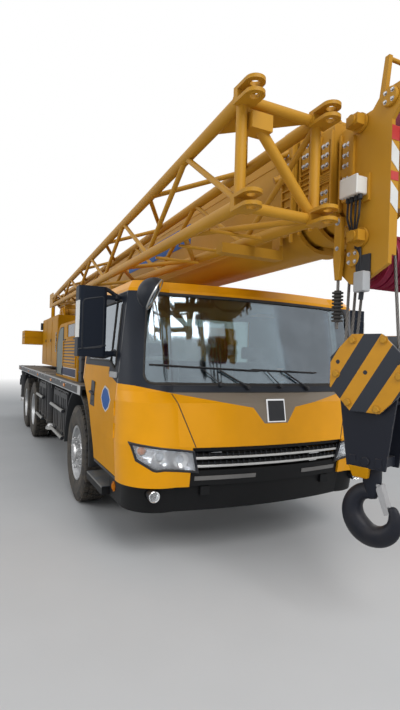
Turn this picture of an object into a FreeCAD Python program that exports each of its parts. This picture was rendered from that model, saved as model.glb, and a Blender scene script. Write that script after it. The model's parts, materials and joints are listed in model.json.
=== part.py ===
# A three-axle truck crane with a full-width low cab, a five-section boom over it and a lattice
# fly jib stowed along the boom's right side. Millimetres, X forward, Y left, Z up, with the
# origin on the ground below the middle of the crane's length and width.
import FreeCAD, Part
import math
import operator
import os
from types import SimpleNamespace

import Sketcher
from FreeCAD import Placement, Rotation, Vector

DOC = FreeCAD.newDocument("TruckCrane")
NODES = []

# The driving sizes: alias, value in millimetres or degrees, what it measures
SIZES = (
    ("rear_reach", 7600, "front axle back to the rear end"),
    ("half_width", 1250, "centreline to the side of cab and deck"),
    ("wheelbase", 4350, "front axle to the first rear axle"),
    ("bogie_spacing", 1350, "between the two rear axles"),
    ("slew_offset", 4950, "front axle back to the slewing centre"),
    # wheels and axles
    ("tyre_radius", 535, "tyre's outer radius, the axle's height"),
    ("tyre_width", 290, "a tyre's width"),
    ("tread_width", 236, "width of the running face"),
    ("rim_radius", 286, "tyre's seat on the rim"),
    ("rim_width", 226, "between the rim's flanges"),
    ("wheel_face", 1225, "centreline to the outer tyre's side"),
    ("twin_pitch", 330, "between the planes of twin tyres"),
    ("hub_radius", 118, "hub's outer radius"),
    ("spindle_radius", 45, "spindle in the hub"),
    ("kingpin_line", 880, "centreline to the kingpin"),
    ("kingpin_radius", 25, "kingpin"),
    ("running_gap", 0.3, "fit of pins, rods and seats"),
    ("clear_gap", 6, "gap round a moving panel or beam"),
    # frame and deck
    ("frame_half", 430, "centreline to a rail's outer face"),
    ("rail_width", 80, "width of a rail"),
    ("frame_base", 800, "underside of the rails"),
    ("frame_top", 1120, "top of the rails"),
    ("nose_base", 560, "underside of the frame's dropped nose"),
    ("nose_top", 780, "top of the dropped nose"),
    ("deck_top", 1310, "walking surface"),
    ("deck_plate", 40, "thickness of the deck"),
    ("deck_edge", 100, "height of the deck's side edge"),
    ("deck_front", 330, "front axle forward to the deck's front"),
    ("pedestal_radius", 640, "slewing ring"),
    ("ring_gap", 60, "turntable above the deck"),
    # outriggers
    ("front_outrigger", 2350, "front axle back to the front pair"),
    ("rear_outrigger", 6860, "front axle back to the rear pair"),
    ("beam_width", 150, "an outrigger beam along the crane"),
    ("beam_height", 210, "an outrigger beam's height"),
    ("beam_base", 850, "underside of a beam"),
    ("sleeve_wall", 14, "wall of the beams' sleeves"),
    ("sleeve_half", 1050, "centreline to a sleeve's mouth"),
    ("jack_line", 1150, "centreline to a stowed jack"),
    ("jack_radius", 82, "jack's tube"),
    ("leg_radius", 58, "jack's leg"),
    ("jack_foot", 460, "height of a stowed jack's foot"),
    # driver's cab
    ("cab_rear", 420, "front axle forward to the rear wall"),
    ("cab_sill", 680, "lower edge of doors and side"),
    ("cab_lip", 650, "lower edge of the front"),
    ("cab_floor", 860, "floor surface"),
    ("cab_nose", 2200, "front axle forward to the front panel"),
    ("nose_height", 970, "height of the foremost line"),
    ("lip_front", 2150, "front axle forward to the lower lip"),
    ("screen_base", 1380, "height of the windscreen's foot"),
    ("screen_foot", 2040, "front axle forward to the windscreen's foot"),
    ("roof_height", 2280, "top of the roof"),
    ("roof_front", 1885, "front axle forward to the roof's front"),
    ("roof_inset", 75, "how much the sides lean in"),
    ("nose_bow", 85, "bow of the front in plan"),
    ("corner_side", 1730, "front axle forward to where the corner starts"),
    ("corner_front", 850, "centreline to where the corner starts"),
    ("cab_wall", 40, "thickness of walls and doors"),
    ("glass_depth", 8, "glass below the outer face"),
    ("glass_thickness", 12, "thickness of the panes"),
    ("arch_radius", 970, "wheel arch cut in the cab"),
    ("fender_radius", 700, "mudguard over the front wheel"),
    ("fender_wall", 16, "thickness of the mudguard"),
    ("belt_rear", 1555, "door's waist at its rear"),
    ("belt_front", 1440, "waist at the front corner"),
    ("door_front", 1694, "front axle forward to the door's front edge"),
    ("door_top", 2170, "top edge of the door"),
    ("hinge_radius", 9, "barrel of a door hinge"),
    ("hinge_pin", 4, "pin of a door hinge"),
    ("hinge_length", 60, "half the height of a door hinge"),
    # engine, hood and side boxes
    ("hood_rear", 2150, "front axle back to the hood's rear"),
    ("hood_front", 500, "front axle back to the hood's front"),
    ("hood_half", 1130, "centreline to the hood's side"),
    ("hood_top", 2090, "top of the hood"),
    ("hood_wall", 30, "wall of the hood"),
    ("box_inner", 740, "centreline to the side boxes' inner face"),
    ("box_outer", 1170, "centreline to the side boxes' outer face"),
    ("box_base", 520, "underside of the side boxes"),
    ("box_top", 1150, "top of the side boxes"),
    ("guard_line", 1226, "centreline to the guard tubes"),
    ("guard_radius", 22, "a guard tube"),
    ("guard_low", 490, "height of the lower tube"),
    ("guard_high", 900, "height of the upper tube"),
    # turntable
    ("tower_half", 400, "centreline to the inner face of a side plate"),
    ("tower_plate", 40, "thickness of a side plate"),
    ("base_plate", 50, "thickness of the turntable's floor"),
    ("pivot_back", 1250, "slewing centre back to the boom's pivot"),
    ("pivot_height", 2640, "height of the boom's pivot"),
    ("pivot_radius", 60, "boom's pin"),
    ("tail_reach", 2600, "slewing centre back to the counterweight's rear"),
    ("tail_length", 850, "counterweight along the crane"),
    ("tail_half", 1200, "half the counterweight's width"),
    ("tail_bevel", 320, "bevel of its rear corners across the crane"),
    ("tail_base", 1850, "underside of the counterweight"),
    ("tail_top", 2180, "top of the counterweight"),
    ("drum_back", 1460, "slewing centre back to the winch drum"),
    ("drum_height", 1960, "height of the drum's axis"),
    ("drum_radius", 175, "barrel of the drum"),
    ("drum_flange", 270, "flange of the drum"),
    ("foot_back", 350, "slewing centre back to the cylinder's foot"),
    ("foot_rise", 200, "cylinder's foot pin above the turntable's floor"),
    ("barrel_radius", 120, "luffing cylinder's barrel"),
    ("piston_rod", 78, "luffing cylinder's rod"),
    ("eye_ahead", 3600, "boom's pivot forward to the rod's eye"),
    ("eye_height", 2300, "height of the rod's eye with the boom level"),
    # operator's cab
    ("opcab_rear", 250, "slewing centre forward to the rear wall"),
    ("opcab_front", 1800, "slewing centre forward to the front"),
    ("opcab_inner", 470, "centreline to the inner wall"),
    ("opcab_outer", 1200, "centreline to the outer wall"),
    ("opcab_base", 1440, "underside"),
    ("opcab_top", 3020, "roof"),
    # boom
    ("boom_half", 290, "half the width of the base section"),
    ("boom_base_line", 2440, "underside of the base section"),
    ("boom_top_line", 3220, "top of the base section"),
    ("boom_wall", 10, "wall of a section"),
    ("nest_side", 38, "side step from section to section"),
    ("nest_height", 45, "height step from section to section"),
    ("keel_half", 60, "half the flat under a section"),
    ("boom_tail", 150, "pivot back to the base section's end"),
    ("collar_start", 2620, "front axle forward to the first collar"),
    ("collar_pitch", 155, "from collar to collar"),
    ("collar_length", 130, "a collar along the boom"),
    ("collar_rim", 38, "a collar's step outside its section"),
    ("collar_drop", 15, "a collar's step below its section"),
    ("nest_tail", 120, "step between the sections' rear ends"),
    # boom head
    ("head_rear", 3270, "front axle forward to the head's rear edge"),
    ("head_front", 3560, "front axle forward to the head's front edge"),
    ("head_half", 295, "half the head's width"),
    ("head_plate", 26, "thickness of the head's plates"),
    ("head_base", 2120, "underside of the head"),
    ("head_rise", 50, "top of the head above the innermost section"),
    ("load_axis", 3310, "front axle forward to the load sheaves"),
    ("load_height", 2270, "height of the load sheaves' axis"),
    ("load_sheave", 165, "load sheave's radius"),
    ("guide_axis", 3550, "front axle forward to the guide sheaves"),
    ("guide_rise", 830, "guide sheaves' axis above the load sheaves'"),
    ("guide_sheave", 195, "guide sheave's radius"),
    ("sheave_width", 44, "width of a sheave"),
    ("sheave_pin", 36, "pins of the sheaves"),
    # hook
    ("block_side", -100, "hook block's middle, left of the centreline"),
    ("block_height", 1600, "height of the hook block's middle"),
    ("block_half", 230, "half the hook block's length and height"),
    ("cheek_gap", 96, "block's middle to a cheek plate's inner face"),
    ("cheek_plate", 34, "thickness of a cheek plate"),
    ("rope_radius", 9, "hoist rope"),
    ("hook_centre", 745, "height of the hook's middle"),
    ("hook_bowl", 100, "radius of the hook's opening"),
    ("hook_section", 46, "radius of the hook's bar"),
    # fly jib
    ("jib_front", 3250, "front axle forward to the jib's base"),
    ("jib_length", 8000, "base to the tip's sheave"),
    ("jib_outer", 1030, "centreline to the outer chords at the base"),
    ("jib_inner", 530, "centreline to the inner chords at the base"),
    ("jib_low", 2480, "height of the lower chords at the base"),
    ("jib_high", 3050, "height of the upper chords at the base"),
    ("jib_tip_side", 790, "centreline to the jib's tip"),
    ("jib_tip_height", 2700, "height of the jib's tip"),
    ("jib_tip_half", 70, "half the jib's width and height at its tip"),
    ("chord_radius", 38, "a chord"),
    ("lace_radius", 19, "a lacing tube"),
)


class Size:
    """A length or angle with the sheet expression that gives it."""

    def __init__(self, text, value):
        self.text = text
        self.value = float(value)

    def __add__(self, other):
        return joined(self, "+", other)

    def __radd__(self, other):
        return joined(other, "+", self)

    def __sub__(self, other):
        return joined(self, "-", other)

    def __rsub__(self, other):
        return joined(other, "-", self)

    def __mul__(self, other):
        return joined(self, "*", other)

    def __rmul__(self, other):
        return joined(other, "*", self)

    def __truediv__(self, other):
        return joined(self, "/", other)

    def __neg__(self):
        return joined(0, "-", self)

    def __float__(self):
        return self.value


OPERATIONS = {"+": operator.add, "-": operator.sub, "*": operator.mul, "/": operator.truediv}


def as_size(number):
    """A plain number as a Size, and a Size as it is."""
    if isinstance(number, Size):
        return number
    return Size(f"({number})" if number < 0 else f"{number}", number)


def joined(left, sign, right):
    """Two sizes joined by one of the four signs."""
    a = as_size(left)
    b = as_size(right)
    return Size(f"({a.text} {sign} {b.text})", OPERATIONS[sign](a.value, b.value))


def fill_sheet():
    """The spreadsheet of driving sizes, and one Size for each alias."""
    sheet = DOC.addObject("Spreadsheet::Sheet", "Sizes")
    for row, (alias, value, meaning) in enumerate(SIZES, start=1):
        sheet.set(f"A{row}", alias)
        sheet.set(f"B{row}", str(value))
        sheet.set(f"C{row}", meaning)
        sheet.setAlias(f"B{row}", alias)
    DOC.recompute()
    return SimpleNamespace(**{alias: Size(f"Sizes.{alias}", value) for alias, value, _ in SIZES})


S = fill_sheet()

# Stations along the crane, from the driving sizes
FRONT_REACH = S.guide_axis + S.guide_sheave
FRONT_AXLE = (S.rear_reach - FRONT_REACH) / 2
REAR_END = FRONT_AXLE - S.rear_reach
REAR_AXLES = (FRONT_AXLE - S.wheelbase, FRONT_AXLE - S.wheelbase - S.bogie_spacing)
SLEW = FRONT_AXLE - S.slew_offset
PIVOT = SLEW - S.pivot_back
RING_TOP = S.deck_top + S.ring_gap
FLOOR_TOP = RING_TOP + S.base_plate
FOOT_HEIGHT = FLOOR_TOP + S.foot_rise
HEAD_TOP = S.boom_top_line - S.nest_height * 4 + S.head_rise
DECK_BASE = S.deck_top - S.deck_plate
WHEEL_PLANE = S.wheel_face - S.tyre_width / 2

# How a shape made along +Z is turned to lie along each axis
TURNS = {
    "x": Rotation(Vector(0, 1, 0), 90),
    "y": Rotation(Vector(1, 0, 0), -90),
    "z": Rotation(),
}
PLANES = {"xy": "XY_Plane", "xz": "XZ_Plane", "yz": "YZ_Plane"}


def ahead(distance):
    """A station forward of the front axle."""
    return FRONT_AXLE + distance


def bind(thing, name, size):
    """Ties one property to the sheet."""
    thing.setExpression(name, as_size(size).text)


def place(thing, x, y, z):
    """Ties a thing's position to the sheet."""
    for axis, size in zip("xyz", (x, y, z)):
        if isinstance(size, Size) or size != 0:
            bind(thing, f"Placement.Base.{axis}", size)
    return thing


def block(name, x, y, z):
    """A box between pairs of X, Y and Z."""
    box = DOC.addObject("Part::Box", name)
    for side, (low, high) in zip(("Length", "Width", "Height"), (x, y, z)):
        bind(box, side, as_size(high) - low)
    return place(box, x[0], y[0], z[0])


def rod(name, axis, start, radius, length):
    """A round bar from its start along an axis."""
    bar = DOC.addObject("Part::Cylinder", name)
    bar.Placement = Placement(Vector(), TURNS[axis])
    bind(bar, "Radius", radius)
    bind(bar, "Height", length)
    return place(bar, *start)


def outline_sketch(body, name, plane, outline):
    """A closed sketch with every corner tied to the sheet."""
    sketch = body.newObject("Sketcher::SketchObject", f"{name}_outline")
    origin_plane = next(f for f in body.Origin.OriginFeatures if f.Role == PLANES[plane])
    sketch.AttachmentSupport = [(origin_plane, "")]
    sketch.MapMode = "FlatFace"
    corners = [(as_size(u), as_size(v)) for u, v in outline]
    count = len(corners)
    for i, (u, v) in enumerate(corners):
        ahead_u, ahead_v = corners[(i + 1) % count]
        start = Vector(u.value, v.value, 0)
        end = Vector(ahead_u.value, ahead_v.value, 0)
        sketch.addGeometry(Part.LineSegment(start, end), False)
    ties = []
    for i in range(count):
        ties.append(Sketcher.Constraint("Coincident", i, 2, (i + 1) % count, 1))
    for i, (u, v) in enumerate(corners):
        ties.append(Sketcher.Constraint("DistanceX", -1, 1, i, 1, u.value))
        ties.append(Sketcher.Constraint("DistanceY", -1, 1, i, 1, v.value))
    sketch.addConstraint(ties)
    for i, corner in enumerate(corners):
        for j, size in enumerate(corner):
            if "Sizes" in size.text:
                sketch.setExpression(f"Constraints[{count + 2 * i + j}]", size.text)
    return sketch


def prism(name, plane, outline, low, high, soften=None):
    """An outline padded between two stations, its chosen corners rounded."""
    body = DOC.addObject("PartDesign::Body", name)
    sketch = outline_sketch(body, name, plane, outline)
    pad = body.newObject("PartDesign::Pad", f"{name}_pad")
    pad.Profile = sketch
    bind(pad, "Length", as_size(high) - low)
    start = {"xy": (0, 0, low), "xz": (0, high, 0), "yz": (low, 0, 0)}[plane]
    place(body, *start)
    if soften:
        DOC.recompute()
        for radius, corners in soften:
            round_corners(body, name, plane, [outline[i] for i in corners], radius)
    return body


def round_corners(body, name, plane, corners, radius):
    """Rounds the padded edges that stand on the given outline corners."""
    tip = body.Tip
    spots = [(float(u), float(v)) for u, v in corners]
    edges = []
    for number, edge in enumerate(tip.Shape.Edges, start=1):
        flats = [flat_of(plane, vertex.Point) for vertex in edge.Vertexes]
        if len(flats) == 2 and math.dist(*flats) < 0.01:
            if any(math.dist(flats[0], spot) < 0.01 for spot in spots):
                edges.append(f"Edge{number}")
    fillet = body.newObject("PartDesign::Fillet", f"{name}_round")
    fillet.Base = (tip, edges)
    bind(fillet, "Radius", radius)
    body.Tip = fillet
    DOC.recompute()


def flat_of(plane, point):
    """A point's two coordinates in a sketch plane."""
    return {"xy": (point.x, point.y), "xz": (point.x, point.z), "yz": (point.y, point.z)}[plane]


def turned(name, axis, start, profile):
    """A profile of radius and station, turned about an axis."""
    body = DOC.addObject("PartDesign::Body", name)
    sketch = outline_sketch(body, name, "xz", profile)
    turn = body.newObject("PartDesign::Revolution", f"{name}_turn")
    turn.Profile = sketch
    turn.ReferenceAxis = (sketch, ["V_Axis"])
    turn.Angle = 360
    body.Placement = Placement(Vector(), TURNS[axis])
    return place(body, *start)


def fuse(name, *pieces):
    """Pieces welded into one."""
    if len(pieces) == 1:
        return pieces[0]
    whole = DOC.addObject("Part::MultiFuse", name)
    whole.Shapes = list(pieces)
    return whole


def cut(name, base, *tools):
    """A piece with others taken away."""
    result = DOC.addObject("Part::Cut", name)
    result.Base = base
    result.Tool = tools[0] if len(tools) == 1 else fuse(f"{name}_tools", *tools)
    return result


def common(name, *pieces):
    """What all the pieces share."""
    shared = DOC.addObject("Part::MultiCommon", name)
    shared.Shapes = list(pieces)
    return shared


def group(name, *pieces):
    """Separate solids kept together in one sub-part."""
    bundle = DOC.addObject("Part::Compound", name)
    bundle.Links = list(pieces)
    return bundle


def mirror(name, source):
    """A copy on the crane's other side."""
    copy = DOC.addObject("Part::Mirroring", name)
    copy.Source = source
    copy.Normal = Vector(0, 1, 0)
    return copy


def both_sides(name, source):
    """A piece and its mirror image."""
    return source, mirror(f"{name}_other", source)


def shaped(name, shape):
    """A piece whose shape is worked out here from the sheet's values."""
    feature = DOC.addObject("Part::Feature", name)
    feature.Shape = shape
    return feature


def node(name, thing):
    """Marks a finished sub-part, which gets its own file."""
    thing.Label = name
    NODES.append(thing)
    return thing


def make_frame():
    """Rails with a dropped nose, sleeves for the outrigger beams and the slewing ring's seat."""
    rail_rear = REAR_END + 60
    drop_rear = ahead(600)
    drop_front = ahead(720)
    nose_front = ahead(1800)
    inner = S.frame_half - S.rail_width
    side = (inner, S.frame_half)
    rail = fuse(
        "rail",
        block("rail_main", (rail_rear, drop_front), side, (S.frame_base, S.frame_top)),
        block("rail_drop", (drop_rear, drop_front), side, (S.nose_base, S.frame_top)),
        block("rail_nose", (drop_rear, nose_front), side, (S.nose_base, S.nose_top)),
        block("cab_mount_front", (ahead(1560), ahead(1680)), side, (S.nose_top, CAB_UNDER)),
        block("cab_mount_rear", (ahead(1020), ahead(1140)), side, (S.nose_top, CAB_UNDER)),
    )
    parts = [*both_sides("rail", rail)]
    member_half = 50
    member_inset = 60
    for i, distance in enumerate((-320, -3300, -5025, -6350, -7300)):
        station = ahead(distance)
        height = (S.frame_base + member_inset, S.frame_top - member_inset)
        x = (station - member_half, station + member_half)
        parts.append(block(f"cross_member_{i}", x, (-inner, inner), height))
    nose_member = (ahead(1700), ahead(1790))
    parts.append(block("nose_member", nose_member, (-inner, inner), (S.nose_base, S.nose_top)))
    bearer_half = 30
    bearer_end = S.half_width - 50
    short_end = S.kingpin_line - 80
    bearers = (
        (-350, short_end), (-2080, bearer_end), (-2700, bearer_end), (-3740, bearer_end),
        (-6150, bearer_end), (-7150, bearer_end),
    )
    for i, (distance, end) in enumerate(bearers):
        station = ahead(distance)
        x = (station - bearer_half, station + bearer_half)
        parts.append(block(f"bearer_{i}", x, (-end, end), (S.frame_top, DECK_BASE)))
    tail_beam = (REAR_END, rail_rear)
    tail_height = (S.frame_base, S.frame_base + 160)
    parts.append(block("tail_beam", tail_beam, (-bearer_end, bearer_end), tail_height))
    ring_plate = 30
    ring_half = S.pedestal_radius + 10
    plate_x = (SLEW - ring_half, SLEW + ring_half)
    plate_z = (S.frame_top - ring_plate, S.frame_top)
    parts.append(block("ring_plate", plate_x, (-ring_half, ring_half), plate_z))
    seat_start = (SLEW, 0, S.frame_top)
    seat_height = DECK_BASE - S.frame_top
    seat = rod("ring_seat", "z", seat_start, S.pedestal_radius, seat_height)
    bore = rod("ring_bore", "z", seat_start, S.pedestal_radius - 130, seat_height)
    parts.append(cut("ring_seat_tube", seat, bore))
    channels = []
    pads = []
    for label, station in OUTRIGGERS:
        half = BEAM_PITCH / 2 + S.beam_width / 2 + S.clear_gap + S.sleeve_wall
        skin = S.clear_gap + S.sleeve_wall
        height = (S.beam_base - skin, S.beam_base + S.beam_height + skin)
        sleeve_y = (-S.sleeve_half, S.sleeve_half)
        parts.append(block(f"{label}_sleeve", (station - half, station + half), sleeve_y, height))
        for side_name, sign in SIDES:
            middle = beam_station(station, sign)
            half_channel = S.beam_width / 2 + S.clear_gap
            x = (middle - half_channel, middle + half_channel)
            z = (S.beam_base - S.clear_gap, S.beam_base + S.beam_height + S.clear_gap)
            channels.append(block(f"{label}_{side_name}_channel", x, sleeve_y, z))
            pad_z = (S.beam_base - S.clear_gap, S.beam_base - S.running_gap)
            for end, (low, high) in enumerate(PAD_SPANS):
                y = ordered(sign, low, high)
                pads.append(block(f"{label}_{side_name}_pad_{end}", x, y, pad_z))
    frame = cut("frame_opened", fuse("frame_welded", *parts), *channels)
    node("frame", fuse("frame_form", frame, *pads))


def ordered(sign, near, far):
    """A pair of Y stations on one side of the crane, the lower first."""
    return (near, far) if sign > 0 else (-far, -near)


def beam_station(station, sign):
    """The middle of one side's beam, which lies before or behind the other side's."""
    return station - BEAM_PITCH / 2 * sign


def make_deck():
    """The deck plate with its edges and the front mudguards under it."""
    rear = REAR_END + 220
    front = ahead(S.deck_front)
    edge = 20
    side = (-S.half_width, S.half_width)
    plate = block("deck_plate", (rear, front), side, (DECK_BASE, S.deck_top))
    drop = (S.deck_top - S.deck_edge, S.deck_top)
    side_edge = block("deck_side", (rear, front), (S.half_width - edge, S.half_width), drop)
    rear_edge = block("deck_rear_edge", (rear, rear + edge), side, drop)
    ring_hole = rod("ring_hole", "z", (SLEW, 0, DECK_BASE), S.pedestal_radius + 180, S.deck_plate)
    hole_x = (ahead(-2060), ahead(-600))
    hole_half = S.frame_half - 10
    engine_hole = block("engine_hole", hole_x, (-hole_half, hole_half), (DECK_BASE, S.deck_top))
    floor = cut("deck_floor", plate, ring_hole, engine_hole)
    inner = S.kingpin_line - 70
    outer = S.half_width - 28
    width = outer - inner
    start = (FRONT_AXLE, inner, S.tyre_radius)
    outside = S.fender_radius + S.fender_wall
    shell = cut(
        "fender_shell",
        rod("fender_outside", "y", start, outside, width),
        rod("fender_inside", "y", start, S.fender_radius, width),
        block(
            "fender_underside",
            (FRONT_AXLE - outside, FRONT_AXLE + outside),
            (inner, outer),
            (S.tyre_radius - outside, S.tyre_radius),
        ),
    )
    hanger_half = 60
    hanger_x = (FRONT_AXLE - hanger_half, FRONT_AXLE + hanger_half)
    hanger_z = (S.tyre_radius + S.fender_radius + S.fender_wall / 2, DECK_BASE)
    hanger = block("fender_hanger", hanger_x, (inner, outer), hanger_z)
    fender = fuse("fender", shell, hanger)
    sides = [*both_sides("deck_side", side_edge), *both_sides("fender", fender)]
    node("deck", fuse("deck_form", floor, rear_edge, *sides))


def make_axles():
    """The front axle beam on its springs and the two driven rear axles on theirs."""
    beam_half = 55
    beam_z = (EYE_BASE, S.tyre_radius + 5)
    beam_x = (FRONT_AXLE - beam_half, FRONT_AXLE + beam_half)
    spring_inner = S.frame_half - 50
    spring_outer = S.frame_half + 30
    spring_y = (spring_inner, spring_outer)
    spring_base = S.tyre_radius + 65
    spring_top = spring_base + 60
    spring_reach = 550
    hanger = 40
    eye_start = (FRONT_AXLE, S.kingpin_line, EYE_BASE)
    front_end = fuse(
        "front_end",
        block("front_beam_half", beam_x, (0, S.kingpin_line), beam_z),
        rod("kingpin_eye", "z", eye_start, S.kingpin_radius + 37, EYE_HEIGHT),
        block("spring_seat", beam_x, spring_y, (beam_z[1], spring_base)),
        block(
            "front_spring",
            (FRONT_AXLE - spring_reach, FRONT_AXLE + spring_reach),
            spring_y,
            (spring_base, spring_top),
        ),
        block(
            "spring_hanger_rear",
            (FRONT_AXLE - spring_reach, FRONT_AXLE - spring_reach + hanger),
            spring_y,
            (spring_top, S.frame_base),
        ),
        block(
            "spring_hanger_front",
            (FRONT_AXLE + spring_reach - hanger, FRONT_AXLE + spring_reach),
            spring_y,
            (spring_top, S.frame_base),
        ),
    )
    kingpin_bore = rod(
        "kingpin_bore", "z", eye_start, S.kingpin_radius + S.running_gap, EYE_HEIGHT
    )
    front_end = cut("front_end_bored", front_end, kingpin_bore)
    front_axle = fuse("front_axle_form", *both_sides("front_end", front_end))

    tube_end = WHEEL_PLANE - S.twin_pitch - 190
    spindle_end = WHEEL_PLANE - 40
    tube_radius = 80
    bulge = 205
    flange_reach = 230
    leaf_base = S.tyre_radius + tube_radius
    leaf_top = leaf_base + 75
    leaf_y = (S.frame_half + 30, S.frame_half + 110)
    leaf_overhang = 60
    bogie = (REAR_AXLES[0] + REAR_AXLES[1]) / 2
    trunnion_half = 130
    pieces = []
    for i, station in enumerate(REAR_AXLES):
        tube_start = (station, -tube_end, S.tyre_radius)
        spindle_start = (station, -spindle_end, S.tyre_radius)
        pieces.append(rod(f"axle_tube_{i}", "y", tube_start, tube_radius, tube_end * 2))
        spindle = rod(f"axle_spindle_{i}", "y", spindle_start, S.spindle_radius, spindle_end * 2)
        pieces.append(spindle)
        gears = DOC.addObject("Part::Sphere", f"axle_gears_{i}")
        gears.Radius = bulge
        pieces.append(place(gears, station, 0, S.tyre_radius))
    flange = block(
        "input_flange",
        (REAR_AXLES[0], REAR_AXLES[0] + flange_reach),
        (-60, 60),
        (SHAFT_HEIGHT - 60, SHAFT_HEIGHT + 60),
    )
    between = rod(
        "between_shaft",
        "x",
        (REAR_AXLES[1], 0, S.tyre_radius + 60),
        45,
        S.bogie_spacing,
    )
    spring = fuse(
        "rear_spring",
        block(
            "rear_leaves",
            (REAR_AXLES[1] - leaf_overhang, REAR_AXLES[0] + leaf_overhang),
            leaf_y,
            (leaf_base - 10, leaf_top),
        ),
        block(
            "trunnion",
            (bogie - trunnion_half, bogie + trunnion_half),
            (S.frame_half - S.rail_width, leaf_y[1]),
            (leaf_top - 20, S.frame_base),
        ),
    )
    rear = fuse("rear_axle_form", *pieces, flange, between, *both_sides("rear_spring", spring))
    node("axles", group("axles_form", front_axle, rear))


def make_knuckles():
    """The steered knuckles, each with its kingpin and spindle."""
    arm = 30
    arm_half = 45
    gap = S.clear_gap
    reach = S.kingpin_line + 75
    x = (FRONT_AXLE - arm_half, FRONT_AXLE + arm_half)
    arm_y = (S.kingpin_line - arm_half, reach)
    lower = (EYE_BASE - gap - arm, EYE_BASE - gap)
    upper = (EYE_BASE + EYE_HEIGHT + gap, EYE_BASE + EYE_HEIGHT + gap + arm)
    upright_y = (S.kingpin_line + S.kingpin_radius + 40, reach + 10)
    pin_start = (FRONT_AXLE, S.kingpin_line, lower[0])
    spindle_start = (FRONT_AXLE, reach, S.tyre_radius)
    steer_arm_x = (FRONT_AXLE - 210, FRONT_AXLE)
    knuckle = fuse(
        "knuckle_left_form",
        rod("kingpin", "z", pin_start, S.kingpin_radius, upper[1] - lower[0]),
        block("upper_arm", x, arm_y, upper),
        block("lower_arm", x, arm_y, lower),
        block("upright", x, upright_y, (lower[0], upper[1])),
        rod("spindle", "y", spindle_start, S.spindle_radius, WHEEL_PLANE + 30 - reach),
        block("steering_arm", steer_arm_x, (arm_y[0], arm_y[0] + 40), lower),
    )
    node("knuckle_left", knuckle)
    node("knuckle_right", mirror("knuckle_right_form", knuckle))


def rim_profile(twin):
    """Radius and station of a wheel's rim, disc and hub, out from the outer tyre's plane."""
    bore = S.spindle_radius + S.running_gap
    seat = S.rim_radius
    flange = seat + 18
    inner = seat - 24
    half = S.rim_width / 2
    edge = half + 12
    hub = S.hub_radius
    if twin:
        second = -S.twin_pitch
        hub_rear = second - 180
        outer_disc = (-edge + 30, -edge + 30)
        return (
            (bore, hub_rear), (hub, hub_rear),
            (hub, second + edge - 30), (inner, second + edge - 30),
            (inner, second - edge), (flange, second - edge),
            (flange, second - half), (seat, second - half),
            (seat, second + half), (flange, second + half),
            (flange, second + edge), (inner, second + edge),
            (inner, -edge), (flange, -edge),
            (flange, -half), (seat, -half),
            (seat, half), (flange, half),
            (flange, edge), (inner, edge),
            (inner, outer_disc[0]), (hub, outer_disc[1]),
            (hub, 0), (hub - 30, 30),
            (0, 30), (0, -20), (bore, -20),
        )
    return (
        (bore, -half), (hub, -half),
        (hub, 20), (inner, 34),
        (inner, -edge), (flange, -edge),
        (flange, -half), (seat, -half),
        (seat, half), (flange, half),
        (flange, edge), (inner, edge),
        (inner, 62), (hub + 70, 84),
        (hub + 4, 84), (hub - 6, 150),
        (hub - 26, 168), (0, 168),
        (0, 50), (bore, 50),
    )


def tyre_profile(shift):
    """Radius and station of a tyre's section about a plane."""
    half = S.rim_width / 2
    side = S.tyre_width / 2
    tread = S.tread_width / 2
    bead = S.rim_radius + 18 + S.running_gap
    belly = (S.rim_radius + S.tyre_radius) / 2
    shoulder = S.tyre_radius - 22
    rising = (
        (S.rim_radius, shift - half), (bead, shift - half), (bead + 4, shift - half - 14),
        (belly, shift - side), (shoulder, shift - tread - 12), (S.tyre_radius, shift - tread),
    )
    falling = (
        (S.tyre_radius, shift + tread), (shoulder, shift + tread + 12), (belly, shift + side),
        (bead + 4, shift + half + 14), (bead, shift + half), (S.rim_radius, shift + half),
    )
    return (*rising, *falling)


def make_wheels():
    """Single front wheels and twin rear wheels, each a rim and its tyres."""
    for label, station, twin in WHEELS:
        start = (station, WHEEL_PLANE, S.tyre_radius)
        rim = turned(f"rim_{label}_left_form", "y", start, rim_profile(twin))
        tyres = [turned(f"tyre_{label}_outer", "y", start, tyre_profile(as_size(0)))]
        if twin:
            profile = tyre_profile(-S.twin_pitch)
            tyres.append(turned(f"tyre_{label}_inner", "y", start, profile))
        tyre = group(f"tyre_{label}_left_form", *tyres) if twin else tyres[0]
        node(f"rim_{label}_left", rim)
        node(f"tyre_{label}_left", tyre)
        node(f"rim_{label}_right", mirror(f"rim_{label}_right_form", rim))
        node(f"tyre_{label}_right", mirror(f"tyre_{label}_right_form", tyre))


def make_outriggers():
    """Four sliding beams, each with a jack at its end."""
    inner_end = S.sleeve_half - 50
    tube_base = S.jack_foot + 100
    tube_top = DECK_BASE - 80
    cap = 20
    foot_height = 40
    for label, station in OUTRIGGERS:
        for side, sign in SIDES:
            name = f"{label}_{side}"
            middle = beam_station(station, sign)
            x = (middle - S.beam_width / 2, middle + S.beam_width / 2)
            y = ordered(sign, -inner_end, S.jack_line)
            z = (S.beam_base, S.beam_base + S.beam_height)
            jack_y = S.jack_line * sign
            tube = rod(
                f"{name}_tube", "z", (middle, jack_y, tube_base), S.jack_radius,
                tube_top - tube_base,
            )
            bore = rod(
                f"{name}_tube_bore", "z", (middle, jack_y, tube_base),
                S.leg_radius + S.running_gap, tube_top - cap - tube_base,
            )
            whole = fuse(f"{name}_welded", block(f"{name}_box", x, y, z), tube)
            node(f"outrigger_{name}", cut(f"{name}_beam", whole, bore))
            leg_start = (middle, jack_y, S.jack_foot)
            leg_height = tube_top - cap - 10 - S.jack_foot
            foot_radius = S.half_width - S.jack_line - 6
            jack = fuse(
                f"{name}_jack",
                rod(f"{name}_leg", "z", leg_start, S.leg_radius, leg_height),
                rod(f"{name}_foot", "z", leg_start, foot_radius, foot_height),
            )
            node(f"jack_{name}", jack)


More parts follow.
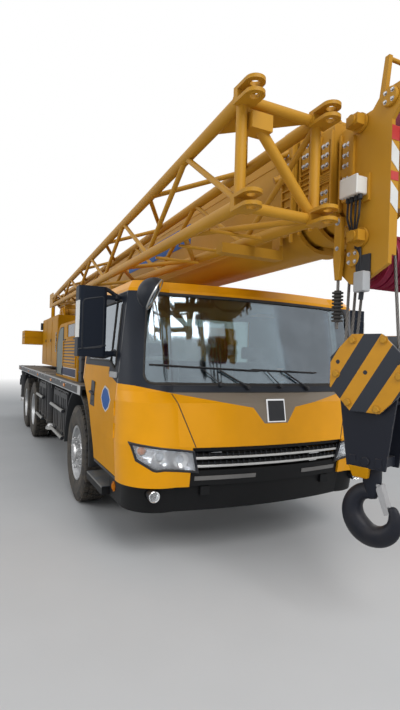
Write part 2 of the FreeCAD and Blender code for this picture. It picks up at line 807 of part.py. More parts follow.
def cab_section(height, front, half, inset):
    """The cab's plan at one height: straight sides and rear, a bowed front, round corners."""
    rear = float(ahead(S.cab_rear)) + inset
    side = float(half) - inset
    nose = float(ahead(front)) - inset
    shoulder = nose - float(S.nose_bow)
    corner_y = float(S.corner_front) - inset / 2
    corner_x = min(float(ahead(S.corner_side)) - inset / 2, shoulder - 70)
    corner = Vector(
        corner_x + (shoulder - corner_x) * 0.76, corner_y + (side - corner_y) * 0.70, height
    )
    points = [
        Vector(rear, side, height), Vector(corner_x, side, height),
        Vector(shoulder, corner_y, height), Vector(shoulder, -corner_y, height),
        Vector(corner_x, -side, height), Vector(rear, -side, height),
    ]
    mirrored_corner = Vector(corner.x, -corner.y, height)
    edges = [
        Part.LineSegment(points[0], points[1]).toShape(),
        Part.Arc(points[1], corner, points[2]).toShape(),
        Part.Arc(points[2], Vector(nose, 0, height), points[3]).toShape(),
        Part.Arc(points[3], mirrored_corner, points[4]).toShape(),
        Part.LineSegment(points[4], points[5]).toShape(),
        Part.LineSegment(points[5], points[0]).toShape(),
    ]
    return Part.Wire(edges)


def cab_form(name, inset):
    """The cab's closed form, lofted through its plans and shrunk by an inset."""
    inset = float(inset)
    roof_edge = float(S.roof_height) - 70
    narrow = float(S.half_width - S.roof_inset)
    levels = (
        (float(S.cab_lip), S.lip_front, S.half_width - 20),
        (float(S.nose_height), S.cab_nose, S.half_width),
        (float(S.screen_base) - 80, S.cab_nose - 65, S.half_width),
        (float(S.screen_base), S.screen_foot, S.half_width - 6),
        (roof_edge - inset, S.roof_front, narrow),
        (float(S.roof_height) - inset, S.roof_front - 60, narrow - 50),
    )
    wires = [cab_section(height, front, half, inset) for height, front, half in levels]
    return shaped(name, Part.makeLoft(wires, True, True))


def arch_rod(name, radius):
    """A bar as wide as the cab that cuts the wheel arches."""
    start = (FRONT_AXLE, -S.half_width - 50, S.tyre_radius)
    return rod(name, "y", start, radius, S.half_width * 2 + 100)


def mirrored_outline(half):
    """An outline of Y and Z on the left, closed by its mirror image."""
    return (*half, *((-y, z) for y, z in reversed(half)))


def door_prism(name, grow, side=1):
    """The space of a door seen from the side, grown all round."""
    rear = ahead(S.cab_rear) + 46 - grow
    front = ahead(S.door_front) + grow
    low = S.cab_sill - grow
    high = S.door_top + grow
    y = ordered(side, S.half_width - 190, S.half_width + 60)
    return block(name, (rear, front), y, (low, high))


def make_cab():
    """The driver's cab: shell, front panel, panes, two doors and what stands inside."""
    outer = cab_form("cab_outer", 0)
    inner = cab_form("cab_inner", S.cab_wall)
    wide = (-S.half_width - 10, S.half_width + 10)
    long = (ahead(S.cab_rear) - 10, ahead(S.cab_nose) + 60)
    slab = block("floor_slab", long, wide, (CAB_UNDER, S.cab_floor))
    lining = arch_rod("arch_lining", S.arch_radius + S.cab_wall)
    cavity = cut("cab_cavity", inner, slab, lining)
    rail_room_half = S.frame_half + 70
    rail_room = block(
        "rail_room", (ahead(900), ahead(1100)), (-rail_room_half, rail_room_half),
        (S.cab_lip - 10, CAB_UNDER),
    )
    walls = cut("cab_walls", outer, cavity, arch_rod("arch_cut", S.arch_radius), rail_room)

    pane_front = (ahead(S.corner_side) - 130, ahead(S.cab_nose) + 60)
    screen_low = S.screen_base + 66
    screen_high = S.roof_height - 112
    screen_half = S.half_width - 165
    screen = mirrored_outline((
        (screen_half, screen_low), (screen_half - 45, screen_high),
    ))
    screen_cut = prism(
        "screen_opening", "yz", screen, *pane_front, soften=((70, (0, 1, 2, 3)),)
    )
    rear_x = (ahead(S.cab_rear) - 10, ahead(S.cab_rear) + 90)
    rear_half = 760
    rear_z = (S.belt_rear + 60, S.door_top - 60)
    rear_cut = block("rear_opening", rear_x, (-rear_half, rear_half), rear_z)

    top = S.screen_base
    emblem = 115
    notch = top - 240
    brow = mirrored_outline((
        (S.half_width + 60, S.cab_lip - 10), (S.half_width + 60, S.belt_front),
        (S.half_width - 100, S.belt_front - 15), (S.corner_front + 20, top - 8),
        (205, top - 118), (emblem, top - 130), (emblem, notch),
    ))
    panel_x = (ahead(S.door_front) + S.clear_gap, ahead(S.cab_nose) + 60)
    panel_space = prism("front_space", "yz", brow, *panel_x)
    grille_half = S.corner_front - 105
    grille_z = (S.cab_lip - 10, S.nose_height - 8)
    grille_space = block("grille_space", panel_x, (-grille_half, grille_half), grille_z)
    lamp = (
        (grille_half - 15, S.nose_height - 32), (S.half_width - 55, S.nose_height + 28),
        (S.half_width - 95, S.nose_height - 110), (S.half_width - 225, S.nose_height - 192),
        (S.half_width - 300, S.nose_height - 180), (grille_half - 62, S.nose_height - 208),
    )
    lamp_space = prism("lamp_space", "yz", lamp, *panel_x)
    lamp_spaces = both_sides("lamp_space", lamp_space)
    front_skin = cut("front_skin", outer, inner)
    front_zone = common("front_zone", front_skin, panel_space)
    hinge_rooms = []
    hinge_barrels = []
    for i, height in enumerate(HINGE_HEIGHTS):
        upper = height + S.hinge_length
        room = hinge_bar(f"hinge_room_{i}", upper, S.hinge_radius + 0.5, S.hinge_length + 1)
        barrel = hinge_bar(f"hinge_barrel_{i}", height, S.hinge_radius, S.hinge_length)
        pin = hinge_bar(f"hinge_pin_{i}", height, S.hinge_pin, S.hinge_length * 2 - 10)
        hinge_rooms.extend(both_sides(f"hinge_room_{i}", room))
        hinge_barrels.extend(both_sides(f"hinge_barrel_{i}", fuse(f"hinge_half_{i}", barrel, pin)))
    opened = cut("cab_front_opened", front_zone, grille_space, *lamp_spaces, *hinge_rooms)
    node("cab_front", fuse("cab_front_form", opened, *hinge_barrels))

    doorways = [door_prism("doorway_left", S.clear_gap), door_prism("doorway_right", S.clear_gap, -1)]
    shell = cut("cab_shell_form", walls, screen_cut, rear_cut, panel_space, *doorways)
    node("cab_shell", shell)

    pane_layer = cut(
        "pane_layer",
        cab_form("pane_outside", S.glass_depth),
        cab_form("pane_inside", S.glass_depth + S.glass_thickness),
    )
    node("cab_glass", group(
        "cab_glass_form",
        common("windscreen", pane_layer, screen_cut),
        common("rear_window", pane_layer, rear_cut),
    ))

    make_doors(outer, inner, pane_layer)
    make_cab_inside()
    make_nose(outer, grille_space, lamp_spaces)
    make_corner_mirror(outer)


def hinge_bar(name, height, radius, length):
    """A bar on the axis of the left door's hinges."""
    start = (ahead(S.door_front) + S.clear_gap / 2, S.half_width, height)
    return rod(name, "z", start, radius, length)


def make_doors(outer, inner, pane_layer):
    """A door with its pane and mirror, and the other side's image of them."""
    skin = cut("door_skin", outer, inner, arch_rod("door_arch", S.arch_radius))
    window = (
        (ahead(S.cab_rear) + 130, S.belt_rear + 55), (ahead(S.door_front) - 290, S.belt_rear + 55),
        (ahead(S.door_front) - 80, S.belt_front + 90), (ahead(S.door_front) - 80, S.door_top - 50),
        (ahead(S.cab_rear) + 130, S.door_top - 50),
    )
    reach = (S.half_width - 190, S.half_width + 60)
    window_cut = prism("door_window", "xz", window, *reach, soften=((40, (0, 3, 4)),))
    gap = S.running_gap
    rooms = []
    barrels = []
    for i, height in enumerate(HINGE_HEIGHTS):
        upper = height + S.hinge_length + gap
        length = S.hinge_length - gap
        room = hinge_bar(f"door_hinge_room_{i}", height - 1, S.hinge_radius + 0.5,
                         S.hinge_length + 1 + gap)
        rooms.append(room)
        barrels.append(cut(
            f"door_hinge_{i}",
            hinge_bar(f"door_barrel_{i}", upper, S.hinge_radius, length),
            hinge_bar(f"door_bore_{i}", upper, S.hinge_pin + gap, length),
        ))
    whole = cut("door_rooms", common("door_zone", skin, door_prism("door_space", 0)), *rooms)
    bores = [
        hinge_bar(f"door_bore_room_{i}", height + S.hinge_length, S.hinge_pin + gap, S.hinge_length)
        for i, height in enumerate(HINGE_HEIGHTS)
    ]
    panel = cut("door_panel", fuse("door_hinged", whole, *barrels), window_cut, *bores)
    arm_x = (ahead(1480), ahead(1520))
    housing_y = (S.half_width + 55, S.half_width + 285)
    housing_z = (1640, 2215)
    housing_x = (ahead(1400), ahead(1590))
    housing = prism(
        "mirror_housing", "xy",
        (
            (housing_x[0], housing_y[0]), (housing_x[1], housing_y[0]),
            (housing_x[1], housing_y[1]), (housing_x[0], housing_y[1]),
        ),
        *housing_z, soften=((38, (0, 1, 2, 3)),),
    )
    bracket_y = (S.half_width - 75, housing_y[0] + 60)
    door = fuse(
        "door_left_form",
        panel,
        housing,
        block("mirror_arm_high", arm_x, bracket_y, (2125, 2160)),
        block("mirror_arm_low", arm_x, (S.half_width - 30, bracket_y[1]), (1655, 1690)),
    )
    pane = common("door_glass_left_form", pane_layer, window_cut)
    node("door_left", door)
    node("door_glass_left", pane)
    node("door_right", mirror("door_right_form", door))
    node("door_glass_right", mirror("door_glass_right_form", pane))


def make_cab_inside():
    """The dashboard with the steering wheel, and two seats."""
    dash_half = S.half_width - 70
    wall_half = S.half_width - 250
    dash_rear = ahead(1690)
    space = cab_form("cab_inside", S.cab_wall + 3)
    dash = common(
        "dash_fitted",
        fuse(
            "dash_blocks",
            block(
                "dash_top", (dash_rear, ahead(S.cab_nose)), (-dash_half, dash_half),
                (S.screen_base - 240, S.screen_base + 20),
            ),
            block(
                "dash_wall", (dash_rear - 30, dash_rear + 6), (-wall_half, wall_half),
                (S.cab_floor, S.screen_base - 220),
            ),
        ),
        space,
    )
    driver_y = float(S.half_width) * 0.46
    wheel_x = float(ahead(1455))
    wheel_z = float(S.screen_base) + 70
    tilt = Vector(-0.72, 0, 0.69)
    column_foot = Vector(float(dash_rear) + 60, driver_y, wheel_z - 290)
    column = Part.makeCylinder(26, 400, column_foot, tilt)
    rim = Part.makeTorus(205, 15, column_foot + tilt * 390, tilt)
    spoke = Part.makeBox(36, 400, 22, Vector(-18, -200, -11))
    spoke.Placement = Placement(column_foot + tilt * 390, Rotation(Vector(0, 0, 1), tilt))
    steering = shaped("steering_wheel", column.multiFuse([rim, spoke]))
    node("dashboard", fuse("dashboard_form", dash, steering))

    seat_y = (driver_y - 250, driver_y + 250)
    seat = fuse(
        "seat",
        block("seat_base", (ahead(1010), ahead(1310)), (driver_y - 170, driver_y + 170),
              (S.cab_floor, S.cab_floor + 240)),
        prism(
            "seat_cushion", "xz",
            ((ahead(880), S.cab_floor + 230), (ahead(1400), S.cab_floor + 250),
             (ahead(1400), S.cab_floor + 340), (ahead(880), S.cab_floor + 320)),
            *seat_y, soften=((40, (2, 3)),),
        ),
        prism(
            "seat_back", "xz",
            ((ahead(860), S.cab_floor + 240), (ahead(960), S.cab_floor + 300),
             (ahead(840), S.cab_floor + 940), (ahead(760), S.cab_floor + 930)),
            driver_y - 230, driver_y + 230, soften=((30, (2, 3)),),
        ),
    )
    node("cab_seats", group("cab_seats_form", *both_sides("seat", seat)))


def make_nose(outer, grille_space, lamp_spaces):
    """The grille with the dark bumper and steps, and all lamps."""
    grille_layer = cut(
        "grille_layer", cab_form("grille_front", 22), cab_form("grille_back", 74)
    )
    grille = cut("grille_plate", common("grille_whole", grille_layer, grille_space), *lamp_spaces)
    slat_z = 26
    slots = []
    for i in range(3):
        low = S.nose_height - 66 - 66 * i
        slot_half = S.corner_front - 125
        slots.append(block(f"grille_slot_{i}", (ahead(2010), ahead(S.cab_nose) + 40),
                           (-slot_half, slot_half), (low, low + slat_z)))
    low_z = 430
    skirt = []
    for name, inset in (("skirt_outside", 55.0), ("skirt_inside", 105.0)):
        wires = [
            cab_section(height, S.lip_front - drop, S.half_width - 20, inset)
            for height, drop in ((low_z, 50), (float(S.cab_lip) - 8, 0))
        ]
        skirt.append(shaped(name, Part.makeLoft(wires, True, True)))
    wide = (-S.half_width, S.half_width)
    skirt_front = cut(
        "skirt", skirt[0], skirt[1],
        block("skirt_rear", (ahead(0), ahead(1340)), wide, (low_z - 10, S.cab_lip + 10)),
    )
    fog_y = S.half_width - 235
    fog_start = (ahead(1930), fog_y, 585)
    fog_radius = 44
    fog_hole = rod("fog_hole", "x", fog_start, fog_radius + S.running_gap, 200)
    beam = block("bumper_beam", (ahead(1800), ahead(1850)),
                 (190 - S.half_width, S.half_width - 190), (570, 640))
    ties = block("bumper_tie", (ahead(1850), ahead(2075)), (560, 640), (570, 640))
    step_y = (S.half_width - 260, S.half_width - 6)
    step = fuse(
        "step",
        block("step_tread", (ahead(742), ahead(1345)), step_y, (low_z, low_z + 70)),
        block("step_riser", (ahead(S.arch_radius + S.cab_wall + S.running_gap), ahead(1345)),
              (step_y[0], step_y[0] + 30), (low_z, S.cab_sill + 20)),
        block("step_arm", (ahead(1180), ahead(1300)), (S.frame_half, step_y[0] + 10),
              (low_z + 140, low_z + 200)),
    )
    solid = fuse(
        "bumper_solid", cut("grille_slotted", grille, *slots), skirt_front, beam,
        *both_sides("bumper_tie", ties), *both_sides("step", step),
    )
    bumper = cut("bumper_form", solid, *both_sides("fog_hole", fog_hole))
    node("bumper", bumper)

    lamp_layer = cut("lamp_layer", cab_form("lamp_front", 4), cab_form("lamp_back", 88))
    head_lamp = common("head_lamp", lamp_layer, lamp_spaces[0])
    fog_lamp = rod("fog_lamp", "x", fog_start, fog_radius, 118)
    tail_lamp = block(
        "tail_lamp", (REAR_END + 8, REAR_END + 58), (S.half_width - 380, S.half_width - 60),
        (S.frame_base + 160, S.frame_base + 250),
    )
    lamps = (
        *both_sides("head_lamp", head_lamp), *both_sides("fog_lamp", fog_lamp),
        *both_sides("tail_lamp", tail_lamp),
    )
    node("lamps", group("lamps_form", *lamps))


def make_corner_mirror(outer):
    """The round mirror over the right front corner, which looks down at the bumper."""
    bowl = Part.makeSphere(128, Vector(), Vector(0, 0, 1), 0, 90, 360)
    facing = Vector(-0.38, -0.8, 0.45)
    side = 165 - float(S.half_width)
    height = float(S.roof_height) - 160
    bowl.Placement = Placement(Vector(float(ahead(2090)), side, height),
                               Rotation(Vector(0, 0, 1), facing))
    arm_start = Vector(float(ahead(1600)), side + 45, height + 30)
    arm = Part.makeCylinder(14, 520, arm_start, Vector(1, -0.05, 0.1))
    node("corner_mirror", cut("corner_mirror_form", shaped("mirror_bowl", bowl.fuse(arm)), outer))


def make_engine():
    """The engine as a plain block between the rails, with its hood and the air stack."""
    inner = S.frame_half - S.rail_width
    engine_x = (ahead(-1900), ahead(-760))
    body = block("engine_block", engine_x, (20 - inner, inner - 20), (640, S.hood_top - 250))
    mounts = block("engine_mounts", (ahead(-1500), ahead(-1300)), (-inner, inner), (900, 1000))
    gearbox = block("gearbox", (ahead(-2100), ahead(-1900)), (-190, 190), (600, 1060))
    shaft_end = REAR_AXLES[0] + 230 + S.running_gap
    shaft = rod("main_shaft", "x", (shaft_end, 0, SHAFT_HEIGHT), 45, ahead(-2100) - shaft_end)
    node("engine", fuse("engine_form", body, mounts, gearbox, shaft))

    rear = ahead(-S.hood_rear)
    front = ahead(-S.hood_front)
    side = (-S.hood_half, S.hood_half)
    wall = S.hood_wall
    outline = ((rear, S.deck_top), (front, S.deck_top), (front, S.hood_top),
               (rear, S.hood_top))
    cavity = ((rear + wall, S.deck_top - 1), (front - wall, S.deck_top - 1),
              (front - wall, S.hood_top - wall), (rear + wall, S.hood_top - wall))
    hood = cut(
        "hood_shell",
        prism("hood_outside", "xz", outline, *side, soften=((260, (3,)), (50, (2,)))),
        prism("hood_inside", "xz", cavity, side[0] + wall, side[1] - wall,
              soften=((230, (3,)),)),
    )
    stack_x = (front + 40, front + 200)
    stack_y = (-S.hood_half + 10, -S.hood_half + 170)
    stack = block("air_stack", stack_x, stack_y, (S.deck_top, S.hood_top - 130))
    node("engine_hood", group("engine_hood_form", hood, stack))


def make_side_boxes():
    """Tool and tank boxes under the deck, each with two guard tubes."""
    boxes = []
    hanger_half = 50
    for label, rear, front in (("front", -1960, -800), ("rear", -3700, -2760)):
        x = (ahead(rear), ahead(front))
        guard_x = (x[0] + 60, x[1] - 60)
        pieces = [
            block(f"{label}_box", x, (S.box_inner, S.box_outer), (S.box_base, S.box_top)),
        ]
        for i, station in enumerate((x[0] + 200, x[1] - 200)):
            hanger_x = (station - hanger_half, station + hanger_half)
            hanger_y = (S.frame_half, S.box_inner)
            hanger_z = (S.frame_top - 180, S.frame_top - 40)
            pieces.append(block(f"{label}_hanger_{i}", hanger_x, hanger_y, hanger_z))
            for j, height in enumerate((S.guard_low + 60, S.guard_high)):
                start = (station, S.box_outer - 10, height)
                reach = S.guard_line - S.box_outer + 10
                pieces.append(rod(f"{label}_stub_{i}_{j}", "y", start, 14, reach))
        for j, height in enumerate((S.guard_low + 60, S.guard_high)):
            start = (guard_x[0], S.guard_line, height)
            length = guard_x[1] - guard_x[0]
            pieces.append(rod(f"{label}_guard_{j}", "x", start, S.guard_radius, length))
        boxes.extend(both_sides(f"{label}_side_box", fuse(f"{label}_side_box", *pieces)))
    node("side_boxes", group("side_boxes_form", *boxes))


def make_turntable():
    """The slewing ring, the floor and side plates, the tank on the right and the cab's floor."""
    ring_base = DECK_BASE + S.running_gap
    ring_start = (SLEW, 0, ring_base)
    ring_height = RING_TOP - ring_base
    ring = cut(
        "ring",
        rod("ring_outside", "z", ring_start, S.pedestal_radius, ring_height),
        rod("ring_inside", "z", ring_start, S.pedestal_radius - 120, ring_height),
    )
    tail_join = SLEW - S.tail_reach + S.tail_length
    tail_end = tail_join - S.tail_length + 90
    front = SLEW + 980
    floor_x = (tail_join, front)
    floor_half = S.tower_half + 220
    floor = block("turn_floor", floor_x, (-floor_half, floor_half), (RING_TOP, FLOOR_TOP))
    crown = S.pivot_height + 115
    outline = (
        (front, RING_TOP), (front, FLOOR_TOP + 130), (SLEW - 350, FLOOR_TOP + 620),
        (PIVOT + 190, crown), (PIVOT - 150, crown), (tail_join + 60, S.tail_top + 120),
        (tail_join, S.tail_base), (tail_end, S.tail_base), (tail_end, S.tail_base - 160),
        (tail_join, RING_TOP),
    )
    plate = prism("side_plate", "xz", outline, S.tower_half, S.tower_half + S.tower_plate)
    foot = (SLEW - S.foot_back, FOOT_HEIGHT)
    lug_y = (FOOT_HALF + S.clear_gap, FOOT_HALF + S.clear_gap + 36)
    lug = prism(
        "foot_lug", "xz",
        ((foot[0] - 130, FLOOR_TOP), (foot[0] + 130, FLOOR_TOP), (foot[0] + 70, foot[1] + 70),
         (foot[0] - 70, foot[1] + 70)),
        *lug_y, soften=((50, (2, 3)),),
    )
    foot_pin = rod("foot_pin", "y", (foot[0], -lug_y[1], foot[1]), FOOT_PIN, lug_y[1] * 2)
    tank = block(
        "oil_tank", (tail_join + 100, SLEW + 660), (-S.tower_half - 390, -S.tower_half - 30),
        (FLOOR_TOP, 2430),
    )
    tank_floor = block(
        "tank_floor", (tail_join + 100, SLEW + 660), (-S.tower_half - 390, -floor_half + 10),
        (RING_TOP + 10, FLOOR_TOP),
    )
    cab_floor = block(
        "cab_floor_plate", (SLEW + S.opcab_rear, SLEW + S.opcab_front),
        (floor_half - 240, S.opcab_outer), (RING_TOP, S.opcab_base),
    )
    pin_hole = rod(
        "pivot_hole", "y", (PIVOT, -floor_half, S.pivot_height), S.pivot_radius + S.running_gap,
        floor_half * 2,
    )
    solid = fuse(
        "turntable_welded", ring, floor, *both_sides("side_plate", plate),
        *both_sides("foot_lug", lug), foot_pin, tank, tank_floor, cab_floor,
    )
    node("turntable", cut("turntable_form", solid, pin_hole))

    weight_x = (SLEW - S.tail_reach, tail_join)
    bevel_x = weight_x[0] + S.tail_bevel * 0.56
    narrow = S.tail_half - S.tail_bevel
    slab = prism(
        "slab", "xy",
        ((weight_x[0], -narrow), (bevel_x, -S.tail_half), (tail_join, -S.tail_half),
         (tail_join, S.tail_half), (bevel_x, S.tail_half), (weight_x[0], narrow)),
        S.tail_base, S.tail_top,
    )
    seam_middle = (S.tail_base + S.tail_top) / 2
    groove = 12
    seams = []
    for i, x in enumerate(((weight_x[0], weight_x[0] + groove), (tail_join - groove, tail_join))):
        seam_z = (seam_middle - groove / 2, seam_middle + groove / 2)
        seams.append(block(f"seam_{i}", x, (-S.tail_half, S.tail_half), seam_z))
    node("counterweight", cut("counterweight_form", slab, *seams))

    drum_x = SLEW - S.drum_back
    reach = S.tower_half - S.running_gap
    drum_half = S.tower_half - 90
    flange = 20
    node("winch_drum", fuse(
        "winch_drum_form",
        rod("drum_shaft", "y", (drum_x, -reach, S.drum_height), 50, reach * 2),
        rod("drum_barrel", "y", (drum_x, -drum_half, S.drum_height), S.drum_radius, drum_half * 2),
        rod("drum_flange_a", "y", (drum_x, -drum_half, S.drum_height), S.drum_flange, flange),
        rod("drum_flange_b", "y", (drum_x, drum_half - flange, S.drum_height), S.drum_flange,
            flange),
    ))


def make_operator_cab():
    """The operator's cab on the left of the turntable, its panes and its sliding door."""
    wall = 36
    rear = SLEW + S.opcab_rear
    front = SLEW + S.opcab_front
    low = S.opcab_base
    top = S.opcab_top
    chin = low + 520
    rake = 300
    y = (S.opcab_inner, S.opcab_outer)
    outline = ((rear, low), (front, low), (front, chin), (front - rake, top), (rear, top))
    lean = wall * 1.2
    hollow = (
        (rear + wall, low + wall), (front - wall, low + wall), (front - wall, chin),
        (front - rake - lean, top - wall), (rear + wall, top - wall),
    )
    shell = cut(
        "opcab_shell",
        prism("opcab_outside", "xz", outline, *y, soften=((60, (3, 4)),)),
        prism("opcab_inside", "xz", hollow, y[0] + wall, y[1] - wall),
    )
    door_x = (rear + 420, front - 320)
    door_z = (low + 70, top - 170)
    doorway = block("opcab_doorway", door_x, (y[1] - wall - 5, y[1] + 5), door_z)
    edge = 70
    slope = rake / float(top - chin)
    screen_low = chin - 60
    screen_high = top - 150
    screen = block(
        "opcab_screen_space", (front - rake - 60, front + 10), (y[0] + edge, y[1] - edge),
        (screen_low, screen_high),
    )
    side_x = (rear + 120, front - 420)
    side_z = (low + 620, top - 130)
    side = block("opcab_side_space", side_x, (y[0] - 5, y[0] + wall + 5), side_z)
    back_z = (low + 620, top - 130)
    back = block("opcab_back_space", (rear - 5, rear + wall + 5), (y[0] + edge, y[1] - edge), back_z)
    middle = (y[0] + y[1]) / 2
    seat = fuse(
        "opcab_seat",
        block("opcab_seat_base", (rear + 330, rear + 600), (middle - 130, middle + 130),
              (low + wall, low + 380)),
        block("opcab_cushion", (rear + 230, rear + 720), (middle - 230, middle + 230),
              (low + 380, low + 480)),
        block("opcab_back", (rear + 190, rear + 300), (middle - 230, middle + 230),
              (low + 440, low + 1080)),
    )
    console = block(
        "opcab_console", (front - 400, front - wall), (middle - 150, middle + 150),
        (low + wall, low + 500),
    )
    opened = cut("opcab_opened", shell, doorway, screen, side, back)
    rail_z = (door_z[1] + 60, door_z[1] + 90)
    rail = block("door_rail", (rear + 20, front - 330), (y[1], y[1] + S.clear_gap - S.running_gap),
                 rail_z)
    node("operator_cab", fuse("operator_cab_form", opened, seat, console, rail))

    pane = 8
    inset = 14
    front_pane = prism(
        "opcab_front_pane", "xz",
        (
            (front - inset - pane, screen_low), (front - inset, screen_low),
            (front - inset, chin), (front - inset - (screen_high - chin) * slope, screen_high),
            (front - inset - pane - (screen_high - chin) * slope, screen_high),
            (front - inset - pane, chin),
        ),
        y[0] + edge, y[1] - edge,
    )
    side_pane = block("opcab_side_pane", side_x, (y[0] + inset, y[0] + inset + pane), side_z)
    back_pane = block("opcab_back_pane", (rear + inset, rear + inset + pane),
                      (y[0] + edge, y[1] - edge), back_z)
    node("operator_glass", group("operator_glass_form", front_pane, side_pane, back_pane))

    panel_x = (door_x[0] - 40, door_x[1] + 40)
    panel_z = (door_z[0] - 30, door_z[1] + 100)
    panel_y = (y[1] + S.clear_gap, y[1] + S.clear_gap + 30)
    light_x = (panel_x[0] + 90, panel_x[1] - 90)
    light_z = (low + 560, panel_z[1] - 160)
    light = block("opcab_light", light_x, panel_y, light_z)
    panel = cut("opcab_door_panel", block("opcab_door_slab", panel_x, panel_y, panel_z), light)
    light_pane = block("opcab_light_pane", light_x, (panel_y[0] + 10, panel_y[0] + 18), light_z)
    node("operator_door", group("operator_door_form", panel, light_pane))


def section_outline(step, grow_side=0, grow_down=0, grow_up=0):
    """The U-bottomed outline of the boom section of one step, grown outwards."""
    half = S.boom_half - S.nest_side * step + grow_side
    low = S.boom_base_line + S.nest_height * step - grow_down
    high = S.boom_top_line - S.nest_height * step + grow_up
    return ((-half, low), (half, low), (half, high), (-half, high)), half


def boom_tube(name, step, x, grow_side=0, grow_down=0, grow_up=0):
    """A solid length of a section, with its bottom corners rounded down to the keel."""
    outline, half = section_outline(step, grow_side, grow_down, grow_up)
    soften = ((half - S.keel_half, (0, 1)), (30, (2, 3)))
    return prism(name, "yz", outline, *x, soften=soften)


def make_boom():
    """The five nested sections, the head on the last of them and the jib's brackets."""
    for step in range(5):
        rear = PIVOT - S.boom_tail if step == 0 else PIVOT + S.boom_tail + S.nest_tail * step
        last = step == 4
        collar_start = ahead(S.collar_start + S.collar_pitch * step)
        front = ahead(S.head_rear) - 30 if last else collar_start + S.collar_length
        x = (rear, front)
        wall = -S.boom_wall
        outside = boom_tube(f"section_{step}_outside", step, x)
        pieces = [outside]
        if not last:
            collar_x = (collar_start, front)
            pieces.append(boom_tube(
                f"collar_{step}", step, collar_x, S.collar_rim, S.collar_drop, S.collar_rim + 22,
            ))
        hollow = boom_tube(f"section_{step}_inside", step, x, wall, wall, wall)
        tube = cut(f"section_{step}_tube", fuse(f"section_{step}_solid", *pieces), hollow)
        extras = []
        keel = (-S.keel_half + 8, S.keel_half - 8)
        if not last:
            low = S.boom_base_line + S.nest_height * step + S.boom_wall
            next_low = S.boom_base_line + S.nest_height * (step + 1) - S.running_gap
            extras.append(block(f"keel_pad_{step}", collar_x, keel, (low, next_low)))
        if step > 0:
            top = S.boom_top_line - S.nest_height * step
            above = S.boom_top_line - S.nest_height * (step - 1) - S.boom_wall - S.running_gap
            extras.append(block(f"tail_pad_{step}", (rear, rear + 120), keel, (top - 1, above)))
        if step == 0:
            extras.extend(base_fittings())
        if last:
            extras.extend(head_pieces(front))
        node(f"boom_{step + 1}", fuse(f"boom_{step + 1}_form", tube, *extras))


def base_fittings():
    """Pivot pin and bosses, the cylinder's lugs and the brackets that carry the jib."""
    pin_half = S.tower_half + S.tower_plate
    boss_half = S.tower_half - S.clear_gap
    pin = rod("pivot_pin", "y", (PIVOT, -pin_half, S.pivot_height), S.pivot_radius, pin_half * 2)
    boss = rod("pivot_boss", "y", (PIVOT, -boss_half, S.pivot_height), 125, boss_half * 2)
    eye_x = PIVOT + S.eye_ahead
    lug_y = (ROD_EYE_HALF + 14, ROD_EYE_HALF + 42)
    lug = prism(
        "rod_lug", "xz",
        ((eye_x - 170, S.boom_base_line + 30), (eye_x - 60, S.eye_height - 70),
         (eye_x + 60, S.eye_height - 70), (eye_x + 170, S.boom_base_line + 30)),
        *lug_y,
    )
    boss_lug = rod("rod_lug_boss", "y", (eye_x, lug_y[1] - 1, S.eye_height), 44, 24)
    brackets = []
    for i, fraction in enumerate((0.09, 0.45, 0.86)):
        station, low, inner, outer = jib_place(fraction)
        x = (station - 45, station + 45)
        reach = -(inner + (outer - inner) * 0.5)
        seat = (low - S.chord_radius - 70, low - S.chord_radius - S.running_gap * 4)
        inward = -(S.boom_half - 8)
        brackets.append(block(f"jib_bracket_{i}", x, (reach, inward), seat))
        post = (low - S.chord_radius - 70, low + 150)
        brackets.append(block(f"jib_post_{i}", x, (inward - 30, inward), post))
    return [pin, boss, *both_sides("rod_lug", lug), *both_sides("rod_lug_boss", boss_lug), *brackets]


def jib_place(fraction):
    """Station, lower chord height and the inner and outer sides, a fraction along the jib."""
    station = ahead(S.jib_front) - S.jib_length * fraction
    tip_low = S.jib_tip_height - S.jib_tip_half
    low = S.jib_low + (tip_low - S.jib_low) * fraction
    inner = S.jib_inner + (S.jib_tip_side - S.jib_tip_half - S.jib_inner) * fraction
    outer = S.jib_outer + (S.jib_tip_side + S.jib_tip_half - S.jib_outer) * fraction
    return station, low, inner, outer


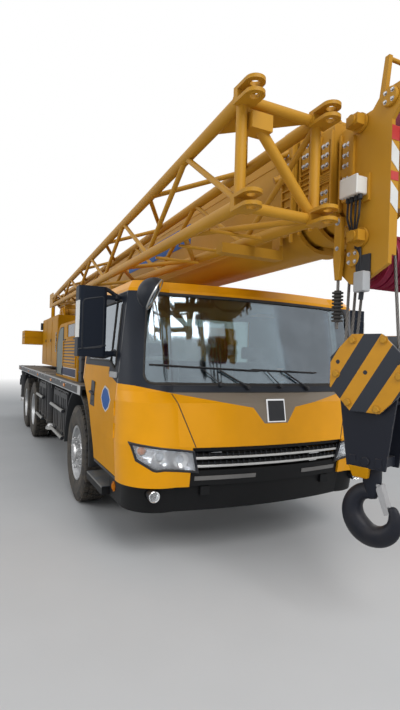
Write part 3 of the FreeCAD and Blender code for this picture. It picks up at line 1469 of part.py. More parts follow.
def head_pieces(front):
    """The head's cheeks, pins, lugs, rope guard and front strips."""
    rear_x = ahead(S.head_rear)
    front_x = ahead(S.head_front)
    y = (S.head_half - S.head_plate, S.head_half)
    load = (ahead(S.load_axis), S.load_height)
    guide = (ahead(S.guide_axis), GUIDE_HEIGHT)
    outline = (
        (rear_x, HEAD_TOP - 40), (rear_x, S.load_height + 150),
        (load[0] - 120, load[1] - 70), (load[0] - 30, S.head_base), (load[0] + 70, S.head_base),
        (front_x, load[1] - 70), (front_x, guide[1] - 120), (guide[0] + 60, guide[1] - 60),
        (guide[0] + 60, guide[1] + 60), (guide[0] - 60, guide[1] + 60),
        (rear_x + 150, HEAD_TOP), (rear_x + 40, HEAD_TOP),
    )
    cheek = prism("head_cheek", "xz", outline, *y)
    strip = block(
        "head_strip", (front_x - 16, front_x), (S.head_half - 60, S.head_half),
        (load[1] - 20, guide[1] - 150),
    )
    guard = prism(
        "guard_post", "xz",
        ((guide[0] - 90, guide[1]), (guide[0] - 50, guide[1]), (guide[0] - 20, guide[1] + 245),
         (guide[0] - 50, guide[1] + 245)),
        *y,
    )
    stub_high = block(
        "jib_stub_high", (rear_x + 20, rear_x + 110), (S.head_half - 5, S.head_half + 75),
        (HEAD_TOP - 70, HEAD_TOP - 10),
    )
    stub_low = block(
        "jib_stub_low", (rear_x + 50, rear_x + 140), (S.head_half - 5, S.head_half + 75),
        (S.load_height + 80, S.load_height + 140),
    )
    inner = S.head_half - S.head_plate
    wall = block(
        "head_wall", (front - 25, rear_x + 40), (-inner - 5, inner + 5),
        (S.boom_base_line + S.nest_height * 4, S.boom_top_line - S.nest_height * 4),
    )
    load_pin = rod("load_pin", "y", (load[0], -inner - 5, load[1]), S.sheave_pin, inner * 2 + 10)
    guide_pin = rod("guide_pin", "y", (guide[0], -inner - 5, guide[1]), S.sheave_pin, inner * 2 + 10)
    guard_rod = rod(
        "guard_rod", "y", (guide[0] - 35, -inner - 5, guide[1] + 233), 12, inner * 2 + 10
    )
    anchor = block(
        "anchor_lug", (ANCHOR[0] - 22, rear_x + 30), (ANCHOR_SIDE + 1, -S.head_half + 4),
        (ANCHOR[1] - 26, ANCHOR[1] + 26),
    )
    anchor_pin = rod(
        "anchor_pin", "y", (ANCHOR[0], ANCHOR_SIDE - 32, ANCHOR[1]), ANCHOR_PIN, 34
    )
    paired = (
        ("head_cheek", cheek), ("head_strip", strip), ("guard_post", guard),
        ("jib_stub_high", stub_high), ("jib_stub_low", stub_low),
    )
    pieces = [wall, load_pin, guide_pin, guard_rod, anchor, anchor_pin]
    for name, piece in paired:
        pieces.extend(both_sides(name, piece))
    return pieces


def make_sheaves():
    """The load sheaves and guide sheaves, each row on its own pin."""
    reach = S.head_half - S.head_plate - S.running_gap
    bore = S.sheave_pin + S.running_gap
    rows = (
        ("load_sheaves", S.load_axis, S.load_height, S.load_sheave, FALL_SIDES + (20, 80)),
        ("guide_sheaves", S.guide_axis, GUIDE_HEIGHT, S.guide_sheave, (-100, 100)),
    )
    for name, distance, height, radius, sides in rows:
        axis = (ahead(distance), height)
        start = (axis[0], -reach, axis[1])
        pieces = [rod(f"{name}_hub", "y", start, S.sheave_pin + 26, reach * 2)]
        for i, side in enumerate(sides):
            disc_start = (axis[0], side - S.sheave_width / 2, axis[1])
            pieces.append(rod(f"{name}_disc_{i}", "y", disc_start, radius, S.sheave_width))
        hole = rod(f"{name}_bore", "y", start, bore, reach * 2)
        node(name, cut(f"{name}_form", fuse(f"{name}_solid", *pieces), hole))


def make_cylinder():
    """The luffing cylinder's barrel and rod, along the line between their eyes."""
    foot = (float(SLEW - S.foot_back), float(FOOT_HEIGHT))
    eye = (float(PIVOT + S.eye_ahead), float(S.eye_height))
    length = math.dist(foot, eye)
    along = Vector((eye[0] - foot[0]) / length, 0, (eye[1] - foot[1]) / length)
    radius = float(S.barrel_radius)
    rod_radius = float(S.piston_rod)
    fit = float(S.running_gap)
    across = Vector(0, 1, 0)
    base = Vector(foot[0], 0, foot[1])
    tip = Vector(eye[0], 0, eye[1])
    gland = length - 130

    def bar(bar_radius, start, end):
        return Part.makeCylinder(bar_radius, end - start, base + along * start, along)

    def eyelet(point, half, eye_radius):
        return Part.makeCylinder(eye_radius, half * 2, point - across * half, across)

    barrel = bar(radius, 90, gland).fuse(eyelet(base, float(FOOT_HALF), 95))
    barrel = barrel.cut(eyelet(base, float(FOOT_HALF), FOOT_PIN + fit))
    barrel = barrel.cut(bar(radius - 22, 140, gland - 60)).cut(bar(rod_radius + fit, 140, gland))
    piston = bar(radius - 22 - fit, 170, 230)
    neck = length - 150
    rod_end = bar(rod_radius, 170, neck).fuse([
        piston, bar(float(ROD_EYE_HALF) - 2, neck - 1, length),
        eyelet(tip, float(ROD_EYE_HALF), 62),
    ])
    node("luff_barrel", shaped("luff_barrel_form", barrel))
    node("luff_rod", shaped("luff_rod_form", rod_end))


def make_jib():
    """The lattice fly jib: four chords, their lacing, the fork lugs and the tip's sheave."""
    bays = 10
    front = float(ahead(S.jib_front))
    length = float(S.jib_length)
    chord = float(S.chord_radius)
    lace = float(S.lace_radius)
    high_base = float(S.jib_high)
    high_tip = float(S.jib_tip_height + S.jib_tip_half)

    def corner(fraction, outer_side, upper):
        station, low, inner, outer = jib_place(fraction)
        high = high_base + (high_tip - high_base) * fraction
        side = -float(outer if outer_side else inner)
        return Vector(float(station), side, high if upper else float(low))

    def tube(start, end, radius):
        line = end - start
        return Part.makeCylinder(radius, line.Length, start, line)

    sides = ((True, True), (True, False), (False, False), (False, True))
    shapes = [tube(corner(0, *side), corner(0.985, *side), chord) for side in sides]
    for i, side in enumerate(sides):
        following = sides[(i + 1) % 4]
        for bay in range(bays):
            low = corner(bay / bays, *(side if bay % 2 else following))
            high = corner((bay + 1) / bays, *(following if bay % 2 else side))
            shapes.append(tube(low, high, lace))
        shapes.append(tube(corner(0.004, *side), corner(0.004, *following), chord * 0.8))
    for side in sides:
        shapes.append(fork_lug(corner(0, *side)))
    shapes.extend(base_bracing(corner, tube, chord, lace))
    tip = Vector(front - length, -float(S.jib_tip_side), float(S.jib_tip_height))
    half = float(S.jib_tip_half) + chord
    across = Vector(0, 1, 0)
    for offset in (-half, half - 14):
        plate = Part.makeBox(420, 14, 2 * half + 60, tip + Vector(-60, offset, -half))
        shapes.append(plate)
    sheave = Part.makeCylinder(120, 36, tip - across * 18 + Vector(0, 0, 70), across)
    pin = Part.makeCylinder(24, 2 * half, tip - across * half + Vector(0, 0, 70), across)
    shapes.extend((sheave, pin))
    node("jib", shaped("jib_form", shapes[0].multiFuse(shapes[1:])))


def base_bracing(corner, tube, chord, lace):
    """The base frame's brace with its block, and the gusset between the upper chords."""
    outer_top = corner(0.004, True, True)
    inner_top = corner(0.004, False, True)
    inner_low = corner(0.004, False, False)
    knot = outer_top + (inner_low - outer_top) * 0.2
    brace = tube(knot, inner_low, chord * 0.8)
    tie = tube(outer_top, knot, lace)
    pad = Part.makeBox(110, 130, 90, knot - Vector(55, 65, 45))
    rear = corner(0.055, True, True)
    low = Vector(0, 0, -6)
    gusset = Part.Face(Part.makePolygon([outer_top + low, inner_top + low, rear + low,
                                         outer_top + low]))
    return [brace, tie, pad, gusset.extrude(Vector(0, 0, 12))]


def fork_lug(point):
    """A fork of two level eye plates on the end of a chord."""
    half = 55
    reach = 95
    plate = 20
    opening = 46
    shapes = []
    for low in (-opening / 2 - plate, opening / 2):
        level = point + Vector(0, 0, low)
        bar = Part.makeBox(reach + 20, half * 2, plate, level - Vector(20, half, 0))
        eye = Part.makeCylinder(half, plate, level + Vector(reach, 0, 0))
        hole = Part.makeCylinder(26, plate, level + Vector(reach, 0, 0))
        shapes.append(bar.fuse(eye).cut(hole))
    root = Part.makeBox(40, half * 2, opening + plate * 2,
                        point - Vector(30, half, opening / 2 + plate))
    return root.multiFuse(shapes)


def block_turn():
    """How the hook block and the hook hang turned on their ropes."""
    centre = Vector(float(ahead(S.load_axis)), float(S.block_side), 0)
    return Placement(Vector(), Rotation(Vector(0, 0, 1), BLOCK_TURN), centre)


def hung(length, width):
    """A point of the turned block at its axle's height, from the block's middle."""
    middle = Vector(float(ahead(S.load_axis)), float(S.block_side), float(S.block_height))
    return block_turn().multVec(middle + Vector(length, width, 0))


def make_hook():
    """The rope falls, the rope's dead end, the hook block and the swivelling hook."""
    x = ahead(S.load_axis)
    side = S.block_side
    falls = []
    fall_top = S.load_height
    for i, fall_side in enumerate(FALL_SIDES):
        for j, offset in enumerate((-FALL_OFFSET, FALL_OFFSET)):
            high = Vector(float(x + offset), float(fall_side), float(fall_top))
            low = hung(float(offset), float(fall_side - side))
            length = (high - low).Length
            rope = Part.makeCylinder(float(S.rope_radius), length, low, high - low)
            falls.append(shaped(f"fall_{i}_{j}", rope))
    node("rope_falls", group("rope_falls_form", *falls))

    socket_y = (ANCHOR_SIDE - 34, ANCHOR_SIDE - S.running_gap)
    socket_middle = (socket_y[0] + socket_y[1]) / 2
    socket = prism(
        "socket", "xz",
        ((ANCHOR[0] - 26, ANCHOR[1] + 30), (ANCHOR[0] + 26, ANCHOR[1] + 30),
         (ANCHOR[0] + 34, ANCHOR[1] - 230), (ANCHOR[0] + 16, ANCHOR[1] - 350),
         (ANCHOR[0] - 16, ANCHOR[1] - 350), (ANCHOR[0] - 34, ANCHOR[1] - 230)),
        *socket_y,
    )
    socket_hole = rod(
        "socket_hole", "y", (ANCHOR[0], socket_y[0], ANCHOR[1]), ANCHOR_PIN + S.running_gap,
        socket_y[1] - socket_y[0],
    )
    dead_rope = rod(
        "dead_rope", "z", (ANCHOR[0], socket_middle, ANCHOR[1] - 640), S.rope_radius, 300
    )
    weight = rod("rope_weight", "z", (ANCHOR[0], socket_middle, ANCHOR[1] - 600), 34, 190)
    node("dead_end", fuse("dead_end_form", cut("socket_bored", socket, socket_hole), dead_rope,
                          weight))

    half = S.block_half
    flat = half * 0.4
    middle = (x, S.block_height)
    octagon = tuple(
        (middle[0] + u, middle[1] + v)
        for u, v in ((-flat, half), (flat, half), (half, flat), (half, -flat), (flat, -half),
                     (-flat, -half), (-half, -flat), (-half, flat))
    )
    cheek = (S.cheek_gap, S.cheek_gap + S.cheek_plate)
    trapezoid = (
        (middle[0] - half * 0.8, middle[1] - 90), (middle[0] + half * 0.8, middle[1] - 90),
        (middle[0] + 120, CROSSHEAD_LOW), (middle[0] - 120, CROSSHEAD_LOW),
    )
    pieces = []
    keeper_half = 16
    keeper_z = (S.block_height - 30, S.block_height + 5)
    outer_fall = S.sheave_width + keeper_half
    for name, sign in SIDES:
        keeper_x = (x + FALL_OFFSET * sign - keeper_half, x + FALL_OFFSET * sign + keeper_half)
        keeper_face = outer_fall + S.rope_radius + S.running_gap
        keeper_y = tuple(side + v for v in ordered(sign, keeper_face, S.cheek_gap + 1))
        pieces.append(block(f"rope_keeper_{name}", keeper_x, keeper_y, keeper_z))
        y = tuple(side + v for v in ordered(sign, *cheek))
        dark_y = tuple(side + v for v in ordered(sign, S.cheek_gap - 16, S.cheek_gap + 1))
        pieces.append(prism(f"cheek_{name}", "xz", octagon, *y))
        pieces.append(prism(f"hanger_plate_{name}", "xz", trapezoid, *dark_y))
    reach = S.cheek_gap + 5
    axle = rod("block_axle", "y", (x, side - reach, S.block_height), 34, reach * 2)
    pieces.append(axle)
    rope_room = 12
    for i, fall_side in enumerate(FALL_SIDES):
        start = (x, fall_side - S.sheave_width / 2, S.block_height)
        radius = S.load_sheave - rope_room
        pieces.append(rod(f"block_sheave_{i}", "y", start, radius, S.sheave_width))
    crosshead = block(
        "crosshead", (x - 100, x + 100), (side - reach, side + reach),
        (CROSSHEAD_LOW, CROSSHEAD_LOW + 80),
    )
    pieces.append(crosshead)
    swivel_hole = rod(
        "swivel_hole", "z", (x, side, CROSSHEAD_LOW), SHANK + S.running_gap, 80
    )
    form = cut("hook_block_form", fuse("hook_block_solid", *pieces), swivel_hole)
    form.Placement = block_turn()
    node("hook_block", form)

    centre = Vector(float(x), float(side), float(S.hook_centre))
    bowl = float(S.hook_bowl)
    bar = float(S.hook_section)
    ring_radius = bowl + bar
    ring = Part.makeTorus(ring_radius, bar, Vector(), Vector(0, 0, 1), -180, 180, 290)
    upright = Rotation(Vector(1, 0, 0), 90)
    start_turn = Rotation(Vector(0, 1, 0), -90)
    ring.Placement = Placement(centre, start_turn * upright)
    tip_angle = math.radians(20)
    tip_point = centre + Vector(math.cos(tip_angle), 0, math.sin(tip_angle)) * ring_radius
    tip = Part.makeSphere(bar * 0.98, tip_point)
    shank_base = centre + Vector(0, 0, ring_radius - 10)
    shank_top = float(CROSSHEAD_LOW) + 80 + 40
    shank = Part.makeCylinder(SHANK, shank_top - shank_base.z, shank_base)
    neck_height = float(CROSSHEAD_LOW) - float(S.running_gap) - shank_base.z
    neck = Part.makeCylinder(SHANK + 22, neck_height, shank_base)
    nut_base = Vector(centre.x, centre.y, float(CROSSHEAD_LOW) + 80 + float(S.running_gap))
    nut = Part.makeCylinder(56, 36, nut_base)
    hook = ring.multiFuse([tip, shank, neck, nut])
    hook.Placement = block_turn().multiply(hook.Placement)
    node("hook", shaped("hook_form", hook))


def check_and_export():
    """Every object recomputed and sound, then one file for each sub-part."""
    DOC.recompute()
    bad = [thing.Name for thing in DOC.Objects if {"Invalid", "Error"} & set(thing.State)]
    if bad:
        raise RuntimeError(f"objects failed: {bad}")
    for thing in NODES:
        if thing.Shape.isNull() or not thing.Shape.isValid():
            raise RuntimeError(f"bad shape: {thing.Label}")
    os.makedirs("parts", exist_ok=True)
    for thing in NODES:
        thing.Shape.exportStep(f"parts/{thing.Label}.step")
    print(len(NODES), "sub-parts written")


CAB_UNDER = S.cab_floor - S.cab_wall
GUIDE_HEIGHT = S.load_height + S.guide_rise
HINGE_HEIGHTS = (990, 1170)
EYE_BASE = S.tyre_radius - 85
EYE_HEIGHT = as_size(120)
SHAFT_HEIGHT = S.tyre_radius + 155
BEAM_PITCH = S.beam_width + S.clear_gap * 2 + S.sleeve_wall
PAD_SPANS = ((S.sleeve_half - 60, S.sleeve_half), (-S.sleeve_half, -S.sleeve_half + 60))
OUTRIGGERS = (("front", ahead(-S.front_outrigger)), ("rear", ahead(-S.rear_outrigger)))
SIDES = (("left", 1), ("right", -1))
WHEELS = (
    ("front", FRONT_AXLE, False), ("middle", REAR_AXLES[0], True), ("rear", REAR_AXLES[1], True),
)
FOOT_HALF = as_size(70)
FOOT_PIN = 38
ROD_EYE_HALF = as_size(60)
ANCHOR = (ahead(S.head_rear) - 60, S.load_height + 230)
ANCHOR_SIDE = -S.head_half - 10
ANCHOR_PIN = 12
BLOCK_TURN = 18
FALL_SIDES = (-160, -100, -40)
FALL_OFFSET = S.load_sheave + S.rope_radius + S.running_gap
CROSSHEAD_LOW = S.block_height - 560
SHANK = 38

make_frame()
make_deck()
make_axles()
make_knuckles()
make_wheels()
make_outriggers()
make_cab()
make_engine()
make_side_boxes()
make_turntable()
make_operator_cab()
make_boom()
make_sheaves()
make_cylinder()
make_jib()
make_hook()
check_and_export()
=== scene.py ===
"""Looks of a three-axle truck crane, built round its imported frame.

The crane stands on a pale floor under soft light, seen from its right front. Lengths are in
metres: X runs forward, Y to the driver's left and Z up.
"""

from __future__ import annotations

import json
import logging
import math
from dataclasses import dataclass
from enum import Enum
from typing import Callable, Iterable, Sequence

import bmesh
import bpy
from mathutils import Matrix, Vector
from mathutils.bvhtree import BVHTree

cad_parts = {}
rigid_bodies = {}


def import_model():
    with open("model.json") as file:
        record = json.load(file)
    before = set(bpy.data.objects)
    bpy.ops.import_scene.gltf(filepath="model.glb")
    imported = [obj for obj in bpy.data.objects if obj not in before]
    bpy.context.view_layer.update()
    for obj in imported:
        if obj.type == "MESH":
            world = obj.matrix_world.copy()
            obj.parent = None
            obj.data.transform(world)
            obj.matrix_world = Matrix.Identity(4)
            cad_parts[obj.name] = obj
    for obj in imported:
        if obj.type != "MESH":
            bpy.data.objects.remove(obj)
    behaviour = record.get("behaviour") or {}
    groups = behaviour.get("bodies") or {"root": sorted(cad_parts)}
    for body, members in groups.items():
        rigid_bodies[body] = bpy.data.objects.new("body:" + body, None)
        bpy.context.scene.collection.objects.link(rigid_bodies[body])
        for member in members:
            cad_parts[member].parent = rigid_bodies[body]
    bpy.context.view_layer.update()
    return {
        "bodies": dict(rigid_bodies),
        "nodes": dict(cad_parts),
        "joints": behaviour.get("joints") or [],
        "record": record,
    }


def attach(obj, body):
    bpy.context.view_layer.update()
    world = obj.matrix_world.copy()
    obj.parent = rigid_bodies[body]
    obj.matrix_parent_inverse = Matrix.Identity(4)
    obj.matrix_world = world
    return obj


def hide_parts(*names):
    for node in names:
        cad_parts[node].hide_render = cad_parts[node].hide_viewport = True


LOG = logging.getLogger("truck_crane")
Point = tuple[float, float, float]
Flat = tuple[float, float]

FRONT_AXLE = 1.9275
REAR_AXLES = (FRONT_AXLE - 4.35, FRONT_AXLE - 5.70)
AXLE_HEIGHT = 0.535

FORWARD = Vector((1, 0, 0))
LEFTWARD = Vector((0, 1, 0))
UP = Vector((0, 0, 1))

# Radius of a turned form where it closes on its own axis.
POLE = 0.0001
# Points of a piece that are nearer than this become one.
WELD = 0.00005


def ahead(distance: float) -> float:
    """The station that lies a distance forward of the front axle."""
    return FRONT_AXLE + distance


def between(sign: int, inner: float, outer: float) -> Flat:
    """Two distances from the middle plane as the low and the high Y of one side."""
    low, high = sorted((sign * inner, sign * outer))
    return low, high


def outward(sign: int) -> Vector:
    """The direction out to one side."""
    return Vector((0, sign, 0))


def directions(count: int, phase: float = 0.0) -> list[Vector]:
    """Unit vectors spaced evenly round the Y axis."""
    angles = [math.tau * (k + phase) / count for k in range(count)]
    return [Vector((math.cos(angle), 0, math.sin(angle))) for angle in angles]


def oblong(u0: float, u1: float, v0: float, v1: float) -> list[Flat]:
    """An oblong's four corners, round from its lowest first one."""
    return [(u0, v0), (u1, v0), (u1, v1), (u0, v1)]


def arc(centre: Flat, radius: float, start: float, turn: float, steps: int) -> list[Flat]:
    """Points along an arc, its first angle and its turn in radians."""
    angles = [start + turn * k / steps for k in range(steps + 1)]
    return [(centre[0] + math.cos(angle) * radius, centre[1] + math.sin(angle) * radius)
            for angle in angles]


class Axis(Enum):
    """The axes of the crane's frame."""

    X = 0
    Y = 1
    Z = 2


class Side(Enum):
    """The crane's two sides, with the sign of Y."""

    LEFT = 1
    RIGHT = -1

    @property
    def word(self) -> str:
        """The side's name as nodes and bodies spell it."""
        return self.name.lower()


# --- shader expressions


class Link:
    """One output of a shader node, whose arithmetic adds Math nodes."""

    def __init__(self, recipe: "Recipe", socket: bpy.types.NodeSocket) -> None:
        """Wraps a socket.

        Args:
            recipe: The node tree that the socket belongs to.
            socket: The output to wrap.
        """
        self.recipe = recipe
        self.socket = socket

    def maths(self, operation: str, *others: "Link | float", clamp: bool = False) -> "Link":
        """Adds one Math node.

        Args:
            operation: The node's operation.
            others: The values after this one.
            clamp: Whether the result stays between 0 and 1.

        Returns:
            The result.
        """
        return self.recipe.maths(operation, self, *others, clamp=clamp)

    def __add__(self, other: "Link | float") -> "Link":
        """Sum."""
        return self.maths("ADD", other)

    def __radd__(self, other: float) -> "Link":
        """Sum, the number first."""
        return self.maths("ADD", other)

    def __sub__(self, other: "Link | float") -> "Link":
        """Difference."""
        return self.maths("SUBTRACT", other)

    def __rsub__(self, other: float) -> "Link":
        """Difference, the number first."""
        return self.recipe.maths("SUBTRACT", other, self)

    def __mul__(self, other: "Link | float") -> "Link":
        """Product."""
        return self.maths("MULTIPLY", other)

    def __rmul__(self, other: float) -> "Link":
        """Product, the number first."""
        return self.maths("MULTIPLY", other)

    def __truediv__(self, other: "Link | float") -> "Link":
        """Quotient."""
        return self.maths("DIVIDE", other)

    def __gt__(self, other: "Link | float") -> "Link":
        """1 where this is greater."""
        return self.maths("GREATER_THAN", other)

    def __lt__(self, other: "Link | float") -> "Link":
        """1 where this is less."""
        return self.maths("LESS_THAN", other)

    def __abs__(self) -> "Link":
        """Absolute value."""
        return self.maths("ABSOLUTE")

    def clamp(self) -> "Link":
        """Kept between 0 and 1."""
        return self.maths("ADD", 0.0, clamp=True)

    def either(self, other: "Link") -> "Link":
        """The larger of two masks."""
        return self.maths("MAXIMUM", other)


class Recipe:
    """A material's node tree, written as expressions."""

    def __init__(self, name: str, holder: bpy.types.ID | None = None) -> None:
        """Starts an empty tree.

        Args:
            name: The material's name.
            holder: What holds the tree where that isn't a new material, such as a world.
        """
        self.material = holder or bpy.data.materials.new(name)
        self.material.use_nodes = True
        self.tree = self.material.node_tree
        self.tree.nodes.clear()

    def node(
        self,
        kind: str,
        settings: dict[str, object] | None = None,
        inputs: dict[str | int, object] | None = None,
        output: str | int = 0,
    ) -> Link | None:
        """Adds any node.

        Args:
            kind: The node's type.
            settings: Its own settings, set before its sockets.
            inputs: Values or links of its sockets.
            output: The output that is returned.

        Returns:
            The chosen output, or None of a node that ends the tree.
        """
        node = self.tree.nodes.new(kind)
        for name, value in (settings or {}).items():
            if name == "stops":
                self.fill_ramp(node, value)
            else:
                setattr(node, name, value)
        for name, value in (inputs or {}).items():
            if isinstance(value, Link):
                self.tree.links.new(value.socket, node.inputs[name])
            else:
                node.inputs[name].default_value = value
        return Link(self, node.outputs[output]) if node.outputs else None

    @staticmethod
    def fill_ramp(node: bpy.types.Node, stops: Sequence[tuple[float, float]]) -> None:
        """Sets a colour ramp's grey stops."""
        ramp = node.color_ramp
        while len(ramp.elements) > len(stops):
            ramp.elements.remove(ramp.elements[-1])
        while len(ramp.elements) < len(stops):
            ramp.elements.new(1.0)
        for element, (place, grey) in zip(ramp.elements, stops):
            element.position = place
            element.color = (grey, grey, grey, 1.0)

    def maths(self, operation: str, *values: Link | float, clamp: bool = False) -> Link:
        """Adds a Math node on values or links."""
        settings = {"operation": operation, "use_clamp": clamp}
        return self.node("ShaderNodeMath", settings, dict(enumerate(values)))

    def place(self) -> Link:
        """Position on the piece, in the crane's frame at rest."""
        return self.node("ShaderNodeTexCoord", output="Object")

    def split(self, vector: Link) -> tuple[Link, Link, Link]:
        """A vector's three parts."""
        parts = self.node("ShaderNodeSeparateXYZ", inputs={0: vector})
        outputs = parts.socket.node.outputs
        return parts, Link(self, outputs[1]), Link(self, outputs[2])

    def noise(self, vector: Link, scale: float, detail: float = 3.0, rough: float = 0.55) -> Link:
        """Smooth noise between 0 and 1."""
        values = {"Vector": vector, "Scale": scale, "Detail": detail, "Roughness": rough}
        return self.node("ShaderNodeTexNoise", inputs=values)

    def stretched(self, vector: Link, scale: Point) -> Link:
        """A vector scaled along its axes."""
        return self.node(
            "ShaderNodeVectorMath", {"operation": "MULTIPLY"}, {0: vector, 1: scale}
        )

    def ramp(self, value: Link, *stops: tuple[float, float]) -> Link:
        """A value passed through a grey ramp."""
        return self.node("ShaderNodeValToRGB", {"stops": stops}, {0: value})

    def blend(self, factor: Link | float, low: Link | Point, high: Link | Point) -> Link:
        """Two colours mixed.

        Args:
            factor: 0 gives the first colour, 1 the second.
            low: The first colour.
            high: The second colour.

        Returns:
            The mixed colour.
        """
        node = self.tree.nodes.new("ShaderNodeMix")
        node.data_type = "RGBA"
        for index, value in ((0, factor), (6, low), (7, high)):
            if isinstance(value, Link):
                self.tree.links.new(value.socket, node.inputs[index])
            elif isinstance(value, tuple):
                node.inputs[index].default_value = (*value, 1.0)
            else:
                node.inputs[index].default_value = value
        return Link(self, node.outputs[2])

    def upward(self) -> Link:
        """How far the surface faces up, from 0 to 1."""
        normal = self.node("ShaderNodeNewGeometry", output="Normal")
        return self.split(normal)[2].clamp()

    def edges(self, radius: float = 0.004) -> Link:
        """1 along sharp edges, 0 on faces."""
        soft = self.node("ShaderNodeBevel", {"samples": 4}, {"Radius": radius})
        hard = self.node("ShaderNodeNewGeometry", output="Normal")
        dot = self.node(
            "ShaderNodeVectorMath", {"operation": "DOT_PRODUCT"}, {0: soft, 1: hard}, "Value"
        )
        return ((1.0 - dot) * 9.0).clamp()

    def bump(self, height: Link, strength: float, distance: float) -> Link:
        """A bumped normal from a height."""
        values = {"Strength": strength, "Distance": distance, "Height": height}
        return self.node("ShaderNodeBump", inputs=values)

    def surface(self, **values: object) -> bpy.types.Material:
        """Ends the tree in a Principled shader.

        Args:
            values: Its sockets, words joined by underscores.

        Returns:
            The finished material.
        """
        inputs = {name.replace("_", " ").title(): value for name, value in values.items()}
        fixed = {"Ior": "IOR", "Specular Ior Level": "Specular IOR Level"}
        inputs = {fixed.get(name, name): value for name, value in inputs.items()}
        for name, value in inputs.items():
            if isinstance(value, tuple) and len(value) == 3:
                inputs[name] = (*value, 1.0)
        shader = self.node("ShaderNodeBsdfPrincipled", inputs=inputs)
        self.node("ShaderNodeOutputMaterial", inputs={"Surface": shader})
        return self.material


def shade(colour: Point, factor: float) -> Point:
    """A colour made darker or lighter."""
    return (colour[0] * factor, colour[1] * factor, colour[2] * factor)


# --- finishes

DUST: Point = (0.36, 0.29, 0.20)
SILL_BROWN: Point = (0.24, 0.20, 0.155)


@dataclass(frozen=True)
class Paint:
    """Sprayed paint on steel, with dust on what faces up and low down, and worn edges."""

    name: str
    colour: Point
    roughness: float = 0.34
    coat: float = 0.25
    dust: float = 0.35
    wear: float = 0.3
    gloss: float = 0.35
    grime_height: float = 0.9

    def tint(self, recipe: Recipe, place: Link) -> Link:
        """The paint's own colour over the surface."""
        cloud = recipe.noise(place, 1.7, 4.0)
        return recipe.blend(recipe.ramp(cloud, (0.3, 0.0), (0.75, 1.0)), shade(self.colour, 0.86),
                            shade(self.colour, 1.05))

    def material(self) -> bpy.types.Material:
        """Builds the paint."""
        recipe = Recipe(self.name)
        place = recipe.place()
        tint = self.tint(recipe, place)
        fine = recipe.noise(place, 14.0, 5.0, 0.65)
        low = (self.grime_height - recipe.split(place)[2]) / self.grime_height
        lying = recipe.upward() * 0.55 + low.clamp() * 0.75
        dust = (lying * self.dust * recipe.ramp(fine, (0.35, 0.15), (0.7, 1.0))).clamp()
        chips = recipe.edges() * (recipe.noise(place, 38.0, 3.0) > 0.56) * self.wear
        coloured = recipe.blend(dust, tint, DUST)
        worn = recipe.blend(chips.clamp(), coloured, (0.20, 0.17, 0.14))
        peel = recipe.noise(place, 240.0, 2.0)
        return recipe.surface(
            base_color=worn,
            roughness=(self.roughness + dust * 0.45 + fine * 0.08).clamp(),
            coat_weight=self.coat,
            coat_roughness=0.12,
            specular_ior_level=self.gloss,
            normal=recipe.bump(peel, 0.035, 0.002),
        )


@dataclass(frozen=True)
class SplitPaint(Paint):
    """Paint in two colours that meet along lines on the panels."""

    second: Point = (0.013, 0.017, 0.026)
    mask: Callable[[Recipe, Link], Link] | None = None

    def tint(self, recipe: Recipe, place: Link) -> Link:
        """The first colour outside the mask and the second in it."""
        first = super().tint(recipe, place)
        return recipe.blend(self.mask(recipe, place), first, self.second)


@dataclass(frozen=True)
class ShellPaint(SplitPaint):
    """The cab shell's paint, with a third colour on the panel under the windscreen."""

    third: Point = SILL_BROWN

    def tint(self, recipe: Recipe, place: Link) -> Link:
        """Yellow roof, dark pillars and brown-grey panel."""
        two = super().tint(recipe, place)
        x, _, z = recipe.split(place)
        panel = (z < 1.379) * (x > ahead(1.7))
        return recipe.blend(panel, two, self.third)


@dataclass(frozen=True)
class Plastic:
    """Moulded plastic with a fine grain."""

    name: str
    colour: Point
    roughness: float = 0.55
    grain: float = 900.0
    dust: float = 0.25
    gloss: float = 0.3

    def material(self) -> bpy.types.Material:
        """Builds the plastic."""
        recipe = Recipe(self.name)
        place = recipe.place()
        cloud = recipe.noise(place, 6.0, 4.0)
        dust = recipe.upward() * self.dust * recipe.ramp(cloud, (0.35, 0.2), (0.8, 1.0))
        colour = recipe.blend(dust.clamp(), recipe.blend(cloud, shade(self.colour, 0.8),
                                                         shade(self.colour, 1.25)), DUST)
        return recipe.surface(
            base_color=colour,
            roughness=(self.roughness + cloud * 0.15).clamp(),
            specular_ior_level=self.gloss,
            normal=recipe.bump(recipe.noise(place, self.grain, 2.0), 0.12, 0.0006),
        )


@dataclass(frozen=True)
class Metal:
    """Bare or cast metal, brushed or rough."""

    name: str
    colour: Point
    roughness: float = 0.35
    grain: Point = (60.0, 60.0, 60.0)
    rust: float = 0.0
    bump: float = 0.08

    def material(self) -> bpy.types.Material:
        """Builds the metal."""
        recipe = Recipe(self.name)
        place = recipe.place()
        brushed = recipe.noise(recipe.stretched(place, self.grain), 8.0, 4.0)
        cloud = recipe.noise(place, 9.0, 5.0, 0.7)
        stain = (recipe.ramp(cloud, (0.5, 0.0), (0.72, 1.0)) * self.rust).clamp()
        colour = recipe.blend(brushed, shade(self.colour, 0.8), shade(self.colour, 1.12))
        return recipe.surface(
            base_color=recipe.blend(stain, colour, (0.16, 0.07, 0.03)),
            metallic=(1.0 - stain).clamp(),
            roughness=(self.roughness + cloud * 0.18 + stain * 0.4).clamp(),
            normal=recipe.bump(brushed, self.bump, 0.001),
        )


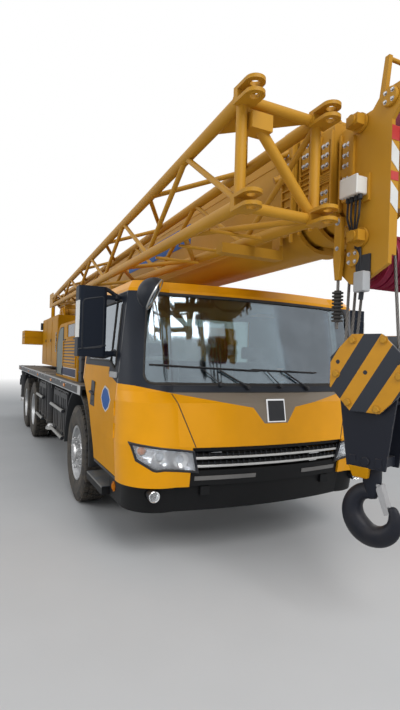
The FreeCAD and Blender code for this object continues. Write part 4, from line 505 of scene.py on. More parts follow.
@dataclass(frozen=True)
class Rubber:
    """Tyre rubber with dust between its blocks and on its sides."""

    name: str
    colour: Point = (0.022, 0.021, 0.021)
    dust: float = 0.45

    def material(self) -> bpy.types.Material:
        """Builds the rubber."""
        recipe = Recipe(self.name)
        place = recipe.place()
        cloud = recipe.noise(place, 11.0, 5.0, 0.7)
        fine = recipe.noise(place, 160.0, 3.0)
        dust = (recipe.ramp(cloud, (0.38, 0.0), (0.75, 1.0)) * self.dust).clamp()
        return recipe.surface(
            base_color=recipe.blend(dust, self.colour, shade(DUST, 0.62)),
            roughness=(0.72 + dust * 0.2 + fine * 0.08).clamp(),
            normal=recipe.bump(fine, 0.15, 0.0012),
        )


@dataclass(frozen=True)
class Pane:
    """Safety glass, lightly tinted, with a little dust and a painted sky reflection."""

    name: str
    tint: Point = (0.70, 0.78, 0.78)
    dust: float = 0.06
    mirror: float = 0.16
    # sky tints what the glass reflects, so the white world shows in it as blue sky: a painted
    # reflection.
    sky: Point = (0.62, 0.70, 0.78)

    def material(self) -> bpy.types.Material:
        """Builds the glass."""
        recipe = Recipe(self.name)
        place = recipe.place()
        smear = recipe.ramp(recipe.noise(place, 3.2, 6.0, 0.7), (0.45, 0.0), (0.8, 1.0))
        clear = recipe.node("ShaderNodeBsdfTransparent", inputs={"Color": (*self.tint, 1.0)})
        # The reflecting part takes the sky colour: painted sky reflection.
        gloss = recipe.node(
            "ShaderNodeBsdfPrincipled",
            inputs={
                "Base Color": (*self.sky, 1.0),
                "Metallic": 1.0,
                "Roughness": (0.02 + smear * 0.12).clamp(),
            },
        )
        fresnel = recipe.node("ShaderNodeFresnel", inputs={"IOR": 1.55})
        share = (fresnel * 1.2 + self.mirror + smear * self.dust).clamp()
        mixed = recipe.node("ShaderNodeMixShader", inputs={0: share, 1: clear, 2: gloss})
        recipe.node("ShaderNodeOutputMaterial", inputs={"Surface": mixed})
        return recipe.material


@dataclass(frozen=True)
class Lens:
    """Clear or coloured lamp plastic, ribbed inside."""

    name: str
    colour: Point = (0.93, 0.94, 0.95)
    transmission: float = 0.85
    ribs: float = 220.0
    rib_bump: float = 0.12

    def material(self) -> bpy.types.Material:
        """Builds the lens."""
        recipe = Recipe(self.name)
        place = recipe.place()
        across = recipe.split(place)[1]
        rib = (across * self.ribs).maths("SINE") * 0.5 + 0.5
        haze = recipe.noise(place, 30.0, 4.0)
        return recipe.surface(
            base_color=recipe.blend(haze, shade(self.colour, 0.93), self.colour),
            transmission_weight=self.transmission,
            ior=1.12,
            roughness=(0.03 + haze * 0.08).clamp(),
            normal=recipe.bump(rib, self.rib_bump, 0.001),
        )


@dataclass(frozen=True)
class Cloth:
    """Woven seat cloth."""

    name: str
    colour: Point
    pitch: float = 700.0

    def material(self) -> bpy.types.Material:
        """Builds the cloth."""
        recipe = Recipe(self.name)
        place = recipe.place()
        x, y, z = recipe.split(place)
        warp = ((x + z) * self.pitch).maths("SINE")
        weft = ((y + z) * self.pitch).maths("SINE")
        weave = (warp * weft) * 0.5 + 0.5
        cloud = recipe.noise(place, 12.0, 4.0)
        return recipe.surface(
            base_color=recipe.blend((weave * 0.5 + cloud * 0.5).clamp(), shade(self.colour, 0.6),
                                    shade(self.colour, 1.3)),
            roughness=(0.85 + cloud * 0.1).clamp(),
            sheen_weight=0.3,
            normal=recipe.bump(weave, 0.35, 0.001),
        )


@dataclass(frozen=True)
class Chequer:
    """Chequered steel floor plate under worn dark paint."""

    name: str
    colour: Point
    pitch: float = 0.045

    def material(self) -> bpy.types.Material:
        """Builds the plate."""
        recipe = Recipe(self.name)
        place = recipe.place()
        x, y, _ = recipe.split(place)
        turn = math.pi / self.pitch
        first = ((x + y) * turn).maths("SINE")
        second = ((x - y) * turn).maths("SINE")
        bars = (first * second).maths("ABSOLUTE")
        raised = recipe.ramp(bars, (0.55, 0.0), (0.72, 1.0)) * recipe.upward()
        cloud = recipe.noise(place, 5.0, 6.0, 0.7)
        dust = (recipe.ramp(cloud, (0.3, 0.05), (0.75, 1.0)) * recipe.upward() * 0.7).clamp()
        worn = recipe.blend((raised * cloud * 0.8).clamp(), self.colour, (0.22, 0.22, 0.22))
        return recipe.surface(
            base_color=recipe.blend(dust, worn, DUST),
            roughness=(0.48 + dust * 0.4).clamp(),
            metallic=(raised * 0.3).clamp(),
            specular_ior_level=0.15,
            normal=recipe.bump(raised, 0.6, 0.004),
        )


@dataclass(frozen=True)
class Striped(Paint):
    """Warning stripes in two colours across a plate."""

    second: Point = (0.013, 0.017, 0.026)
    pitch: float = 0.30
    slope: float = 1.0
    along: Axis = Axis.X
    offset: float = 0.0

    def tint(self, recipe: Recipe, place: Link) -> Link:
        """Slanting stripes."""
        parts = recipe.split(place)
        run = parts[self.along.value] * self.slope - parts[2] + (self.offset + 20 * self.pitch)
        wave = (run / self.pitch).maths("FRACT")
        grime = recipe.noise(place, 9.0, 5.0)
        first = recipe.blend(grime, shade(self.colour, 0.8), shade(self.colour, 1.05))
        return recipe.blend(wave > 0.5, first, self.second)


@dataclass(frozen=True)
class WireRope:
    """Greased wire rope, its strands slanting round it."""

    name: str
    colour: Point = (0.16, 0.15, 0.14)
    lay: float = 0.06

    def material(self) -> bpy.types.Material:
        """Builds the rope's finish."""
        recipe = Recipe(self.name)
        place = recipe.place()
        x, y, z = recipe.split(place)
        strand = ((x * 2.0 + y * 2.0 + z + x) * (math.tau / self.lay * 2.0)).maths("SINE")
        strand = strand * 0.5 + 0.5
        grease = recipe.noise(place, 50.0, 4.0)
        return recipe.surface(
            base_color=recipe.blend((strand * 0.7 + grease * 0.3).clamp(),
                                    shade(self.colour, 0.35), shade(self.colour, 1.6)),
            metallic=(0.55 + strand * 0.3).clamp(),
            roughness=(0.42 + grease * 0.25).clamp(),
            normal=recipe.bump(strand, 0.5, 0.002),
        )


# The cab's yellow, a lighter copy of the crane's one yellow paint: painted light where light falls
# on the cab's front and roof.
LIT_YELLOW: Point = (0.86, 0.365, 0.0012)
DARK: Point = (0.018, 0.021, 0.028)


def cab_trim(recipe: Recipe, place: Link) -> Link:
    """Where the cab's shell is dark: round the windscreen and the side windows, and under the roof,
    where faces that look down take painted shade.
    """
    x, y, z = recipe.split(place)
    below_roof = z < 2.185
    behind = x > ahead(0.455)
    normal = recipe.node("ShaderNodeNewGeometry", output="Normal")
    # Faces under the roof that look down are painted dark: painted shade inside the cab.
    shade_under_roof = (recipe.split(normal)[2] < -0.4) * (abs(y) < 1.16) * (z > 2.0)
    return (below_roof * behind).either(shade_under_roof)


def door_trim(recipe: Recipe, place: Link) -> Link:
    """Where a door is dark: above its waist line, which drops to the front, and its mirror."""
    x, y, z = recipe.split(place)
    step = (x > ahead(1.42)) * 0.06
    slope = ((x - ahead(1.44)) * 0.24).maths("MAXIMUM", 0.0)
    over_waist = z > (1.555 - step - slope)
    outside = abs(y) > 1.262
    return over_waist.either(outside)


def badge_notch(recipe: Recipe, place: Link) -> Link:
    """Where the yellow front is brown-grey: the sloping notch beside the badge."""
    x, y, z = recipe.split(place)
    edge = (z - 1.135) * 0.75 + 0.115
    return (abs(y) < edge) * (z > 1.135) * (z < 1.30) * (x > ahead(1.9))


def guard_bars(recipe: Recipe, place: Link) -> Link:
    """Where the side boxes are pale: on the guard tubes outside them."""
    return abs(recipe.split(place)[1]) > 1.2


KINDS = {
    # The yellows below are one paint in lighter and darker copies: the cab's front and shell are a
    # lit copy (painted light), while the door, the boom and the other yellow parts are darker
    # copies (painted shade).
    "yellow": Paint("yellow_paint", (0.52, 0.235, 0.002), roughness=0.45, coat=0.0, dust=0.08,
                    gloss=0.08),
    "boom_yellow": Paint("boom_paint", (0.51, 0.250, 0.018), roughness=0.44, coat=0.0,
                         dust=0.15, wear=0.4, gloss=0.25),
    "cab_shell": ShellPaint("cab_shell_paint", LIT_YELLOW, roughness=0.32, coat=0.04,
                            mask=cab_trim, wear=0.0, dust=0.06, gloss=0.22),
    "cab_yellow": SplitPaint("cab_yellow_paint", LIT_YELLOW, roughness=0.28, coat=0.06, dust=0.05,
                             wear=0.0, gloss=0.2, mask=badge_notch,
                             second=SILL_BROWN),
    "door": SplitPaint("door_paint", (0.70, 0.30, 0.001), roughness=0.40, coat=0.0,
                       mask=door_trim, wear=0.0, dust=0.04, gloss=0.06),
    "dark": Paint("dark_paint", DARK, roughness=0.38, coat=0.0, dust=0.06, wear=0.1,
                  gloss=0.2),
    "chassis": Paint("chassis_paint", (0.028, 0.029, 0.032), roughness=0.5, coat=0.0,
                     dust=0.6),
    "grey": Paint("grey_paint", (0.13, 0.14, 0.155), roughness=0.45, coat=0.1),
    "pale_grey": Paint("pale_grey_paint", (0.42, 0.43, 0.44), roughness=0.5, coat=0.05),
    "white": Paint("white_paint", (0.70, 0.70, 0.67), roughness=0.4, coat=0.2),
    "red": Paint("red_paint", (0.50, 0.035, 0.03), roughness=0.4, wear=0.5),
    "magenta": Paint("sheave_nylon", (0.30, 0.01, 0.05), roughness=0.45, coat=0.1,
                     wear=0.0),
    "blue": Paint("blue_paint", (0.012, 0.10, 0.36), roughness=0.4, coat=0.0, dust=0.05,
                  gloss=0.1),
    "navy": Paint("navy_paint", (0.012, 0.020, 0.06), roughness=0.4, coat=0.0, dust=0.05,
                  gloss=0.06),
    "trim": Plastic("grey_trim", (0.16, 0.155, 0.15), 0.42),
    "black_plastic": Plastic("black_plastic", (0.020, 0.022, 0.027), 0.45),
    "grain_plastic": Plastic("grained_plastic", (0.045, 0.045, 0.05), 0.6, 500.0),
    "liner": Plastic("cab_liner", (0.30, 0.29, 0.27), 0.7, 300.0),
    "bumper": Plastic("bumper_plastic", (0.007, 0.0073, 0.008), 0.48, 500.0, 0.06, 0.2),
    "step": Chequer("step_plate", (0.07, 0.10, 0.14)),
    "chrome": Metal("chrome", (0.78, 0.79, 0.80), 0.06, bump=0.01),
    "satin": Metal("satin_metal", (0.50, 0.50, 0.49), 0.28, bump=0.02),
    "reflector": Metal("lamp_reflector", (0.72, 0.74, 0.78), 0.16, (9.0, 55.0, 9.0),
                       bump=0.25),
    "bulb": Lens("bulb_glass", (0.75, 0.80, 0.86), 0.25, 60.0, 0.02),
    "white_lens": Lens("white_lens", (0.85, 0.86, 0.87), 0.3),
    "polished": Metal("polished_steel", (0.66, 0.66, 0.66), 0.18, bump=0.03),
    "wheel": Metal("wheel_silver", (0.60, 0.61, 0.62), 0.28, rust=0.12, bump=0.03),
    "steel": Metal("machined_steel", (0.45, 0.45, 0.46), 0.32, rust=0.15),
    "cast": Paint("cast_iron_paint", (0.045, 0.045, 0.048), roughness=0.6, coat=0.0,
                  dust=0.5),
    "hook": Paint("hook_paint", (0.012, 0.014, 0.022), roughness=0.42, coat=0.0,
                  dust=0.12, wear=0.5, gloss=0.2),
    "tyre": Rubber("tyre_rubber"),
    "seal": Rubber("rubber_seal", dust=0.12),
    "glass": Pane("cab_glass"),
    "lens": Lens("clear_lens"),
    "amber": Lens("amber_lens", (0.95, 0.30, 0.02), 0.35),
    "red_lens": Lens("red_lens", (0.75, 0.02, 0.02), 0.3),
    "mirror": Metal("mirror_glass", (0.86, 0.87, 0.88), 0.02, bump=0.0),
    "seat": Cloth("seat_cloth", (0.055, 0.057, 0.065)),
    "chequer": Chequer("chequer_plate", (0.050, 0.052, 0.055)),
    "hazard": Striped("hazard_stripes", (0.62, 0.28, 0.005), roughness=0.42, coat=0.05,
                      dust=0.15, pitch=0.333, slope=1.66, offset=0.25, wear=0.5),
    "outrigger": Paint("outrigger_paint", (0.024, 0.025, 0.028), roughness=0.45, coat=0.0,
                       dust=0.4, wear=0.3),
    "boxes": SplitPaint("box_paint", (0.020, 0.021, 0.024), roughness=0.5, coat=0.0,
                        mask=guard_bars, second=(0.34, 0.34, 0.33), dust=0.4),
    "panel_green": Paint("hood_panel", (0.11, 0.135, 0.115), roughness=0.35, coat=0.0,
                         dust=0.1, wear=0.0, gloss=0.08),
    "hood_window": Paint("hood_window", (0.06, 0.075, 0.11), roughness=0.15, coat=0.1,
                         dust=0.05, wear=0.0, gloss=0.12),
    "beacon": Lens("beacon_lens", (0.85, 0.09, 0.01), 0.25),
    "rope": WireRope("wire_rope"),
}


class Finishes:
    """Every finish of the crane, each built once."""

    def __init__(self) -> None:
        """Starts with none built."""
        self.built: dict[str, bpy.types.Material] = {}

    def __getitem__(self, name: str) -> bpy.types.Material:
        """The named finish, built when it is first asked for."""
        if name not in self.built:
            self.built[name] = KINDS[name].material()
        return self.built[name]


# --- mesh building


class Stock:
    """Mesh work in progress: forms are added to it and it ends as one piece."""

    def __init__(self) -> None:
        """Starts empty."""
        self.work = bmesh.new()

    def loops(self, rings: Sequence[Sequence[Vector]], closed: bool, capped: bool) -> "Stock":
        """Joins rings of points by faces.

        Args:
            rings: Rings of as many points each.
            closed: Whether the last ring joins the first.
            capped: Whether the end rings are filled.

        Returns:
            This stock.
        """
        made = [[self.work.verts.new(point) for point in ring] for ring in rings]
        pairs = list(zip(made, made[1:]))
        if closed:
            pairs.append((made[-1], made[0]))
        for low, high in pairs:
            count = len(low)
            for i in range(count):
                j = (i + 1) % count
                self.work.faces.new((low[i], low[j], high[j], high[i]))
        if capped:
            self.work.faces.new(list(reversed(made[0])))
            self.work.faces.new(made[-1])
        return self

    def box(self, low: Point, high: Point, turn: Matrix | None = None) -> "Stock":
        """Adds a box between two corners, turned about its middle if asked."""
        corners = [
            Vector((x, y, z)) for z in (low[2], high[2])
            for x, y in ((low[0], low[1]), (high[0], low[1]), (high[0], high[1]),
                         (low[0], high[1]))
        ]
        if turn is not None:
            middle = (Vector(low) + Vector(high)) / 2
            corners = [middle + turn @ (corner - middle) for corner in corners]
        return self.loops((corners[:4], corners[4:]), False, True)

    def lathe(
        self, profile: Sequence[Flat], axis: Vector, centre: Vector, steps: int = 32
    ) -> "Stock":
        """Turns a closed profile about an axis.

        Args:
            profile: Radius and station along the axis of each corner.
            axis: The axis.
            centre: The point where the station is 0.
            steps: Copies round the axis.

        Returns:
            This stock.
        """
        axis = axis.normalized()
        across = axis.orthogonal().normalized()
        beside = axis.cross(across)
        rings = []
        for i in range(steps):
            angle = math.tau * i / steps
            out = across * math.cos(angle) + beside * math.sin(angle)
            rings.append([centre + out * radius + axis * along for radius, along in profile])
        return self.loops(rings, True, False)

    def disc(self, radius: float, low: float, high: float, axis: Vector, centre: Vector,
             steps: int = 24, edge: float = 0.0) -> "Stock":
        """Adds a plain round bar or disc with a small edge."""
        profile = [(POLE, low), (radius - edge, low), (radius, low + edge),
                   (radius, high - edge), (radius - edge, high), (POLE, high)]
        return self.lathe(profile, axis, centre, steps)

    def ring(self, inner: float, outer: float, low: float, high: float, axis: Vector,
             centre: Vector, steps: int = 32) -> "Stock":
        """Adds a plain ring of two radii between two stations along its axis."""
        profile = ((inner, low), (outer, low), (outer, high), (inner, high))
        return self.lathe(profile, axis, centre, steps)

    def shell(self, grid: Sequence[Sequence[Vector]], offset: Vector) -> "Stock":
        """Adds a sheet laid through rows of points.

        Args:
            grid: Rows of as many points each, on the sheet's outer face.
            offset: From the outer face to the inner one.

        Returns:
            This stock.
        """
        rows, columns = len(grid), len(grid[0])
        outer = [[self.work.verts.new(point) for point in row] for row in grid]
        inner = [[self.work.verts.new(point + offset) for point in row] for row in grid]
        for i in range(rows - 1):
            for j in range(columns - 1):
                for face in (outer, inner):
                    self.work.faces.new((face[i][j], face[i][j + 1], face[i + 1][j + 1],
                                         face[i + 1][j]))
        for low, high in zip(rim_of(outer), rim_of(outer)[1:] + rim_of(outer)[:1]):
            (a, b), (c, d) = low, high
            self.work.faces.new((outer[a][b], outer[c][d], inner[c][d], inner[a][b]))
        return self

    def prism(self, outline: Sequence[Flat], across: Axis, low: float, high: float) -> "Stock":
        """Pads an outline along an axis.

        Args:
            outline: Corners in the two other axes, in the order X, Y, Z.
            across: The axis of the padding.
            low: Where the padding starts.
            high: Where it ends.

        Returns:
            This stock.
        """
        def point(u: float, v: float, w: float) -> Vector:
            """The corner u, v at a station along the axis."""
            return Vector({Axis.X: (w, u, v), Axis.Y: (u, w, v), Axis.Z: (u, v, w)}[across])

        rings = [[point(u, v, w) for u, v in outline] for w in (low, high)]
        return self.loops(rings, False, True)

    def tube(self, path: Sequence[Point | Vector], radius: float, sides: int = 10,
             corner: float = 0.0) -> "Stock":
        """Sweeps a round section along a path.

        Args:
            path: The path's points.
            radius: The tube's radius.
            sides: Faces round the tube.
            corner: Radius of the path's bends, 0 for sharp ones.

        Returns:
            This stock.
        """
        points = bent([Vector(point) for point in path], corner)
        runs = [(b - a).normalized() for a, b in zip(points, points[1:])]
        across = runs[0].orthogonal().normalized()
        rings = []
        for i, point in enumerate(points):
            before = runs[max(i - 1, 0)]
            after = runs[min(i, len(runs) - 1)]
            along = (before + after).normalized()
            if i:
                across = before.rotation_difference(after) @ across if i < len(runs) else across
            flat = (across - along * across.dot(along)).normalized()
            beside = along.cross(flat)
            stretch = 1 / max(0.4, math.cos(before.angle(after) / 2))
            ring = []
            for k in range(sides):
                angle = math.tau * k / sides
                ring.append(
                    point + (flat * math.cos(angle) + beside * math.sin(angle)) * radius * stretch
                )
            rings.append(ring)
        return self.loops(rings, False, True)

    def bolt(self, centre: Vector, axis: Vector, width: float = 0.024,
             height: float = 0.012) -> "Stock":
        """Adds a washer and a hexagon head that stands on it."""
        axis = axis.normalized()
        self.disc(width * 0.78, 0.0, height * 0.22, axis, centre, 16)
        across = axis.orthogonal().normalized()
        beside = axis.cross(across)
        rings = []
        for size, along in ((0.5, 0.1), (0.5, 0.85), (0.42, 1.0)):
            rings.append([
                centre + axis * height * along
                + (across * math.cos(math.tau * k / 6) + beside * math.sin(math.tau * k / 6))
                * width * size * 1.15
                for k in range(6)
            ])
        return self.loops(rings, False, True)

    def dome(self, centre: Vector, axis: Vector, radius: float, height: float,
             steps: int = 20) -> "Stock":
        """Adds a shallow round cap."""
        profile = [(POLE, 0.0), (radius, 0.0)]
        for i in range(1, 5):
            angle = math.pi / 2 * i / 5
            profile.append((radius * math.cos(angle), height * math.sin(angle)))
        profile.append((POLE, height))
        return self.lathe(profile, axis, centre, steps)


def rim_of(grid: Sequence[Sequence[object]]) -> list[tuple[int, int]]:
    """The row and column of each point round a grid's rim, in order."""
    last_row, last_column = len(grid) - 1, len(grid[0]) - 1
    rim = [(0, j) for j in range(last_column)]
    rim += [(i, last_column) for i in range(last_row)]
    rim += [(last_row, j) for j in range(last_column, 0, -1)]
    return rim + [(i, 0) for i in range(last_row, 0, -1)]


def spread(points: Sequence[Flat], count: int) -> list[Flat]:
    """Points spaced evenly along a line.

    Args:
        points: The line's corners.
        count: How many spaces it is divided into.

    Returns:
        One point more than the spaces.
    """
    reach = [0.0]
    for (u0, v0), (u1, v1) in zip(points, points[1:]):
        reach.append(reach[-1] + math.hypot(u1 - u0, v1 - v0))
    found = []
    for k in range(count + 1):
        wanted = reach[-1] * k / count
        i = max(j for j in range(len(points) - 1) if reach[j] <= wanted + 1e-9)
        span = reach[i + 1] - reach[i]
        t = (wanted - reach[i]) / span if span else 0.0
        (u0, v0), (u1, v1) = points[i], points[i + 1]
        found.append((u0 + (u1 - u0) * t, v0 + (v1 - v0) * t))
    return found


def bent(points: Sequence[Vector], radius: float) -> list[Vector]:
    """A path whose corners are rounded.

    Args:
        points: The path's corners.
        radius: The radius of its bends.

    Returns:
        The points of the rounded path.
    """
    if radius <= 0 or len(points) < 3:
        return list(points)
    path = [points[0]]
    for before, here, after in zip(points, points[1:], points[2:]):
        inward = (before - here).normalized()
        outward = (after - here).normalized()
        turn = math.pi - inward.angle(outward)
        if turn < 0.02:
            path.append(here)
            continue
        reach = min(radius * math.tan(turn / 2), (before - here).length * 0.45,
                    (after - here).length * 0.45)
        start = here + inward * reach
        end = here + outward * reach
        steps = max(3, int(turn / 0.2))
        for i in range(steps + 1):
            t = i / steps
            path.append((1 - t) ** 2 * start + 2 * t * (1 - t) * here + t * t * end)
    path.append(points[-1])
    return path


class Works:
    """Turns stock into dressed pieces that ride on the crane's bodies."""

    def __init__(self, frame: dict, finishes: Finishes) -> None:
        """Keeps what every piece needs.

        Args:
            finishes: The crane's finishes.
        """
        self.frame = frame
        self.finishes = finishes
        self.skins: dict[str, BVHTree] = {}

    def piece(
        self,
        name: str,
        stock: Stock,
        finish: str,
        body: str,
        bevel: float = 0.0,
        smooth: float = 32.0,
        slot: str | None = None,
        replaces: Sequence[str] = (),
    ) -> bpy.types.Object:
        """Makes one piece of the stock.

        Args:
            name: The piece's name.
            stock: Its mesh work.
            finish: Its finish.
            body: The body it rides on.
            bevel: Width of its broken edges.
            smooth: Angle in degrees under which faces shade as one.
            slot: A material slot of the record; not used.
            replaces: The nodes it stands for.

        Returns:
            The piece.
        """
        bmesh.ops.remove_doubles(stock.work, verts=stock.work.verts, dist=WELD)
        bmesh.ops.recalc_face_normals(stock.work, faces=stock.work.faces)
        mesh = bpy.data.meshes.new(name)
        stock.work.to_mesh(mesh)
        stock.work.free()
        return self.dress(name, mesh, finish, body, bevel, smooth, slot, replaces)

    def dress(
        self,
        name: str,
        mesh: bpy.types.Mesh,
        finish: str,
        body: str,
        bevel: float = 0.0,
        smooth: float = 32.0,
        slot: str | None = None,
        replaces: Sequence[str] = (),
    ) -> bpy.types.Object:
        """Makes a piece of a finished mesh, as piece does of stock."""
        piece = bpy.data.objects.new(name, mesh)
        bpy.context.scene.collection.objects.link(piece)
        mesh.materials.clear()
        mesh.materials.append(self.finishes[finish])
        mesh.shade_smooth()
        mesh.set_sharp_from_angle(angle=math.radians(smooth))
        if bevel > 0:
            rounding = piece.modifiers.new("edges", "BEVEL")
            rounding.width = bevel
            rounding.segments = 2
            rounding.limit_method = "ANGLE"
            rounding.angle_limit = math.radians(smooth)
            rounding.harden_normals = True
        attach(piece, body)
        if replaces:
            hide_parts(*replaces)
        LOG.info("%s rides on %s", name, body)
        return piece

    def paint(self, node: str, *finishes: str) -> None:
        """Gives a node of the frame its finish."""
        thing = self.frame["nodes"][node]
        thing.data.materials.clear()
        for finish in finishes:
            thing.data.materials.append(self.finishes[finish])

    def skin(self, node: str) -> BVHTree:
        """A node's surface, for setting trim on it."""
        if node not in self.skins:
            thing = self.frame["nodes"][node]
            thing.data.calc_loop_triangles()
            points = [vertex.co.copy() for vertex in thing.data.vertices]
            faces = [tuple(face.vertices) for face in thing.data.loop_triangles]
            self.skins[node] = BVHTree.FromPolygons(points, faces)
        return self.skins[node]

    def cast(self, nodes: Sequence[str], start: Point, aim: Point) -> tuple[Vector, Vector] | None:
        """Where a ray first meets any of the nodes.

        Args:
            nodes: The nodes that may be met.
            start: Where the ray starts.
            aim: Its direction.

        Returns:
            The point and the surface's normal there, or None.
        """
        best = None
        for node in nodes:
            point, normal, _, distance = self.skin(node).ray_cast(Vector(start), Vector(aim))
            if point is not None and (best is None or distance < best[2]):
                facing = normal if normal.dot(Vector(aim)) < 0 else -normal
                best = (point, facing, distance)
        return (best[0], best[1]) if best else None

    def front(self, y: float, z: float, lift: float = 0.0,
              nodes: Sequence[str] = ("cab_front", "cab_shell", "cab_glass", "bumper", "lamps"),
              ) -> tuple[Vector, Vector]:
        """The point of the cab's front at a side and height, lifted off it."""
        hit = self.cast(nodes, (ahead(4.0), y, z), (-1, 0, 0))
        if hit is None:
            return Vector((ahead(2.1), y, z)), FORWARD
        return hit[0] + hit[1] * lift, hit[1]

    def front_line(self, points: Iterable[Flat], lift: float, step: float = 0.03,
                   nodes: Sequence[str] = ("cab_front", "cab_shell", "cab_glass"),
                   ) -> list[Vector]:
        """A line of sides and heights laid on the cab's front."""
        path: list[Vector] = []
        corners = list(points)
        for (y0, z0), (y1, z1) in zip(corners, corners[1:]):
            count = max(1, int(math.hypot(y1 - y0, z1 - z0) / step))
            for i in range(count):
                t = i / count
                path.append(self.front(y0 + (y1 - y0) * t, z0 + (z1 - z0) * t, lift, nodes)[0])
        path.append(self.front(*corners[-1], lift, nodes)[0])
        return path

    def front_patch(self, top: Sequence[Flat], bottom: Sequence[Flat], columns: int = 24,
                    rows: int = 4, lift: float = 0.0,
                    nodes: Sequence[str] = ("cab_front", "cab_shell", "cab_glass"),
                    ) -> list[list[Vector]]:
        """Rows of points laid on the cab's front.

        Args:
            top: Sides and heights along the upper edge.
            bottom: Sides and heights along the lower edge.
            columns: Spaces along the edges.
            rows: Spaces between the edges.
            lift: How far the points stand off the surface.
            nodes: What they are laid on.

        Returns:
            The rows of points.
        """
        edges = list(zip(spread(top, columns), spread(bottom, columns)))
        grid = []
        for i in range(rows + 1):
            t = i / rows
            grid.append([
                self.front(y0 + (y1 - y0) * t, z0 + (z1 - z0) * t, lift, nodes)[0]
                for (y0, z0), (y1, z1) in edges
            ])
        return grid

    def side(self, x: float, z: float, side: Side, lift: float = 0.0,
             nodes: Sequence[str] | None = None) -> Vector:
        """The point of the cab's side at a station and height, lifted off it."""
        sign = side.value
        nodes = nodes or (f"door_{side.word}", f"door_glass_{side.word}", "cab_shell", "cab_front")
        hit = self.cast(nodes, (x, sign * 1.262, z), (0, -sign, 0))
        if hit is None:
            return Vector((x, sign * (1.25 + lift), z))
        return hit[0] + hit[1] * lift


@dataclass
class Assembly:
    """A group of pieces that is built and dressed together."""

    works: Works

    def build(self) -> None:
        """Builds and dresses every piece."""
        raise NotImplementedError

    def paint_all(self, finishes: dict[str, str]) -> None:
        """Gives nodes of the frame their finishes."""
        for node, finish in finishes.items():
            self.works.paint(node, finish)

    def riding(self, body: str, word: str = "") -> Callable[..., bpy.types.Object]:
        """What adds pieces to one body.

        Args:
            body: The body that they ride on.
            word: The side that ends their names, or nothing.

        Returns:
            A function that takes a piece's name, stock, finish and settings.
        """
        def add(name: str, stock: Stock, finish: str, **settings: object) -> bpy.types.Object:
            """Makes one piece that rides on the body."""
            full = f"{name}_{word}" if word else name
            return self.works.piece(full, stock, finish, body, **settings)

        return add

    def add_cushions(self, rows: Sequence[tuple], body: str, replaces: Sequence[str]) -> None:
        """Adds the padded parts of a seat.

        Args:
            rows: Each part's name, lowest and highest corner, crown, soft axis and channels.
            body: The body that the seat rides on.
            replaces: The nodes that its first part stands for.
        """
        for name, low, high, crown, soft_axis, channels in rows:
            mesh = crowned(name, low, high, crown, soft_axis, channels)
            piece = self.works.dress(name, mesh, "seat", body, smooth=60, slot="seat_fabric",
                                     replaces=replaces)
            replaces = ()


